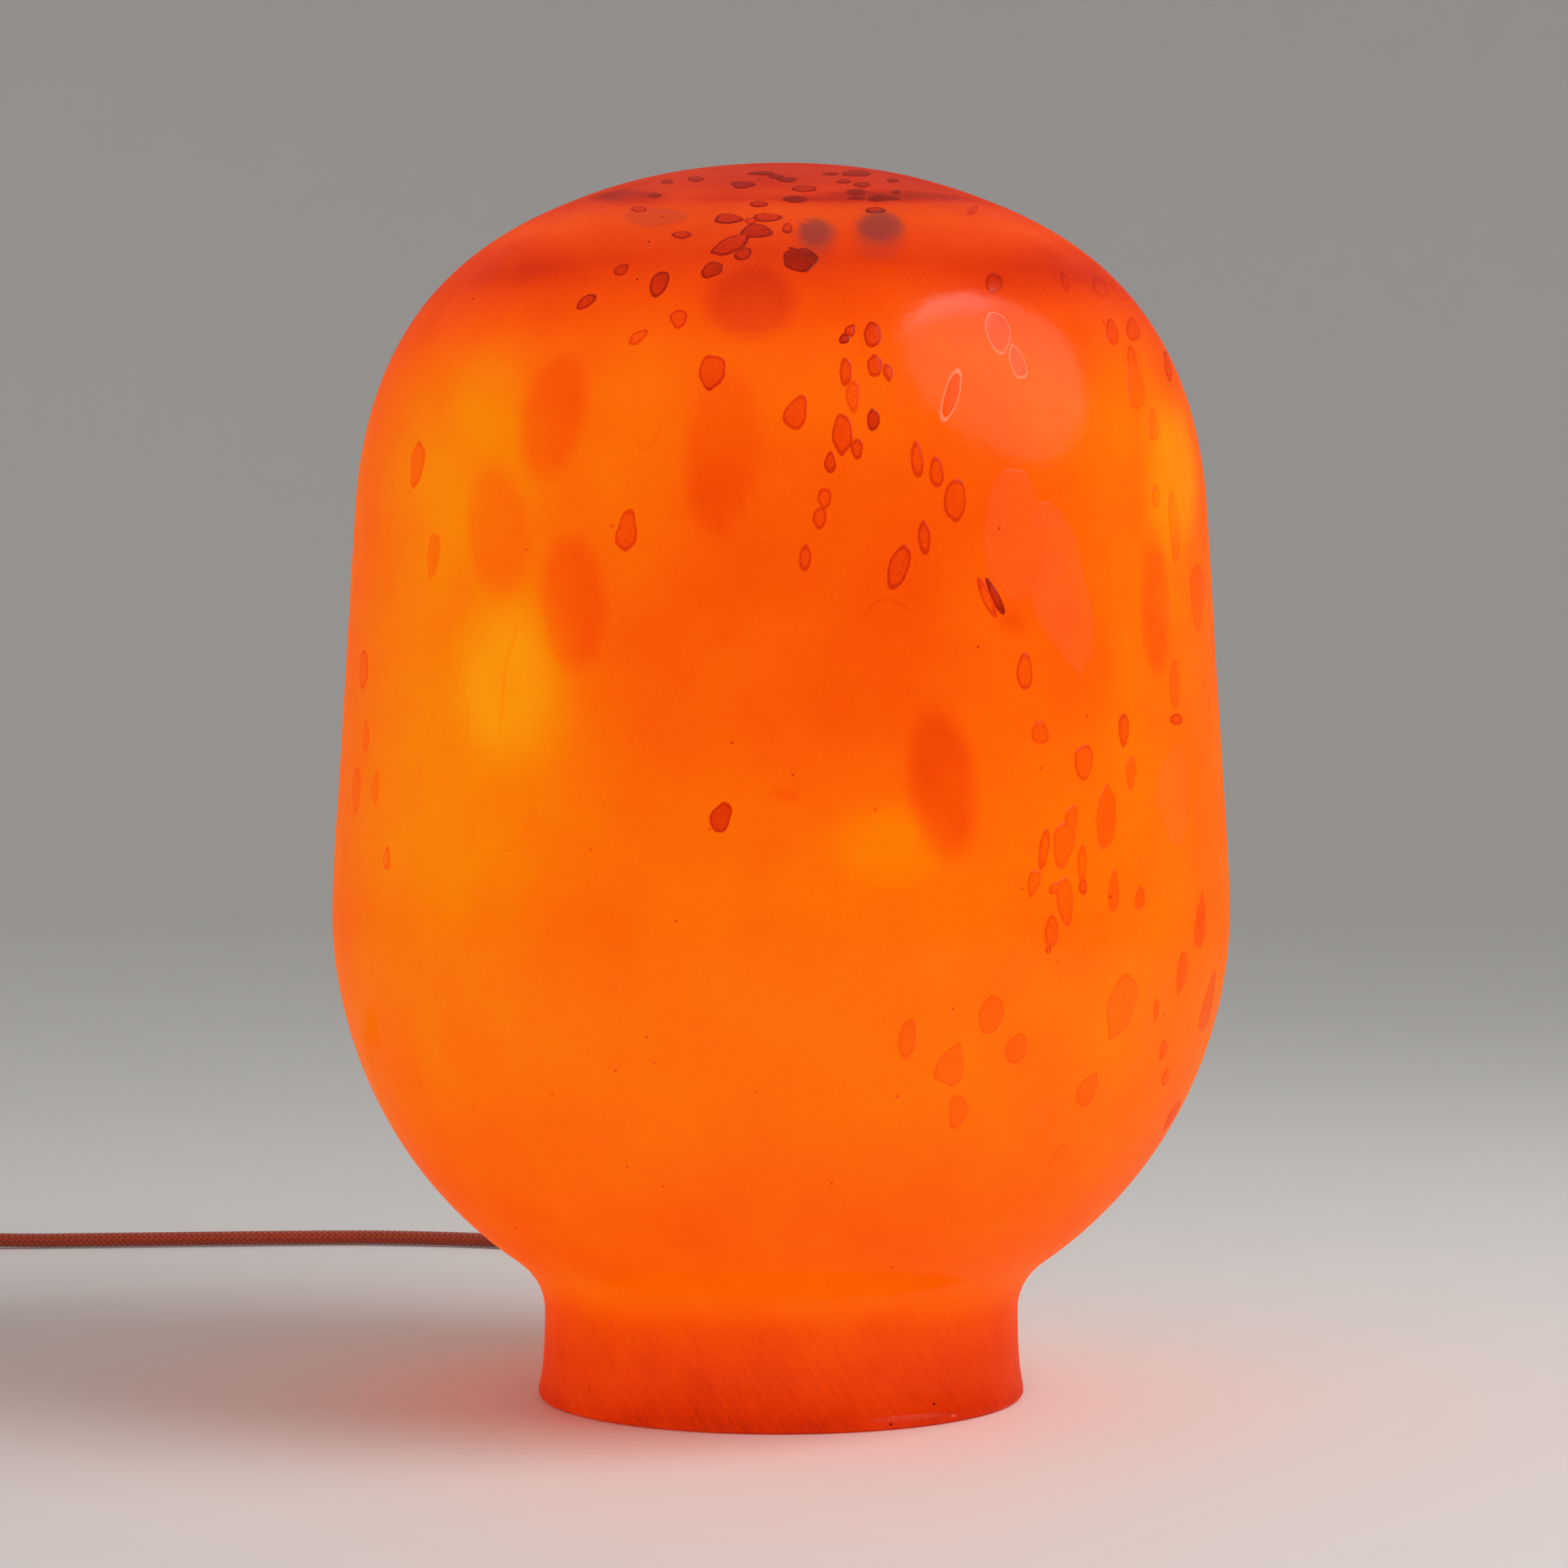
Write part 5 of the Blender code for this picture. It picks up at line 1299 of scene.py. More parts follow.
    def soften(self, mesh: Mesh) -> None:
        """Gives the even shade its hand-blown surface and its glow.

        Args:
            mesh: The shade's mesh.
        """
        points = points_of(mesh).astype(float)
        angles = np.arctan2(points[:, 0], -points[:, 1])
        nearest, gaps = self.nearest(points)
        outside = gaps < self.wall / 3
        slopes = self.slopes[nearest]
        sunk = np.where(outside, self.sink(points), 0.0)
        points[:, 0] += np.sin(angles) * slopes[:, 1] * sunk
        points[:, 1] += -np.cos(angles) * slopes[:, 1] * sunk
        points[:, 2] -= slopes[:, 0] * sunk
        mesh.vertices.foreach_set("co", points.astype(np.float32).ravel())
        glow, veil = self.light(angles, self.down[nearest])
        # The inner face glows less near the rim: painted shade of the base.
        inside = np.interp(points[:, 2], self.inside_fade, (self.row_glow[-1], self.inside_glow))
        glow = np.where(outside, glow, inside / LitGlass.full_glow)
        self.paint(mesh, glow, np.where(outside, veil, 0.0), np.zeros(len(points)))
        mesh.update()


FRONT_PATCHES = (
    # broad zones
    Patch(930, 800, 200, 190, -15, soft=1.2),
    Patch(1190, 760, 150, 190, -12, soft=1.2),
    Patch(1030, 600, 330, 130, -6, soft=1.2),
    Patch(545, 860, 120, 330, 20, soft=1.3),
    Patch(625, 838, 66, 92, 26, soft=1.1),
    Patch(560, 540, 100, 130, 14, soft=1.2),
    Patch(500, 1150, 90, 280, 2, soft=1.3),
    Patch(730, 440, 110, 50, 8, soft=1.2),
    Patch(780, 565, 60, 110, 12, soft=1.2),
    Patch(1400, 480, 40, 110, 12, soft=1.2),
    Patch(1450, 730, 24, 44, 12, soft=1.1),
    Patch(1330, 800, 40, 80, -10, soft=1.1),
    Patch(615, 318, 70, 30, -9, soft=1.2),
    Patch(1325, 322, 70, 32, -13, soft=1.2),
    Patch(725, 1712, 70, 44, 6, soft=1.2),
    Patch(1452, 585, 28, 90, 36, soft=1.0),
    Patch(1420, 950, 60, 330, 6, soft=1.3),
    Patch(1098, 1042, 66, 48, 13, soft=0.9),
    Patch(600, 490, 44, 60, 8, soft=1.0),
    # blurred ovals deeper in the glass
    Patch(890, 552, 46, 98, -9, lean=7, soft=0.26),
    Patch(884, 606, 40, 46, -5, lean=7, soft=0.30),
    Patch(888, 639, 10, 6, -13, soft=0.8),
    Patch(705, 745, 39, 82, -18, lean=-3, soft=0.30),
    Patch(680, 512, 37, 76, -19, lean=13, soft=0.45),
    Patch(612, 652, 36, 78, -15, lean=-6, soft=0.50),
    Patch(1162, 966, 40, 90, -24, lean=-6, soft=0.55),
    Patch(1425, 746, 16, 86, -20, lean=-1, soft=0.40),
    Patch(924, 370, 54, 44, -20, -0.05, soft=0.7),
    # blue-grey blots near the crown, their halos, and small dark specks
    Patch(1085, 275, 28, 18, 0, -0.22, soft=0.35),
    Patch(1085, 280, 29, 22, 0, -0.18, soft=0.5),
    Patch(1085, 289, 33, 30, 0, -0.14, soft=0.5),
    Patch(1087, 290, 44, 38, -2, 0.04, soft=0.4),
    Patch(1005, 283, 22, 15, 0, -0.18, soft=0.35),
    Patch(1005, 287, 22, 19, 0, -0.16, soft=0.4),
    Patch(1005, 291, 25, 23, 0, -0.14, soft=0.4),
    Patch(965, 981, 14, 6, -16, soft=0.8),
    Patch(1248, 768, 14, 7, -14, soft=0.9),
    Patch(897, 779, 18, 8, -6, soft=0.9),
    # dull top of the crown, and the red band across it
    Patch(966, 222, 300, 50, 0, -0.12, soft=0.9),
    Patch(1095, 241, 110, 7, -24, soft=0.9),
    Patch(770, 241, 44, 8, -20, soft=0.9),
    Patch(930, 244, 90, 4, -12, soft=0.9),
)


DARK, MID, THIN, FILM, FAINT, GHOST, CLOT, PALE, HAZE = Tone


@dataclass(frozen=True)
class Chip:
    """A fused chip by the photo's pixels: middle, width and length as seen, lean from upright, and tone."""

    x: float
    y: float
    wide: float
    tall: float
    lean: float = 0.0
    tone: Tone = MID
    veil: float = 0.0


CHIP_GROUPS: dict[str, tuple[Chip, ...]] = {
    "chips_crown": (
        Chip(897, 269, 36, 13, 0, DARK), Chip(945, 267, 38, 11, 0, DARK), Chip(925, 272, 16, 9),
        Chip(935, 251, 24, 8, 0, DARK), Chip(787, 257, 22, 8), Chip(806, 240, 20, 7),
        Chip(822, 223, 17, 6), Chip(857, 220, 22, 7), Chip(840, 289, 26, 10), Chip(970, 281, 14, 14, 30),
        Chip(915, 227, 30, 9), Chip(938, 213, 34, 5), Chip(956, 217, 20, 5), Chip(970, 221, 26, 6),
        Chip(991, 232, 32, 8), Chip(980, 245, 33, 9, 0, DARK), Chip(1024, 214, 22, 4),
        Chip(1056, 213, 38, 8), Chip(1040, 223, 20, 5), Chip(1062, 227, 22, 7), Chip(1055, 236, 26, 8),
        Chip(1056, 243, 24, 6), Chip(1088, 243, 40, 9, 0, DARK), Chip(1100, 222, 16, 5),
        Chip(1104, 236, 13, 6), Chip(1079, 258, 27, 8, 0, DARK), Chip(1199, 258, 18, 9, -40, FAINT),
        Chip(986, 319, 44, 30, 0, DARK), Chip(989, 312, 6, 40, -66, CLOT), Chip(932, 284, 40, 18, 0, DARK),
        Chip(900, 301, 20, 54, 66), Chip(915, 313, 15, 24, 68), Chip(877, 332, 19, 30, 66, DARK),
        Chip(812, 349, 22, 36, 28, DARK), Chip(765, 332, 13, 21, 60, THIN),
        Chip(722, 371, 14, 30, 55, DARK), Chip(836, 392, 22, 25, 15), Chip(786, 415, 14, 30, 55),
    ),
    "hazy_ovals": (
        Chip(1250, 656, 76, 166, -2, HAZE, 0.030), Chip(1308, 726, 72, 222, -14, HAZE, 0.040),
        Chip(1447, 980, 38, 124, 0, HAZE, 0.025), Chip(806, 266, 84, 25, 0, HAZE, -0.14),
    ),
    "chips_trail": (
        Chip(877, 459, 33, 45, 12, DARK), Chip(981, 508, 28, 45, 20, DARK),
        Chip(1048, 406, 14, 17, 30, DARK), Chip(1040, 418, 13, 15, 50, CLOT),
        Chip(1075, 411, 22, 33, 0, DARK), Chip(1042, 457, 16, 37, 0, DARK),
        Chip(1078, 450, 20, 29, 0, DARK), Chip(1094, 458, 13, 24, -12, DARK),
        Chip(1051, 488, 18, 42, 0, THIN), Chip(1038, 535, 26, 53, 0, DARK),
        Chip(1076, 517, 17, 29, 0, CLOT), Chip(1056, 553, 16, 27, 0, DARK),
        Chip(1023, 570, 15, 29, 0, DARK), Chip(1016, 615, 18, 28, 0), Chip(1010, 640, 18, 30, 6),
        Chip(992, 688, 16, 36, 3), Chip(1130, 566, 16, 48, -5), Chip(1154, 582, 18, 40, -4),
        Chip(1177, 617, 28, 54, 2), Chip(1139, 664, 16, 45, -4), Chip(1108, 697, 26, 60, 18),
        Chip(1217, 737, 13, 58, -24), Chip(1227, 736, 11, 54, -26, CLOT), Chip(1263, 826, 20, 48),
        # These three pale chips lie in the softbox's reflection; their bright outlines, and the pink fill of
        # the last two, are painted highlights.
        Chip(1172, 488, 20, 70, 16, PALE), Chip(1230, 408, 30, 55, -14, PALE, 0.10),
        Chip(1254, 446, 19, 46, -18, PALE, 0.12), Chip(1225, 348, 22, 26, 0, FAINT),
        Chip(772, 655, 26, 54, 8, DARK), Chip(888, 1008, 26, 40, 20, CLOT),
    ),
    "chips_right": (
        Chip(1282, 902, 22, 30, -6, THIN), Chip(1336, 940, 23, 46, 3), Chip(1385, 900, 13, 44, 0, DARK),
        Chip(1394, 952, 13, 46, 2, FILM), Chip(1364, 1005, 25, 82, 3, FILM),
        Chip(1311, 1041, 26, 60, 8, THIN), Chip(1321, 1009, 17, 34, 4, THIN), Chip(1287, 1045, 13, 54, 8),
        Chip(1334, 1063, 12, 50, 0, THIN), Chip(1335, 1092, 11, 22, 0, DARK),
        Chip(1274, 1088, 16, 36, 14, THIN), Chip(1313, 1110, 21, 62, -4, THIN),
        Chip(1300, 1094, 12, 20, 45), Chip(1296, 1148, 17, 42, 4, THIN), Chip(1292, 1170, 8, 10, 20, DARK),
        Chip(1373, 1097, 14, 56, 2, FILM), Chip(1405, 1106, 13, 32, 6, FILM),
        Chip(1480, 1135, 13, 70, 4, FILM), Chip(1457, 1198, 12, 56, 8, FILM),
        Chip(1490, 1235, 11, 80, 13, FILM, -0.05), Chip(1312, 346, 9, 28, -15, GHOST),
        Chip(1357, 352, 17, 30, -28, GHOST), Chip(1380, 357, 13, 34, -38, GHOST),
        Chip(1371, 408, 15, 34, -10, THIN), Chip(1397, 405, 17, 30, -12, THIN),
        Chip(1395, 441, 12, 32, -4, THIN), Chip(1400, 475, 21, 62, -8, FAINT),
        Chip(1422, 524, 13, 42, -4, FAINT), Chip(1425, 612, 10, 30, 0, FAINT),
        Chip(1448, 650, 13, 90, -4, FAINT), Chip(1448, 842, 13, 62, 0, FAINT),
        Chip(1450, 886, 17, 15, 0, DARK), Chip(1477, 735, 17, 85, 0, FAINT), Chip(1440, 450, 8, 40, -8),
    ),
    "chips_low": (
        Chip(1382, 1241, 33, 84, 15, FAINT), Chip(1221, 1252, 30, 50, 16, FAINT),
        Chip(1118, 1280, 22, 52, 8, FAINT), Chip(1172, 1313, 34, 54, 18, FAINT),
        Chip(1253, 1291, 25, 40, 20, FAINT), Chip(1180, 1371, 23, 44, 10, FAINT),
        Chip(1340, 1344, 22, 46, 24, FAINT), Chip(1304, 1425, 13, 36, 38, GHOST),
        Chip(1425, 1245, 8, 32, 5, FILM), Chip(1434, 1294, 9, 28, 12, FILM),
        Chip(1437, 1328, 8, 24, 14, FAINT), Chip(1445, 1375, 9, 42, 30, FILM, -0.05),
        Chip(1264, 1310, 9, 12, 0, GHOST),
    ),
    # Painted highlight: a thin pale pink streak along the rim's lower edge, with a brighter dot near its
    # right end.
    "rim_glint": (
        Chip(1123, 1747, 112, 8, -5, HAZE, 0.08), Chip(1175, 1744, 8, 4, 0, HAZE, 0.30),
    ),
    "chips_left": (
        Chip(513, 572, 16, 58, 8, DARK), Chip(533, 683, 16, 58, 5, FILM), Chip(447, 825, 10, 50, 2),
        Chip(450, 905, 8, 40, 0, FAINT), Chip(438, 975, 10, 60, 3, FAINT), Chip(462, 972, 8, 44, 4, FAINT),
        Chip(476, 1058, 9, 30, 2),
    ),
}


@dataclass(frozen=True)
class Vein:
    """A faint line in the glass by the photo's pixels."""

    points: tuple[Pair, ...]
    drop: float = 7.0
    wide: float = 7.0


VEINS = (
    Vein(((552, 765), (554, 811), (563, 847), (574, 866), (576, 890), (577, 919), (591, 928),
          (608, 919), (615, 905)), 6),
    Vein(((638, 747), (634, 783), (625, 811), (620, 844), (616, 890), (614, 915)), 11),
    Vein(((559, 851), (538, 872), (524, 915), (518, 955), (524, 971), (540, 968), (560, 950), (572, 920)), 5),
    Vein(((600, 945), (586, 975), (582, 1010), (588, 1040), (608, 1052), (634, 1042), (650, 1012), (656, 980),
          (646, 955), (622, 944), (600, 945)), 4),
    Vein(((778, 528), (788, 546), (798, 556), (810, 534), (818, 503)), 9),
    Vein(((1062, 776), (1066, 758), (1076, 745), (1092, 739), (1110, 743), (1122, 755), (1126, 768)), 9),
    Vein(((580, 612), (586, 690), (604, 732), (640, 738)), 4),
)


@dataclass
class FusedChips:
    """Small glass chips fused flush into the shade, each a thin lens with an irregular outline."""

    glass: GlassShade
    rise: float = 0.00022
    sunk: float = 0.00055
    edge_drop: float = 0.00006
    outline_width: float = 0.00045
    side_length: float = 0.0008
    side_counts: Pair = (24, 72)
    least_glow: float = 0.20
    # Pale pink on the pale chips' outlines, a painted highlight.
    pale_rim_glint: float = 0.50
    vein_rise: float = 0.00004
    vein_step: float = 6.0
    vein_form: tuple[Pair, ...] = (
        (1.0, -1.0), (0.4, 0.6), (0.0, 1.0), (-0.4, 0.6), (-1.0, -1.0), (0.0, -6.0),
    )  # places across a vein, in half widths, and their lifts
    vein_end: float = 0.15
    vein_swell: float = 4.0
    taper: float = 0.24
    pinches: tuple[float, ...] = (0.0, 0.0, 0.08, 0.20)
    wobbles: tuple[Triple, ...] = ((3, 0.01, 0.09), (5, 0.0, 0.05), (9, 0.0, 0.02))
    most_rise: float = 0.05
    plain_rise: float = 0.4
    most_line: float = 0.30
    pale_line: float = 0.6
    under: float = 0.9
    rear_trails: int = 9
    rear_first: float = 96.0
    rear_spread: float = 168.0
    rear_limits: Pair = (92.0, 268.0)
    rear_top: Pair = (0.03, 0.09)
    rear_deep: float = 0.2
    rear_end: float = 0.33
    rear_step: Pair = (0.006, 0.030)
    rear_drift: Pair = (-6.0, 5.0)
    rear_width: Pair = (0.0028, 0.0065)
    rear_length: Pair = (1.4, 3.0)
    rear_lean: Pair = (-16.0, 22.0)
    seed: int = 5

    def __post_init__(self) -> None:
        """Starts the source of chance."""
        self.draw = random.Random(self.seed)

    def outline(self, sides: int) -> np.ndarray:
        """An irregular oval of half sizes 1.

        Args:
            sides: Points round it.

        Returns:
            Its points, as (across, along).
        """
        angles = np.linspace(0.0, FULL_TURN, sides, endpoint=False)
        taper = self.draw.uniform(-self.taper, self.taper)
        pinch = self.draw.choice(self.pinches)
        across = np.cos(angles) * (1.0 + taper * np.sin(angles)) * (1.0 - pinch * np.abs(np.sin(angles)) ** 3)
        wobble = 1.0
        for waves, least, most in self.wobbles:
            size = self.draw.uniform(least, most)
            wobble = wobble + size * np.cos(waves * angles + self.draw.uniform(0, 6))
        return np.stack((across * wobble, np.sin(angles) * wobble), axis=1)

    def seat(self, spot: Spot, offsets: np.ndarray, lifts: np.ndarray) -> np.ndarray:
        """Points at offsets from a spot, laid on the glass and lifted from it.

        Args:
            spot: The spot.
            offsets: (to the right, down the slope) of each point.
            lifts: Height of each point over the glass.

        Returns:
            The points.
        """
        loose = spot.point + offsets[:, :1] * spot.around + offsets[:, 1:] * spot.slope
        radii = np.hypot(loose[:, 0], loose[:, 1])
        nearest = self.glass.nearest(loose)[0]
        line, slopes = self.glass.line[nearest], self.glass.slopes[nearest]
        past = np.stack((radii, loose[:, 2]), axis=1) - line
        line = line + slopes * np.sum(past * slopes, axis=1)[:, None]
        ways = loose[:, :2] / np.maximum(radii, 1e-9)[:, None]
        flat = np.concatenate((ways * line[:, :1], line[:, 1:]), axis=1)
        lifts = lifts - self.glass.sink(flat)
        flat[:, 0] -= ways[:, 0] * slopes[:, 1] * lifts
        flat[:, 1] -= ways[:, 1] * slopes[:, 1] * lifts
        flat[:, 2] += slopes[:, 0] * lifts
        return np.clip(flat, *self.glass.box)

    def lens(self, shape: Shape, spot: Spot, spread: np.ndarray, tone: Tone, veil: float = 0.0) -> None:
        """Adds one chip, with the (glow drop, stipple, share of pale pink and ink) of each of its points.

        Args:
            shape: The mesh it goes into.
            spot: Its middle.
            spread: The matrix that turns a circle of radius 1 into the chip, round the glass and down it.
            tone: How deep its colour is.
            veil: Its share of pale pink above 0, and of ink below 0.
        """
        least, most = self.side_counts
        longest, shortest = 2 * np.linalg.svd(spread)[1]
        sides = int(min(most, max(least, math.pi * longest / self.side_length)))
        turned = self.outline(sides) @ spread.T
        plain = tone in (GHOST, HAZE)
        rise = min(self.rise, self.most_rise * shortest) * (self.plain_rise if plain else 1.0)
        grain = 0.0 if plain else 1.0
        inside, edge = tone.value
        width = self.outline_width * (self.pale_line if tone is PALE else 1.0)
        line = min(self.most_line, width / (shortest / 2))
        # The pale chips' outlines get strong pale pink, a painted highlight; other chips' outlines get half
        # of the chip's own share.
        rim_tint_and_sheen = self.pale_rim_glint if tone is PALE else veil / 2
        rings = (
            (0.40, 0.95, inside, grain, veil),
            (1.0 - 1.9 * line, 0.80, inside, grain, veil),
            (1.0 - 1.3 * line, 0.70, edge, 0.6 * grain, rim_tint_and_sheen),
            (1.0 - 0.4 * line, 0.45, edge, 0.4 * grain, rim_tint_and_sheen),
            (1.0, -self.edge_drop / rise, edge, 0.0, rim_tint_and_sheen),
        )
        offsets, lifts, drops = [np.zeros((1, 2))], [rise], [(inside, grain, veil)]
        for share, lift, drop, stipple, pink_sheen_and_tint in rings:
            offsets.append(turned * share)
            lifts += [rise * lift] * sides
            drops += [(drop, stipple, pink_sheen_and_tint)] * sides
        offsets += [turned * self.under, np.zeros((1, 2))]
        lifts += [-self.sunk] * (sides + 1)
        drops += [(edge, 0.0, 0.0)] * (sides + 1)
        faces: list[list[int]] = []
        last = 1 + len(rings) * sides
        for number in range(sides):
            after = (number + 1) % sides
            faces.append([0, 1 + after, 1 + number])
            for near in range(1, last, sides):
                far = near + sides
                faces.append([near + number, near + after, far + after, far + number])
            faces.append([last + number, last + after, last + sides])
        shape.add(self.seat(spot, np.concatenate(offsets), np.array(lifts)), faces)
        shape.drops += drops

    def thread(self, shape: Shape, vein: Vein) -> None:
        """Adds one vein, a thin strip that swells out of the glass along its middle.

        Args:
            shape: The mesh it goes into.
            vein: The vein.
        """
        path = smooth_route([(x, y, 0.0) for x, y in vein.points], self.vein_step)[:, :2]
        ways = unit_rows(np.gradient(path, axis=0))
        lifts = np.array([self.vein_rise * lift for _, lift in self.vein_form])
        rings = []
        for row, ((x, y), (right, down)) in enumerate(zip(path, ways)):
            spot = self.glass.spot_at(x, y)
            from_end = min(row, len(path) - 1 - row)
            share = min(1.0, self.vein_end + self.vein_swell * from_end / len(path))
            across = self.glass.laid(spot) @ np.array((down, -right)) * vein.wide / 2 * share
            offsets = np.array([across * side for side, _ in self.vein_form])
            rings.append(self.seat(spot, offsets, lifts))
            shape.drops += [(vein.drop * share * max(0.0, lift), 0.0, 0.0) for _, lift in self.vein_form]
        shape.skin(np.array(rings))

    def rear(self) -> Shape:
        """Makes the chips of the side that the photo doesn't show, in trails that run down it.

        Returns:
            The chips.
        """
        draw, shape = self.draw, Shape()
        low, high = (math.radians(end) for end in self.rear_limits)
        for trail in range(self.rear_trails):
            angle = math.radians(self.rear_first + self.rear_spread * trail / (self.rear_trails - 1))
            down = draw.uniform(*self.rear_top)
            while down < self.rear_end:
                down += draw.uniform(*self.rear_step)
                angle += math.radians(draw.uniform(*self.rear_drift))
                if not low < angle < high:
                    break
                tones = (DARK, MID, MID) if down < self.rear_deep else (MID, FAINT)
                tone = draw.choice(tones)
                wide = draw.uniform(*self.rear_width)
                tall = wide * draw.uniform(*self.rear_length)
                spread = lean_axes(draw.uniform(*self.rear_lean)) @ np.diag((wide / 2, tall / 2))
                self.lens(shape, self.glass.spot(angle, down), spread, tone)
        return shape

    def settle(self, name: str, shape: Shape) -> None:
        """Turns a group of chips into a piece with its glow.

        Args:
            name: The piece's name.
            shape: The chips.
        """
        mesh = shape.mesh(name, 60.0)
        points = np.array(shape.points)
        downs = self.glass.down[self.glass.nearest(points)[0]]
        glow, veil = self.glass.light(np.arctan2(points[:, 0], -points[:, 1]), downs)
        drop, stipple, pink_sheen_and_tint = np.array(shape.drops).T
        deeper = np.clip(glow - drop / LitGlass.full_glow, self.least_glow, 1.0)
        self.glass.paint(mesh, deeper, veil + pink_sheen_and_tint, stipple)
        settle(name, mesh, Finish.GLASS, body=Body.GLASS)

    def build(self) -> None:
        """Makes the chips and veins that the photo shows, then the chips of the far side."""
        for name, chips in CHIP_GROUPS.items():
            shape = Shape()
            for chip in chips:
                spot = self.glass.spot_at(chip.x, chip.y)
                spread = self.glass.laid(spot) @ lean_axes(chip.lean)
                spread = spread @ np.diag((chip.wide / 2, chip.tall / 2))
                self.lens(shape, spot, spread, chip.tone, chip.veil)
            self.settle(name, shape)
        veins = Shape()
        for vein in VEINS:
            self.thread(veins, vein)
        self.settle("glass_veins", veins)
        self.settle("chips_rear", self.rear())


# Base


@dataclass
class CrossScrew:
    """A pan-head screw with a cross recess, its head facing down, sized by shares of its head and shaft."""

    head_height: float = 0.5
    head_edge: Pair = (0.82, 0.45)
    shaft: float = 0.46
    point: Pair = (0.5, 0.6)
    root: float = 0.82
    turns: int = 7
    slot_half: Pair = (0.56, 0.13)
    slot_depth: float = 0.30
    slot_edge: float = 0.02
    sides: int = 32

    def outline(self, head: float, length: float) -> list[Pair]:
        """Gives the outline that the screw is turned from.

        Args:
            head: Radius of its head.
            length: From the head's lower face to the tip.

        Returns:
            (radius, height) points.
        """
        top, shaft = head * self.head_height, head * self.shaft
        thread = length - shaft - top
        points = [(0.0, length), (shaft * self.point[0], length - shaft * self.point[1])]
        for number in range(self.turns):
            for radius, step in ((shaft, 0.0), (shaft * self.root, 0.5)):
                points.append((radius, length - shaft - thread * (number + step) / self.turns))
        points += [(shaft, top), (head, top), (head, top * self.head_edge[1])]
        return points + [(head * self.head_edge[0], 0.0), (0.0, 0.0)]

    def build(self, node: str) -> Piece:
        """Makes the screw.

        Args:
            node: The frame's node it stands for.

        Returns:
            The piece.
        """
        low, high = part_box(node)
        middle = (low + high) / 2
        head = (high.x - low.x) / 2
        blank = Shape().turn(self.outline(head, high.z - low.z), self.sides).mesh("screw_blank", 30)
        corners = block(head * self.slot_half[0], head * self.slot_half[1])
        slots = []
        for turn in (0.0, QUARTER_TURN):
            turned = Matrix.Rotation(turn, 4, "Z")
            slots.append(Shape().plate([corners], 2 * head * self.slot_depth, head * self.slot_edge, turned))
        mesh = cut_away(f"{node}_cross", blank, slots)
        mesh.transform(Matrix.Translation((middle.x, middle.y, low.z)))
        return settle(f"{node}_cross", mesh, Finish.ZINC, node)


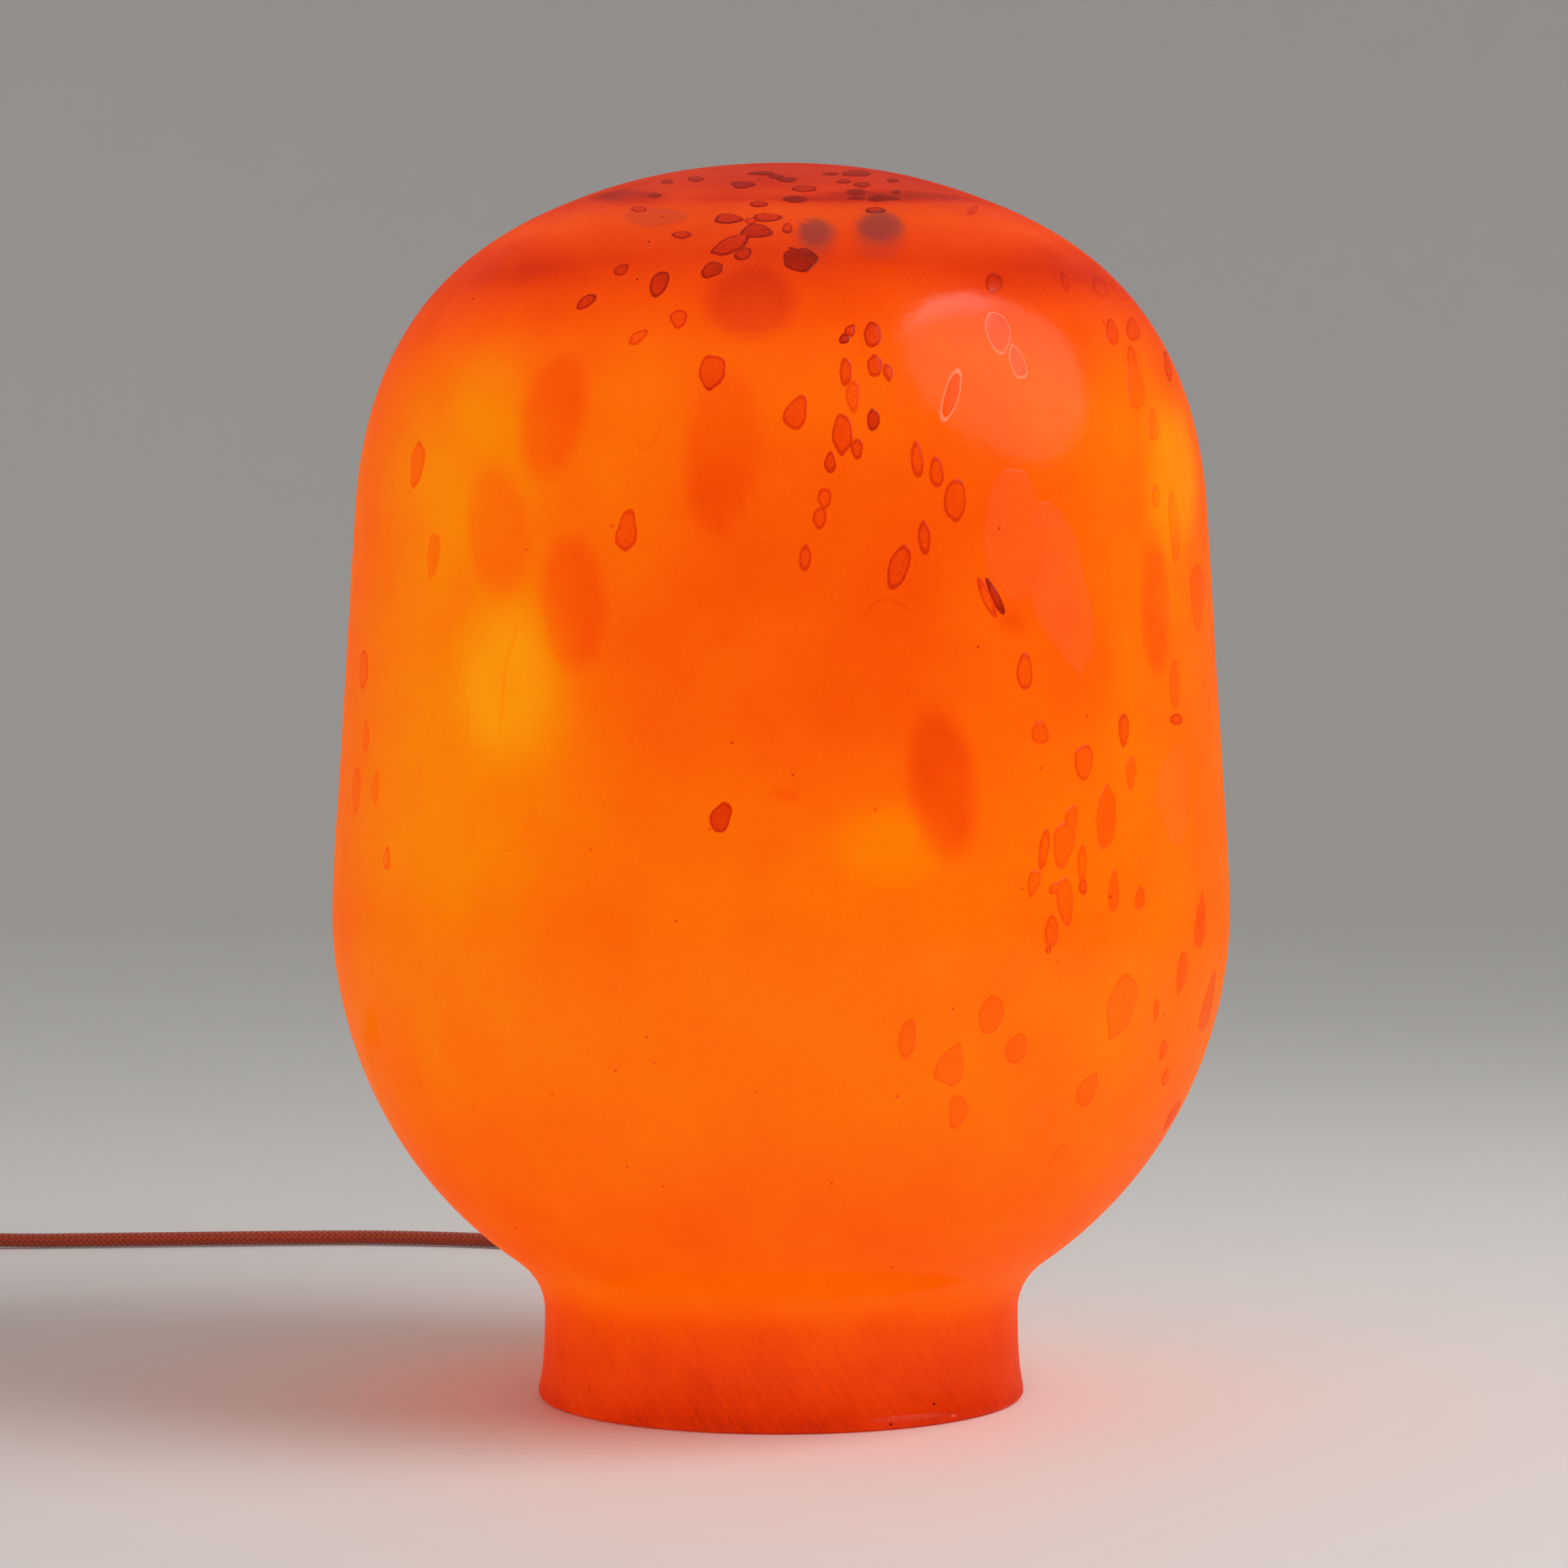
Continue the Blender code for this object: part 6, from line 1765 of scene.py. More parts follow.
@dataclass
class WeightedBase:
    """Plate, pads, cover, centring ring, boot and what is inside the cover."""

    plate_edge: float = 0.0005
    plate_groove: float = 0.0006
    groove_inset: float = 0.0035
    cover_radius: float = 0.0617
    cover_wall: float = 0.0024
    cover_round: float = 0.004
    rib_reach: float = 0.0032
    rib_thickness: float = 0.0010
    groove: float = 0.0029
    ring_radius: float = 0.0646
    ring_section: float = 0.0026
    ring_height: float = 0.0253
    hole: float = 0.0053
    pad_edge: float = 0.0007
    pad_dish: float = 0.0003
    pad_dish_edge: Pair = (0.72, 0.66)
    boot_height: float = 0.012
    boot_radius: float = 0.0045
    boot_end_radius: float = 0.0035
    boot_taper: float = 0.0734
    boot_nose: float = 0.003
    boot_flange: float = 0.0062
    boot_step: float = 0.0025
    boot_edge: float = 0.0003
    collar_rise: float = 0.00125
    boot_ribs: int = 6
    boot_rib_depth: float = 0.0006
    boot_rib_form: tuple[Pair, ...] = ((0.0, 0.0), (0.18, 1.0), (0.48, 1.0), (0.66, 0.0))
    sides: int = 128
    small_sides: int = 48

    def build(self) -> Piece:
        """Makes the base's pieces.

        Returns:
            The boot, which goes with the cord.
        """
        self.plate()
        self.cover()
        section = arc((self.ring_radius, self.ring_height), self.ring_section, 90, -270, 20)[:-1]
        ring = Shape().turn(section, self.sides, closed=True)
        ring.settle("centring_ring_soft", Finish.SILICONE, "centring_ring")
        boot = self.boot()
        for number in (1, 2, 3):
            self.pad(f"foot_pad_{number}")
        for number in (1, 2, 3):
            CrossScrew().build(f"cover_screw_{number}")
        dress(Finish.ZINC, "threaded_tube", "lock_washer", "tube_nut", "clamp_screw_1", "clamp_screw_2")
        dress(Finish.WHITE, "clamp_saddle", "clamp_bar")
        return boot

    def plate(self) -> None:
        """Makes the steel ballast plate, with a turned groove near its edge."""
        low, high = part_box("base_plate")
        edge, groove = self.plate_edge, self.plate_groove
        outline = [(0.0, high.z), (self.cover_radius - edge, high.z), (self.cover_radius, high.z - edge)]
        outline += [(self.cover_radius, low.z + edge), (self.cover_radius - edge, low.z)]
        middle = self.cover_radius - self.groove_inset
        outline += [(middle + groove, low.z), (middle, low.z + groove), (middle - groove, low.z)]
        outline.append((0.0, low.z))
        Shape().turn(outline, self.sides).settle("base_plate_turned", Finish.STEEL, "base_plate", sharp=25)

    def cover(self) -> None:
        """Makes the moulded cover with its two ribs and a round edge."""
        low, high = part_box("base_cover")
        centre = (self.cover_radius - self.cover_round, high.z - self.cover_round)
        outline = [(self.hole, high.z)] + arc(centre, self.cover_round, 90, 0, 8)
        reach = self.cover_radius + self.rib_reach
        nose = self.rib_thickness / 2
        for middle in (self.ring_height + self.groove + nose, self.ring_height - self.groove - nose):
            outline.append((self.cover_radius, middle + nose))
            outline += arc((reach - nose, middle), nose, 90, -90, 6)
            outline.append((self.cover_radius, middle - nose))
        bore = self.cover_radius - self.cover_wall
        ceiling = high.z - self.cover_wall
        outline += [(self.cover_radius, low.z), (bore, low.z), (bore, ceiling), (self.hole, ceiling)]
        cover = Shape().turn(outline, self.sides, closed=True)
        cover.settle("base_cover_moulded", Finish.WHITE, "base_cover", sharp=30)

    def pad(self, node: str) -> None:
        """Makes a round rubber foot with a soft edge and a shallow dish under it.

        Args:
            node: The frame's node it stands for.
        """
        low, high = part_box(node)
        radius = (high.x - low.x) / 2
        middle = (low + high) / 2
        height = high.z - low.z
        outline = [(0.0, height), (radius, height)]
        outline += arc((radius - self.pad_edge, self.pad_edge), self.pad_edge, 0, -90, 5)
        outer, inner = self.pad_dish_edge
        outline += [(radius * outer, 0.0), (radius * inner, self.pad_dish), (0.0, self.pad_dish)]
        pad = Shape().turn(outline, self.small_sides, place=Matrix.Translation((middle.x, middle.y, low.z)))
        pad.settle(f"{node}_soft", Finish.RUBBER, node)

    def boot(self) -> Piece:
        """Makes the tapered rubber boot with its flexing ribs, along +Y through the notch of the glass.

        Returns:
            The boot.
        """
        low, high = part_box("strain_relief")
        end, start = high.y, low.y
        wide, slim, edge, depth = self.boot_radius, self.boot_end_radius, self.boot_edge, self.boot_rib_depth
        outline = [(0.0, end), (slim - depth, end), (slim, end - depth)]
        pitch = (end - self.boot_nose - self.boot_taper) / self.boot_ribs
        for number in range(self.boot_ribs):
            for share, sunk in self.boot_rib_form:
                y = end - self.boot_nose - pitch * number - share * pitch
                full = slim + (wide - slim) * (end - y) / (end - self.boot_taper)
                outline.append((full - depth * sunk, y))
        collar = wide + self.collar_rise
        collar_in = self.cover_radius + edge
        collar_out = collar_in + self.boot_step
        flange_out = start + self.boot_step
        outline += [(wide, self.boot_taper), (wide, collar_out), (collar - edge, collar_out)]
        outline += [(collar, collar_out - edge), (collar, collar_in + edge), (collar - edge, collar_in)]
        outline += [(wide, collar_in), (wide, flange_out), (self.boot_flange, flange_out)]
        outline += [(self.boot_flange, start), (0.0, start)]
        place = Matrix.Translation((0.0, 0.0, self.boot_height)) @ Matrix.Rotation(-QUARTER_TURN, 4, "X")
        boot = Shape().turn(outline, self.small_sides, place=place)
        return boot.settle("strain_relief_ribbed", Finish.RUBBER, "strain_relief", sharp=50)


# Lampholder and bulb


@dataclass
class Lampholder:
    """The two-part holder: a domed cap and a body with grip flutes, over its carried-over inner pieces."""

    radius: float = 0.01935
    bore: float = 0.01675
    mouth: float = 0.01495
    foot_radius: float = 0.0105
    skirt: float = 0.005
    wall: float = 0.0026
    boss: float = 0.004
    lip: float = 0.0025
    hole: float = 0.0053
    edge: float = 0.0006
    band: float = 0.005
    flutes: int = 36
    flute_depth: float = 0.0005
    flute_end: float = 0.002
    rows: int = 12
    cap_sides: int = 96
    sides: int = 144

    def build(self) -> None:
        """Makes the holder's pieces."""
        dress(Finish.CERAMIC, "holder_insert")
        dress(Finish.BRASS, "screw_shell", "centre_contact", "terminal_screw_1", "terminal_screw_2")
        self.cap()
        self.sleeve()

    def cap(self) -> None:
        """Makes the domed cap under the body."""
        low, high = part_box("holder_cap")
        skirt = high.z - self.skirt
        drop = skirt - low.z
        outline = [(self.radius - self.edge, high.z), (self.radius, high.z - self.edge)]
        for x, y in arc((0.0, 0.0), 1.0, 0, -90, 14):
            outline.append((self.foot_radius + (self.radius - self.foot_radius) * x, skirt + drop * y))
        outline += [(self.hole, low.z), (self.hole, low.z + self.boss)]
        spread = self.radius - self.wall - self.foot_radius
        for x, y in arc((0.0, 0.0), 1.0, -90, 0, 10):
            outline.append((self.foot_radius + spread * x, skirt + (drop - self.boss) * y))
        outline += [(self.mouth, high.z - self.lip), (self.mouth, high.z)]
        cap = Shape().turn(outline, self.cap_sides, closed=True)
        cap.settle("holder_cap_domed", Finish.WHITE, "holder_cap", sharp=30)

    def sleeve(self) -> None:
        """Makes the body, with flutes to grip it by between two plain bands."""
        low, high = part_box("holder_body")
        top = high.z - self.band
        outline = [(self.mouth, high.z), (self.radius - self.edge, high.z), (self.radius, high.z - self.edge)]
        for number in range(self.rows + 1):
            outline.append((self.radius, top - (high.z - low.z - 2 * self.band) * number / self.rows))
        outline += [(self.radius, low.z), (self.bore, low.z), (self.bore, high.z - self.lip)]
        outline.append((self.mouth, high.z - self.lip))
        sleeve = Shape().turn(outline, self.sides, closed=True)
        far, angles, z = sleeve.polar()
        fade = np.clip(np.minimum(top - z, z - low.z - self.band) / self.flute_end, 0.0, 1.0)
        fade = np.where(far > self.radius - self.edge / 2, fade, 0.0)
        sleeve.dent(fade * self.flute_depth * wave(self.flutes * angles) ** 2)
        sleeve.settle("holder_body_fluted", Finish.WHITE, "holder_body", sharp=40)


@dataclass
class LedBulb:
    """The bulb: a screw cap with a true thread, insulator and tip, a flared collar and a frosted globe."""

    thread_radius: float = 0.0131
    thread_depth: float = 0.0007
    thread_end: float = 0.002
    thread_rows: int = 64
    pitch: float = 0.003629
    cap_bore: float = 0.0116
    tip_radius: float = 0.0048
    tip_start: float = 0.15
    tip_sides: int = 48
    insulator_radius: float = 0.0118
    insulator_edge: float = 0.0004
    insulator_bow: float = 0.0006
    insulator_start: float = 0.33
    insulator_foot: float = 0.0006
    collar_foot: float = 0.0158
    collar_sides: int = 160
    collar_fins: int = 40
    fin_depth: float = 0.0005
    fin_span: Pair = (0.10, 0.88)
    fin_fade: float = 0.1
    spigot_length: float = 0.009
    spigot_gap: float = 0.0003
    collar_wall: float = 0.0018
    ledge_reach: float = 0.0025
    ledge_drop: float = 0.0029
    ledge_thickness: float = 0.006
    globe_radius: float = 0.030
    globe_wall: float = 0.0013
    globe_sink: float = 0.0092
    sides: int = 96

    def build(self) -> None:
        """Makes the bulb's pieces."""
        dress(Finish.BOARD, "driver_board")
        dress(Finish.ALUMINIUM, "led_board")
        self.cap()
        self.insulator()
        self.tip()
        self.collar()
        self.globe()

    def cap(self) -> None:
        """Makes the nickel screw cap, whose round thread runs round it as a helix."""
        low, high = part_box("bulb_cap")
        rows = self.thread_rows
        outline = [(self.thread_radius, high.z - (high.z - low.z) * n / rows) for n in range(rows + 1)]
        outline += [(self.cap_bore, low.z), (self.cap_bore, high.z)]
        cap = Shape().turn(outline, self.sides, closed=True)
        far, angles, z = cap.polar()
        ends = np.clip(np.minimum(high.z - z, z - low.z) / self.thread_end, 0.0, 1.0)
        thread = self.thread_depth * wave(FULL_TURN * (z / self.pitch - angles / FULL_TURN)) * ends
        cap.dent(np.where(far > self.cap_bore + 1e-5, thread, 0.0))
        cap.settle("bulb_cap_threaded", Finish.NICKEL, "bulb_cap", body=Body.BULB_SCREW, sharp=50)

    def insulator(self) -> None:
        """Makes the glazed black cone between the cap and its tip."""
        low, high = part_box("cap_insulator")
        wide, edge, start = self.insulator_radius, self.insulator_edge, self.insulator_start
        outline = [(0.0, high.z), (wide - edge, high.z)]
        outline += arc((wide - edge, high.z - edge), edge, 90, 0, 4)
        foot = self.tip_radius + self.insulator_foot
        for share in np.linspace(start, 1.0, 9):
            bow = math.sin(math.pi * (share - start) / (1.0 - start)) * self.insulator_bow
            radius = wide + (foot - wide) * (share - start) / (1.0 - start)
            outline.append((radius - bow, high.z - (high.z - low.z) * share))
        outline.append((0.0, low.z))
        cone = Shape().turn(outline, self.sides)
        cone.settle("cap_insulator_glazed", Finish.INSULATOR, "cap_insulator", body=Body.BULB_SCREW)

    def tip(self) -> None:
        """Makes the round contact at the cap's end."""
        low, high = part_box("cap_tip")
        half = (high.z - low.z) / 2
        outline = [(0.0, high.z), (self.tip_radius, high.z), (self.tip_radius, high.z - half)]
        for angle in np.linspace(self.tip_start, QUARTER_TURN, 8):
            outline.append((self.tip_radius * math.cos(angle), low.z + half * (1.0 - math.sin(angle))))
        outline[-1] = (0.0, low.z)
        tip = Shape().turn(outline, self.tip_sides)
        tip.settle("cap_tip_round", Finish.NICKEL, "cap_tip", body=Body.BULB_SCREW)

    def collar(self) -> None:
        """Makes the flared collar, with shallow upright grooves that fade out at its ends."""
        low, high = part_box("bulb_collar")
        seat = low.z + self.spigot_length
        edge = math.sqrt(self.globe_radius**2 - self.globe_sink**2)
        outline = []
        for share in np.linspace(0.0, 1.0, 25):
            swell = 0.5 + 0.5 * math.cos(math.pi * share)
            radius = self.collar_foot + (edge - self.collar_foot) * swell
            outline.append((radius, high.z - (high.z - seat) * share))
        spigot = self.cap_bore - self.spigot_gap
        inner = spigot - self.collar_wall
        outline += [(spigot, seat), (spigot, low.z), (inner, low.z), (inner, seat + self.ledge_thickness)]
        bore = edge - self.collar_wall
        ledge, ledge_top = bore - self.ledge_reach, high.z - self.ledge_drop
        outline += [(ledge, ledge_top - self.ledge_thickness), (ledge, ledge_top)]
        outline += [(bore, ledge_top), (bore, high.z)]
        collar = Shape().turn(outline, self.collar_sides, closed=True)
        far, angles, z = collar.polar()
        share = (z - seat) / (high.z - seat)
        full = self.collar_foot + (edge - self.collar_foot) * wave(math.pi * share)
        outside = (share > 0.0) & (share < 1.0) & (far > full - 1e-4)
        start, end = self.fin_span
        fade = np.clip(np.minimum(share - start, end - share) / self.fin_fade, 0.0, 1.0)
        collar.dent(np.where(outside, fade * self.fin_depth * wave(self.collar_fins * angles) ** 3, 0.0))
        collar.settle("bulb_collar_finned", Finish.WHITE, "bulb_collar", body=Body.BULB, sharp=45)

    def globe(self) -> None:
        """Makes the frosted globe, open below."""
        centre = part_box("bulb_globe")[1].z - self.globe_radius
        inner = self.globe_radius - self.globe_wall
        ends = [-math.degrees(math.asin(self.globe_sink / radius)) for radius in (self.globe_radius, inner)]
        outline = arc((0.0, centre), self.globe_radius, 90, ends[0], 40)
        outline += arc((0.0, centre), inner, ends[1], 90, 24)
        outline[0] = (0.0, centre + self.globe_radius)
        outline[-1] = (0.0, centre + inner)
        globe = Shape().turn(outline, self.sides)
        globe.settle("bulb_globe_frosted", Finish.OPAL, "bulb_globe", body=Body.BULB)


# Cord, switch and plug


def smooth_route(points: Sequence[Triple], spacing: float, floor: float = 0.0) -> np.ndarray:
    """Points an even step apart along a smooth curve through the given ones.

    Args:
        points: The points it passes.
        spacing: The step.
        floor: The lowest height it may have.

    Returns:
        The points.
    """
    known = [np.array(point, dtype=float) for point in points]
    known = [2 * known[0] - known[1]] + known + [2 * known[-1] - known[-2]]
    fine = [known[1]]
    for before, start, end, after in zip(known, known[1:], known[2:], known[3:]):
        bend = 2 * before - 5 * start + 4 * end - after
        twist = 3 * (start - end) + after - before
        for share in np.linspace(0.0, 1.0, 41)[1:]:
            fine.append(0.5 * (2 * start + (end - before) * share + bend * share**2 + twist * share**3))
    line = np.array(fine)
    line[:, 2] = np.maximum(line[:, 2], floor)
    along = lengths_along(line)
    at = np.linspace(0.0, along[-1], max(2, round(along[-1] / spacing) + 1))
    return np.stack([np.interp(at, along, line[:, axis]) for axis in range(3)], axis=1)


def length_of(path: np.ndarray) -> float:
    """The length of a line through points."""
    return float(np.linalg.norm(np.diff(path, axis=0), axis=1).sum())


@dataclass
class BraidedCord:
    """The textile cord: a run from the boot to the switch, then a link, a coil and a tail to the plug."""

    diameter: float = 0.0055
    exit_height: float = 0.012
    boot_end: float = 0.1041
    hidden: float = 0.004
    straight: float = 0.0003
    route: tuple[Pair, ...] = (
        (-0.002, 0.165), (-0.007, 0.200), (-0.017, 0.240), (-0.034, 0.280), (-0.060, 0.315),
        (-0.092, 0.3370), (-0.125, 0.3500), (-0.160, 0.3565), (-0.192, 0.3560), (-0.226, 0.3530),
        (-0.260, 0.3497), (-0.292, 0.3468),
    )
    switch_place: Pair = (-0.378, 0.345)
    switch_length: float = 0.060
    switch_split: float = 0.00715
    coil_place: Pair = (-0.455, 0.3039)
    coil_middle: float = 0.0330
    coil_step: float = 0.0063
    coil_rise: float = 0.0062
    coil_turns: float = 2.5
    coil_dip: float = 0.0012
    coil_low: float = 0.00395
    coil_points_per_turn: int = 24
    plug_start: float = -0.4149
    plug_height: float = 0.00685
    spacing: float = 0.0007
    path_spacing: float = 0.003
    sides: int = 24
    strands: float = 8.0
    lay: float = 0.019
    relief: float = 0.00016

    def run_points(self) -> list[Triple]:
        """Gives the route from inside the boot to inside the switch.

        Returns:
            The points it passes.
        """
        rest = self.diameter / 2
        inlet = self.switch_place[0] + self.switch_length / 2
        across = self.switch_place[1]
        return [
            (0.0, self.boot_end - self.hidden, self.exit_height),
            (0.0, self.boot_end + self.straight, self.exit_height),
            (0.0, self.boot_end + 0.014, self.exit_height - 0.0015),
            (-0.0004, self.boot_end + 0.036, rest + 0.0025),
            *[(x, y, rest) for x, y in self.route],
            (inlet + 0.030, across, rest + 0.0007),
            (inlet + 0.012, across, self.switch_split - 0.0012),
            (inlet + self.straight, across, self.switch_split),
            (inlet - self.hidden, across, self.switch_split),
        ]

    def coil_points(self) -> list[Triple]:
        """Gives the coil's middle line: inwards on the floor, up a layer in half a turn, and outwards on top.

        Returns:
            The points it passes.
        """
        inner = self.coil_middle - self.coil_step * self.coil_turns / 2
        turns = 2 * self.coil_turns + 0.5
        count = round(turns * self.coil_points_per_turn)
        points = []
        for number in range(count + 1):
            turn = turns * number / count
            climb = min(1.0, max(0.0, (turn - self.coil_turns) / 0.5))
            wound = turn if turn <= self.coil_turns else max(self.coil_turns, turn - 0.5)
            radius = inner + self.coil_step * abs(self.coil_turns - wound)
            radius -= self.coil_dip * math.sin(math.pi * climb)
            height = self.coil_low + self.coil_rise * (0.5 - 0.5 * math.cos(math.pi * climb))
            angle = math.radians(90 + 360 * turn)
            x = self.coil_place[0] + radius * math.cos(angle)
            points.append((x, self.coil_place[1] + radius * math.sin(angle), height))
        return points

    def rest_points(self) -> list[Triple]:
        """Gives the route from inside the switch, round the coil and into the plug.

        Returns:
            The points it passes.
        """
        outlet = self.switch_place[0] - self.switch_length / 2
        across = self.switch_place[1]
        outer = self.coil_middle + self.coil_step * self.coil_turns / 2
        coil_start = self.coil_place[0] + self.diameter
        entry, leave = self.coil_place[1] + outer, self.coil_place[1] - outer
        high = self.coil_low + self.coil_rise
        return [
            (outlet + self.hidden, across, self.switch_split),
            (outlet - self.straight, across, self.switch_split),
            (outlet - 0.012, across, self.switch_split - 0.0009),
            (coil_start + 0.012, entry, self.coil_low + 0.0004),
            (coil_start, entry, self.coil_low),
            *self.coil_points(),
            (coil_start, leave, high),
            (coil_start + 0.0106, leave, high - 0.0004),
            (self.plug_start - 0.010, leave, self.plug_height + 0.0004),
            (self.plug_start - self.straight, leave, self.plug_height),
            (self.plug_start + self.hidden, leave, self.plug_height),
        ]

    def girth(self, along: np.ndarray, angles: np.ndarray) -> np.ndarray:
        """The cord's radius, raised and sunk by the strands of its cover.

        Args:
            along: Length along the cord.
            angles: Angle round it.

        Returns:
            The radius at each.
        """
        turn = angles / FULL_TURN * self.strands
        run = along * self.strands / self.lay
        crossing = np.cos(FULL_TURN * (turn + run)) * np.cos(FULL_TURN * (turn - run))
        return self.diameter / 2 - self.relief * (0.5 - 0.5 * crossing)

    def stretch(self, name: str, points: Sequence[Triple], *nodes: str) -> Piece:
        """Makes one stretch of the cord as a braided tube that stands for nodes of the frame."""
        tube = Shape().sweep(smooth_route(points, self.spacing, self.diameter / 2), self.sides, self.girth)
        return tube.settle(name, Finish.TEXTILE, *nodes, sharp=80)

    def build(self) -> tuple[Piece, Piece]:
        """Makes the two stretches of the cord, and its end inside the base.

        Returns:
            The run to the switch, and the rest.
        """
        run = self.stretch("cord_to_switch", self.run_points(), "cord_run")
        rest = self.stretch("cord_to_plug", self.rest_points(), "cord_link", "cord_coil", "cord_tail")
        low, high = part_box("inner_cord")
        height = (low.z + high.z) / 2
        inside = [(0.0, y, height) for y in (high.y, (low.y + high.y) / 2, low.y)]
        self.stretch("cord_end_inside", inside, "inner_cord")
        return run, rest

    def declare(self, run: Piece, rest: Piece, switch: list, far: list) -> None:
        """Works out the length of each stretch of the cord's path; the lengths are not kept.

        Args:
            run: The stretch from the boot to the switch; not used.
            rest: The stretch from the switch to the plug; not used.
            switch: The pieces of the switch and the boot; not used.
            far: The pieces of the plug and the tie; not used.
        """
        run_path = smooth_route(self.run_points(), self.path_spacing, self.diameter / 2)
        rest_path = smooth_route(self.rest_points(), self.path_spacing, self.diameter / 2)
        length_of(run_path)
        length_of(rest_path)


@dataclass
class Leads:
    """The two cores that lead from the cord's end up through the tube to the terminals."""

    diameter: float = 0.0022
    spacing: float = 0.0030
    terminals: float = 0.014
    cord_height: float = 0.012
    straight: float = 0.006
    bend: Pair = (0.012, 0.004)
    foot: Pair = (0.002, 0.006)
    entry: float = 0.001
    leave: float = 0.002
    upright: float = 0.003
    sides: int = 16

    def build(self) -> None:
        """Makes both leads."""
        tube_low, tube_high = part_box("threaded_tube")
        for node, side, finish in (("lead_live", -1, Finish.BROWN), ("lead_neutral", 1, Finish.BLUE)):
            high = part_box(node)[1]
            near, far = side * self.spacing / 2, side * self.terminals / 2
            points = [
                (near, high.y, self.cord_height),
                (near, high.y - self.straight, self.cord_height),
                (near, self.bend[0], self.cord_height + self.bend[1]),
                (near, self.foot[0], tube_low.z - self.foot[1]),
                (near, 0.0, tube_low.z + self.entry),
                (near, 0.0, tube_high.z),
                (near, 0.0, tube_high.z + self.leave),
                (far, 0.0, high.z - self.upright),
                (far, 0.0, high.z),
            ]
            path = smooth_route(points, self.diameter / 2)
            lead = Shape().sweep(path, self.sides, lambda along, _: np.full_like(along, self.diameter / 2))
            lead.settle(f"{node}_core", finish, node)


@dataclass
class InlineSwitch:
    """The rocker switch on the cord: two rounded shells, a dished rocker and carried-over inner pieces."""

    place: Pair = (-0.378, 0.345)
    length: float = 0.060
    width: float = 0.024
    end_width: float = 0.011
    fullness: float = 4.0
    base_edge: float = 0.0016
    cover_edge: float = 0.0009
    rocker_length: float = 0.0190
    rocker_width: float = 0.0104
    rocker_rise: float = 0.0044
    rocker_dip: float = 0.0026
    rocker_dish: float = 1.6
    rocker_keel: float = 0.0042
    rocker_tilt: float = 8.0
    rocker_edge: float = 0.0004
    pivot: float = 0.0125
    pin_radius: float = 0.0010
    bar_half: Pair = (0.0003, 0.0016)
    bar_height: float = 0.0008
    bar_lift: float = 0.00085
    bar_share: float = 0.62
    bar_edge: float = 0.0001
    end_gap: float = 0.0008
    side_gap: float = 0.0003
    steps: int = 16

    def outline(self) -> list[Pair]:
        """Gives the switch's outline from above, fullest in the middle.

        Returns:
            Its points.
        """
        side = []
        for number in range(-self.steps, self.steps + 1):
            share = math.sin(math.pi / 2 * number / self.steps)
            full = 1.0 - abs(share) ** self.fullness
            half = self.end_width / 2 + (self.width - self.end_width) / 2 * full
            side.append((share * self.length / 2, half))
        return [(x, -y) for x, y in side] + side[::-1]

    def shell(self, node: str, loops: list[list[Pair]], edge: float) -> Piece:
        """Makes one of the two shells.

        Args:
            node: The frame's node it stands for.
            loops: Its outline and any opening.
            edge: Radius of its edges.

        Returns:
            The piece.
        """
        low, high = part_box(node)
        place = Matrix.Translation((*self.place, (low.z + high.z) / 2))
        shell = Shape().plate(loops, high.z - low.z, edge, place)
        return shell.settle(f"{node}_rounded", Finish.DARK, node, sharp=32)

    def rocker(self) -> Piece:
        """Makes the dished rocker with a raised bar at its on end.

        Returns:
            The piece.
        """
        half = self.rocker_length / 2
        outline = [(-half, -self.pin_radius), (-half / 2, -self.rocker_keel)]
        outline += [(half / 2, -self.rocker_keel), (half, -self.pin_radius)]
        for share in np.linspace(1.0, -1.0, 21):
            swell = (self.rocker_rise - self.rocker_dip) * abs(share) ** self.rocker_dish
            outline.append((share * half, self.rocker_dip + swell))
        tilt = Matrix.Rotation(math.radians(-self.rocker_tilt), 4, "Y")
        hinge = Matrix.Translation((*self.place, self.pivot)) @ tilt
        upright = hinge @ Matrix.Rotation(QUARTER_TURN, 4, "X")
        spot = hinge @ Matrix.Translation((half * self.bar_share, 0.0, self.rocker_dip + self.bar_lift))
        rocker = Shape().plate([outline], self.rocker_width, self.rocker_edge, upright)
        rocker.plate([block(*self.bar_half)], self.bar_height, self.bar_edge, spot)
        return rocker.settle("switch_rocker_dished", Finish.DARK, "switch_rocker", body=Body.ROCKER, sharp=32)

    def build(self) -> list[Piece]:
        """Makes the switch's pieces.

        Returns:
            The pieces.
        """
        dress(Finish.ZINC, "switch_pin")
        dress(Finish.BRASS, "switch_contact_1", "switch_contact_2")
        opening = block(self.rocker_length / 2 + self.end_gap, self.rocker_width / 2 + self.side_gap)
        pieces = [self.shell("switch_base", [self.outline()], self.base_edge)]
        pieces.append(self.shell("switch_cover", [self.outline(), opening], self.cover_edge))
        pieces.append(self.rocker())
        return pieces + [CrossScrew().build(f"switch_screw_{number}") for number in (1, 2)]


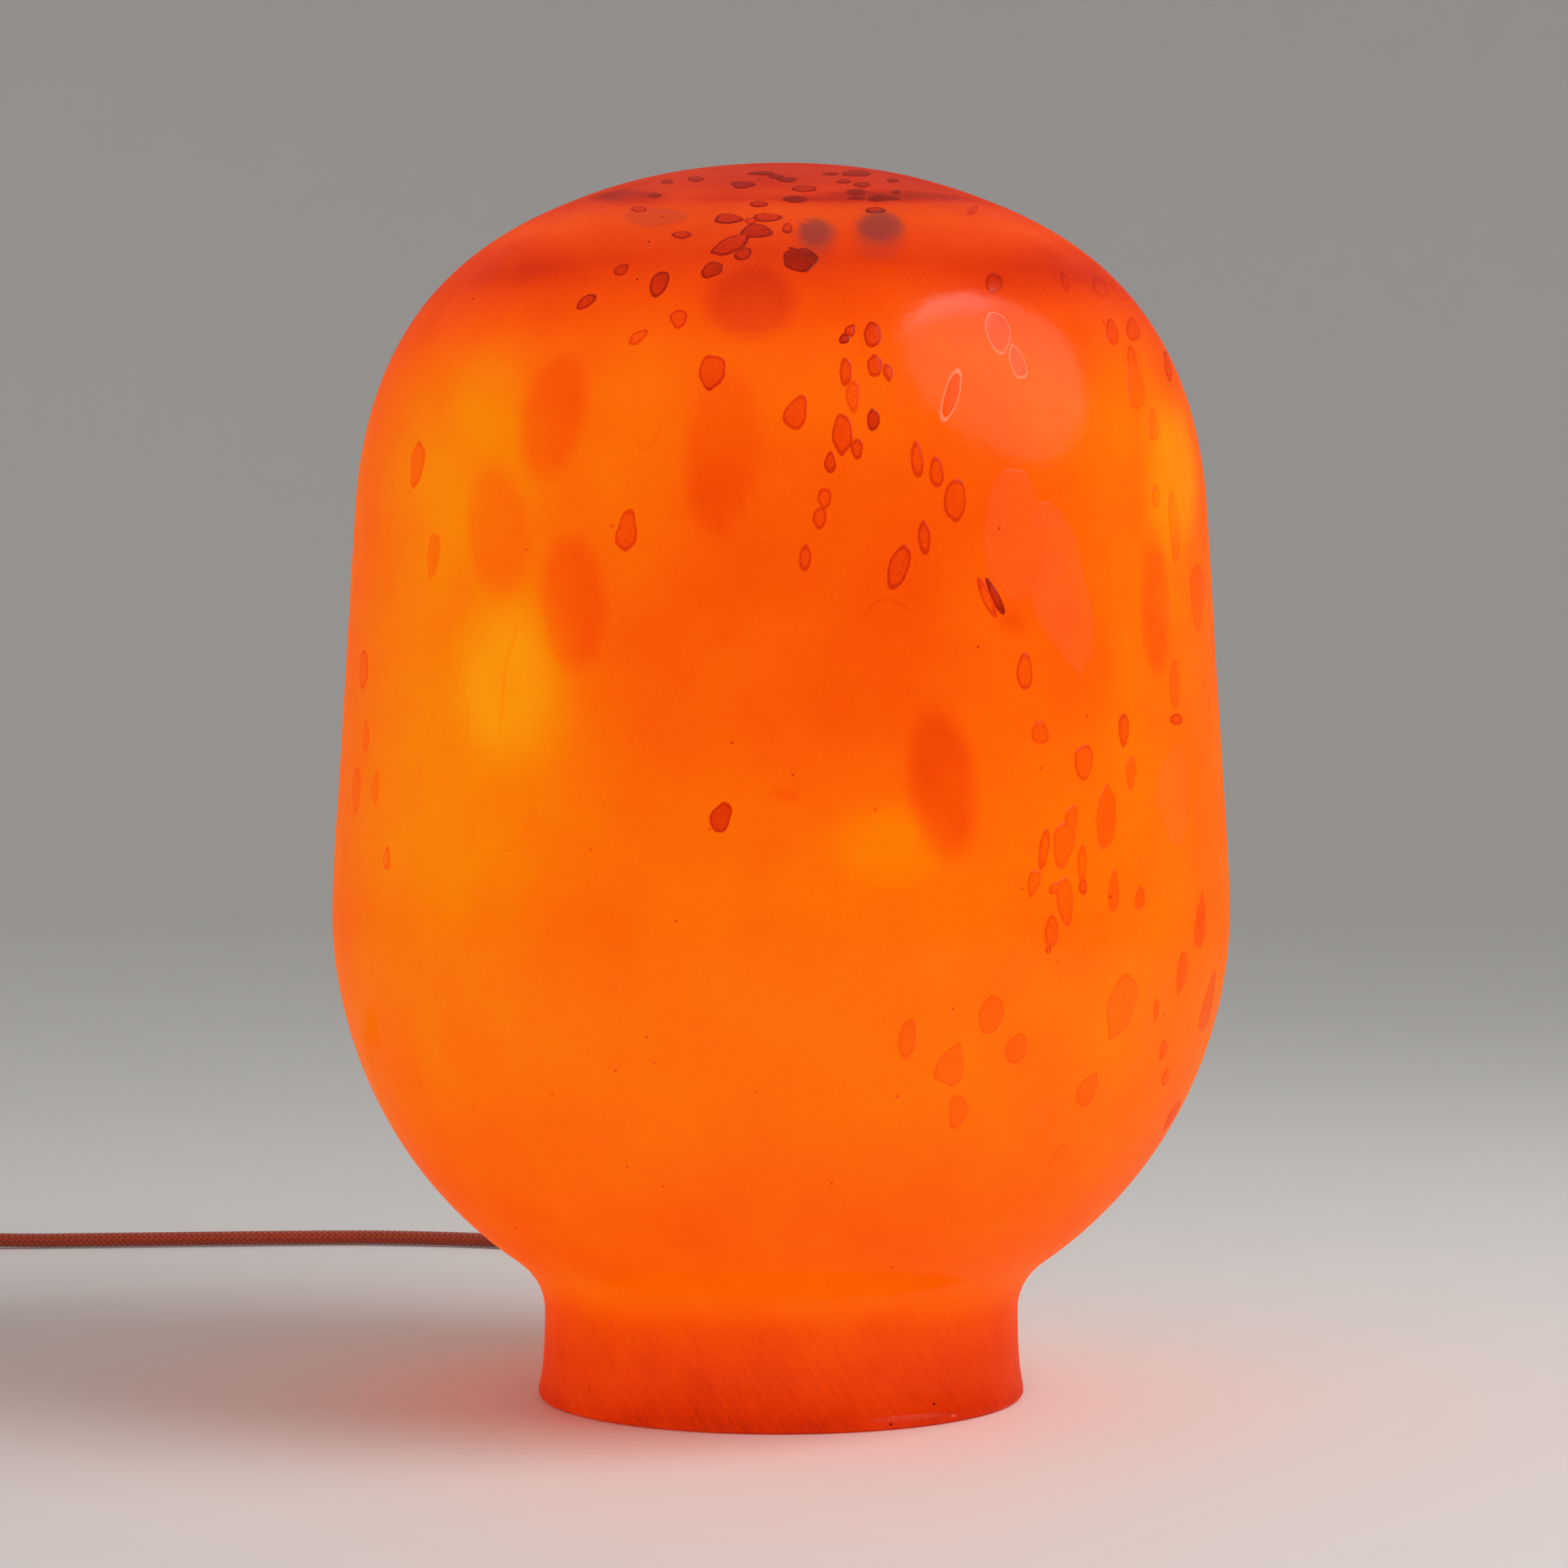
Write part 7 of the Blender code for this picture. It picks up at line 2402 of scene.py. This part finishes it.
@dataclass
class MainsPlug:
    """The flat two-pin plug with grip ridges and half-sleeved pins."""

    end_width: float = 0.013
    steepness: float = 1.4
    edge: float = 0.0028
    ridge: float = 0.0008
    ridges: int = 5
    ridge_start: float = 0.22
    ridge_step: float = 0.085
    ridge_share: float = 0.55
    ridge_growth: float = 0.0011
    ridge_height: float = 0.0012
    ridge_edge: float = 0.0003
    pin_start: float = 0.2
    pin_sides: int = 40
    sleeve_length: float = 0.010
    sleeve_rise: float = 0.0001
    sleeve_edge: float = 0.0002

    def body(self) -> Piece:
        """Makes the moulded body.

        Returns:
            The piece.
        """
        low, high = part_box("plug_body")
        length, width, thickness = high - low
        side = []
        for share in np.linspace(0.0, 1.0, 25):
            swell = 0.5 - 0.5 * math.cos(math.pi * min(1.0, self.steepness * share))
            side.append((length * share, self.end_width / 2 + (width - self.end_width) / 2 * swell))
        outline = [(x, -y) for x, y in side] + side[::-1]
        place = Matrix.Translation((low.x, (low.y + high.y) / 2, (low.z + high.z) / 2))
        top = place @ Matrix.Translation((0.0, 0.0, thickness / 2))
        body = Shape().plate([outline], thickness, self.edge, place)
        for number in range(self.ridges):
            x = length * (self.ridge_start + self.ridge_step * number)
            half = self.end_width / 2 * self.ridge_share + self.ridge_growth * number
            bar = arc((x, half), self.ridge, 0, 180, 6) + arc((x, -half), self.ridge, 180, 360, 6)
            body.plate([bar], self.ridge_height, self.ridge_edge, top)
        return body.settle("plug_body_moulded", Finish.DARK, "plug_body", sharp=32)

    def pin(self, node: str) -> Piece:
        """Makes a round pin, sleeved over the half next to the body.

        Args:
            node: The frame's node it stands for.

        Returns:
            The piece.
        """
        low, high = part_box(node)
        radius = (high.y - low.y) / 2
        length = high.x - low.x
        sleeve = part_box("plug_body")[1].x - low.x + self.sleeve_length
        thin = radius - self.sleeve_rise
        outline = [(0.0, length)]
        for angle in np.linspace(self.pin_start, QUARTER_TURN, 8):
            outline.append((thin * math.sin(angle), length - thin * (1.0 - math.cos(angle))))
        outline += [(thin, sleeve), (radius, sleeve - self.sleeve_edge), (radius, 0.0), (0.0, 0.0)]
        turn = Matrix.Rotation(QUARTER_TURN, 4, "Y")
        place = Matrix.Translation((low.x, (low.y + high.y) / 2, (low.z + high.z) / 2)) @ turn
        mesh = Shape().turn(outline, self.pin_sides, place=place).mesh(f"{node}_sleeved", 32)
        for finish in (Finish.NICKEL, Finish.DARK):
            mesh.materials.append(finish.value.material)
        sleeve_end = low.x + sleeve - self.sleeve_edge / 4
        for face in mesh.polygons:
            face.material_index = 1 if face.center.x < sleeve_end else 0
        return settle(f"{node}_sleeved", mesh, Finish.NICKEL, node)

    def build(self) -> list[Piece]:
        """Makes the plug's pieces."""
        return [self.body(), self.pin("plug_pin_1"), self.pin("plug_pin_2")]


@dataclass
class CordTie:
    """The woven strap that holds the coil."""

    thickness: float = 0.0009
    band_share: float = 0.94
    edge_share: float = 0.45
    rounding: float = 0.003

    def build(self) -> Piece:
        """Makes the strap as a band round the coil's turns.

        Returns:
            The piece.
        """
        low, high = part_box("cord_tie")
        middle = (low + high) / 2
        half_x, wide, half_z = (high.x - low.x) / 2, high.y - low.y, (high.z - low.z) / 2
        band = self.thickness * self.band_share
        corner = self.rounding + self.thickness
        loop: list[Pair] = []
        for sign_x, sign_z, start in ((1, 1, 0), (-1, 1, 90), (-1, -1, 180), (1, -1, 270)):
            centre = (sign_x * (half_x - corner), sign_z * (half_z - corner))
            loop += arc(centre, corner, start, start + 90, 8)
        line = np.array(loop)
        along = lengths_along(np.concatenate((line, line[:1])))
        edge, side = band * self.edge_share, wide / 2
        section = [(-side + edge, 0.0), (side - edge, 0.0), (side, -edge), (side, -band + edge)]
        section += [(side - edge, -band), (-side + edge, -band), (-side, -band + edge), (-side, -edge)]
        rings = []
        for (x, z), way in zip(line, unit_rows(np.roll(line, -1, axis=0) - np.roll(line, 1, axis=0))):
            out_x, out_z = way[1], -way[0]
            x, z = middle.x + x, middle.z + z
            rings.append([(x + out_x * lift, middle.y + y, z + out_z * lift) for y, lift in section])
        across = [y / wide for y, _ in section + section[:1]]
        strap = Shape().skin(np.array(rings), across, along, closed=True)
        return strap.settle("cord_tie_woven", Finish.STRAP, "cord_tie", sharp=50)


# Studio


@dataclass
class Studio:
    """A pale round backdrop, one soft lamp and an even sky."""

    floor_radius: float = 4.0
    wall_radius: float = 5.5
    wall_height: float = 3.0
    floor_drop: float = 0.0004
    sides: int = 96
    sky: Colour = (1.0, 0.99, 0.975, 1.0)
    sky_strength: float = 0.43
    lamp_place: Triple = (1.286, -0.540, 1.240)
    lamp_turn: Triple = (0.897, 0.119, 1.239)
    lamp_size: Pair = (1.600, 1.352)
    lamp_power: float = 10.3
    lamp_spread: float = 130.0
    hot_gain: float = 3.0
    hot_across: Pair = (0.85, 0.55)  # where the bright end starts, and where it is full
    hot_upward: Pair = (0.78, 0.95)

    def build(self) -> None:
        """Makes the floor, the lamp and the sky."""
        bend = self.wall_radius - self.floor_radius
        outline = [(self.wall_radius, self.wall_height)]
        outline += arc((self.floor_radius, bend), bend, 0, -90, 16)
        outline += [(self.floor_radius * share, 0.0) for share in (0.75, 0.5, 0.25, 0.0)]
        floor = put("backdrop", Shape().turn(outline, self.sides).mesh("backdrop"))
        floor.location.z = -self.floor_drop
        floor.data.materials.append(Finish.FLOOR.value.material)
        floor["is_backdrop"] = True
        self.softbox()
        world = bpy.data.worlds.new("studio_sky")
        NodeSheet(world, "Background").set(Color=self.sky, Strength=self.sky_strength)
        bpy.context.scene.world = world

    def softbox(self) -> None:
        """Adds the soft lamp, brighter towards one end of its upper edge, where its own bulb is."""
        data = bpy.data.lights.new("key_softbox", "AREA")
        data.shape = "ELLIPSE"
        data.size, data.size_y = self.lamp_size
        data.energy = self.lamp_power
        data.spread = math.radians(self.lamp_spread)
        sheet = NodeSheet(data, "Emission")
        at = sheet.add("ShaderNodeNewGeometry", {}).outputs["Parametric"]
        parts = sheet.add("ShaderNodeSeparateXYZ", {0: at}).outputs
        shares = []
        for axis, fade in (("X", self.hot_across), ("Y", self.hot_upward)):
            shares.append(sheet.span(parts[axis], fade, (0.0, 1.0), interpolation_type="SMOOTHSTEP"))
        hot = {0: sheet.sum("MULTIPLY", *shares), 1: self.hot_gain, 2: 1.0}
        sheet.set(Strength=sheet.add("ShaderNodeMath", hot, operation="MULTIPLY_ADD").outputs[0])
        lamp = put("key_softbox", data)
        lamp.location = self.lamp_place
        lamp.rotation_euler = self.lamp_turn


def main() -> None:
    """Builds the lamp's pieces in order, then the studio."""
    logging.basicConfig(level=logging.INFO, format="%(name)s: %(message)s")
    for start in ("Cube", "Light", "Camera"):
        if start in bpy.data.objects:
            bpy.data.objects.remove(bpy.data.objects[start], do_unlink=True)
    bpy.context.scene.view_settings.view_transform = "Standard"
    camera = PhotoCamera()
    camera.make()
    cord = BraidedCord()
    run, rest = cord.build()
    switch = InlineSwitch().build()
    plug = MainsPlug().build()
    tie = CordTie().build()
    boot = WeightedBase().build()
    inner = [frame["nodes"][name] for name in ("switch_pin", "switch_contact_1", "switch_contact_2")]
    cord.declare(run, rest, [boot, *switch, *inner], [*plug, tie])
    Leads().build()
    Lampholder().build()
    LedBulb().build()
    glass = GlassShade(camera)
    glass.build()
    FusedChips(glass).build()
    Studio().build()


def write_size() -> None:
    boxes = {"cad": CAD_BOX, "visual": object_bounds()}
    {name: [list(corner) for corner in box] for name, box in boxes.items()}


if __name__ == "__main__":
    main()
    write_size()
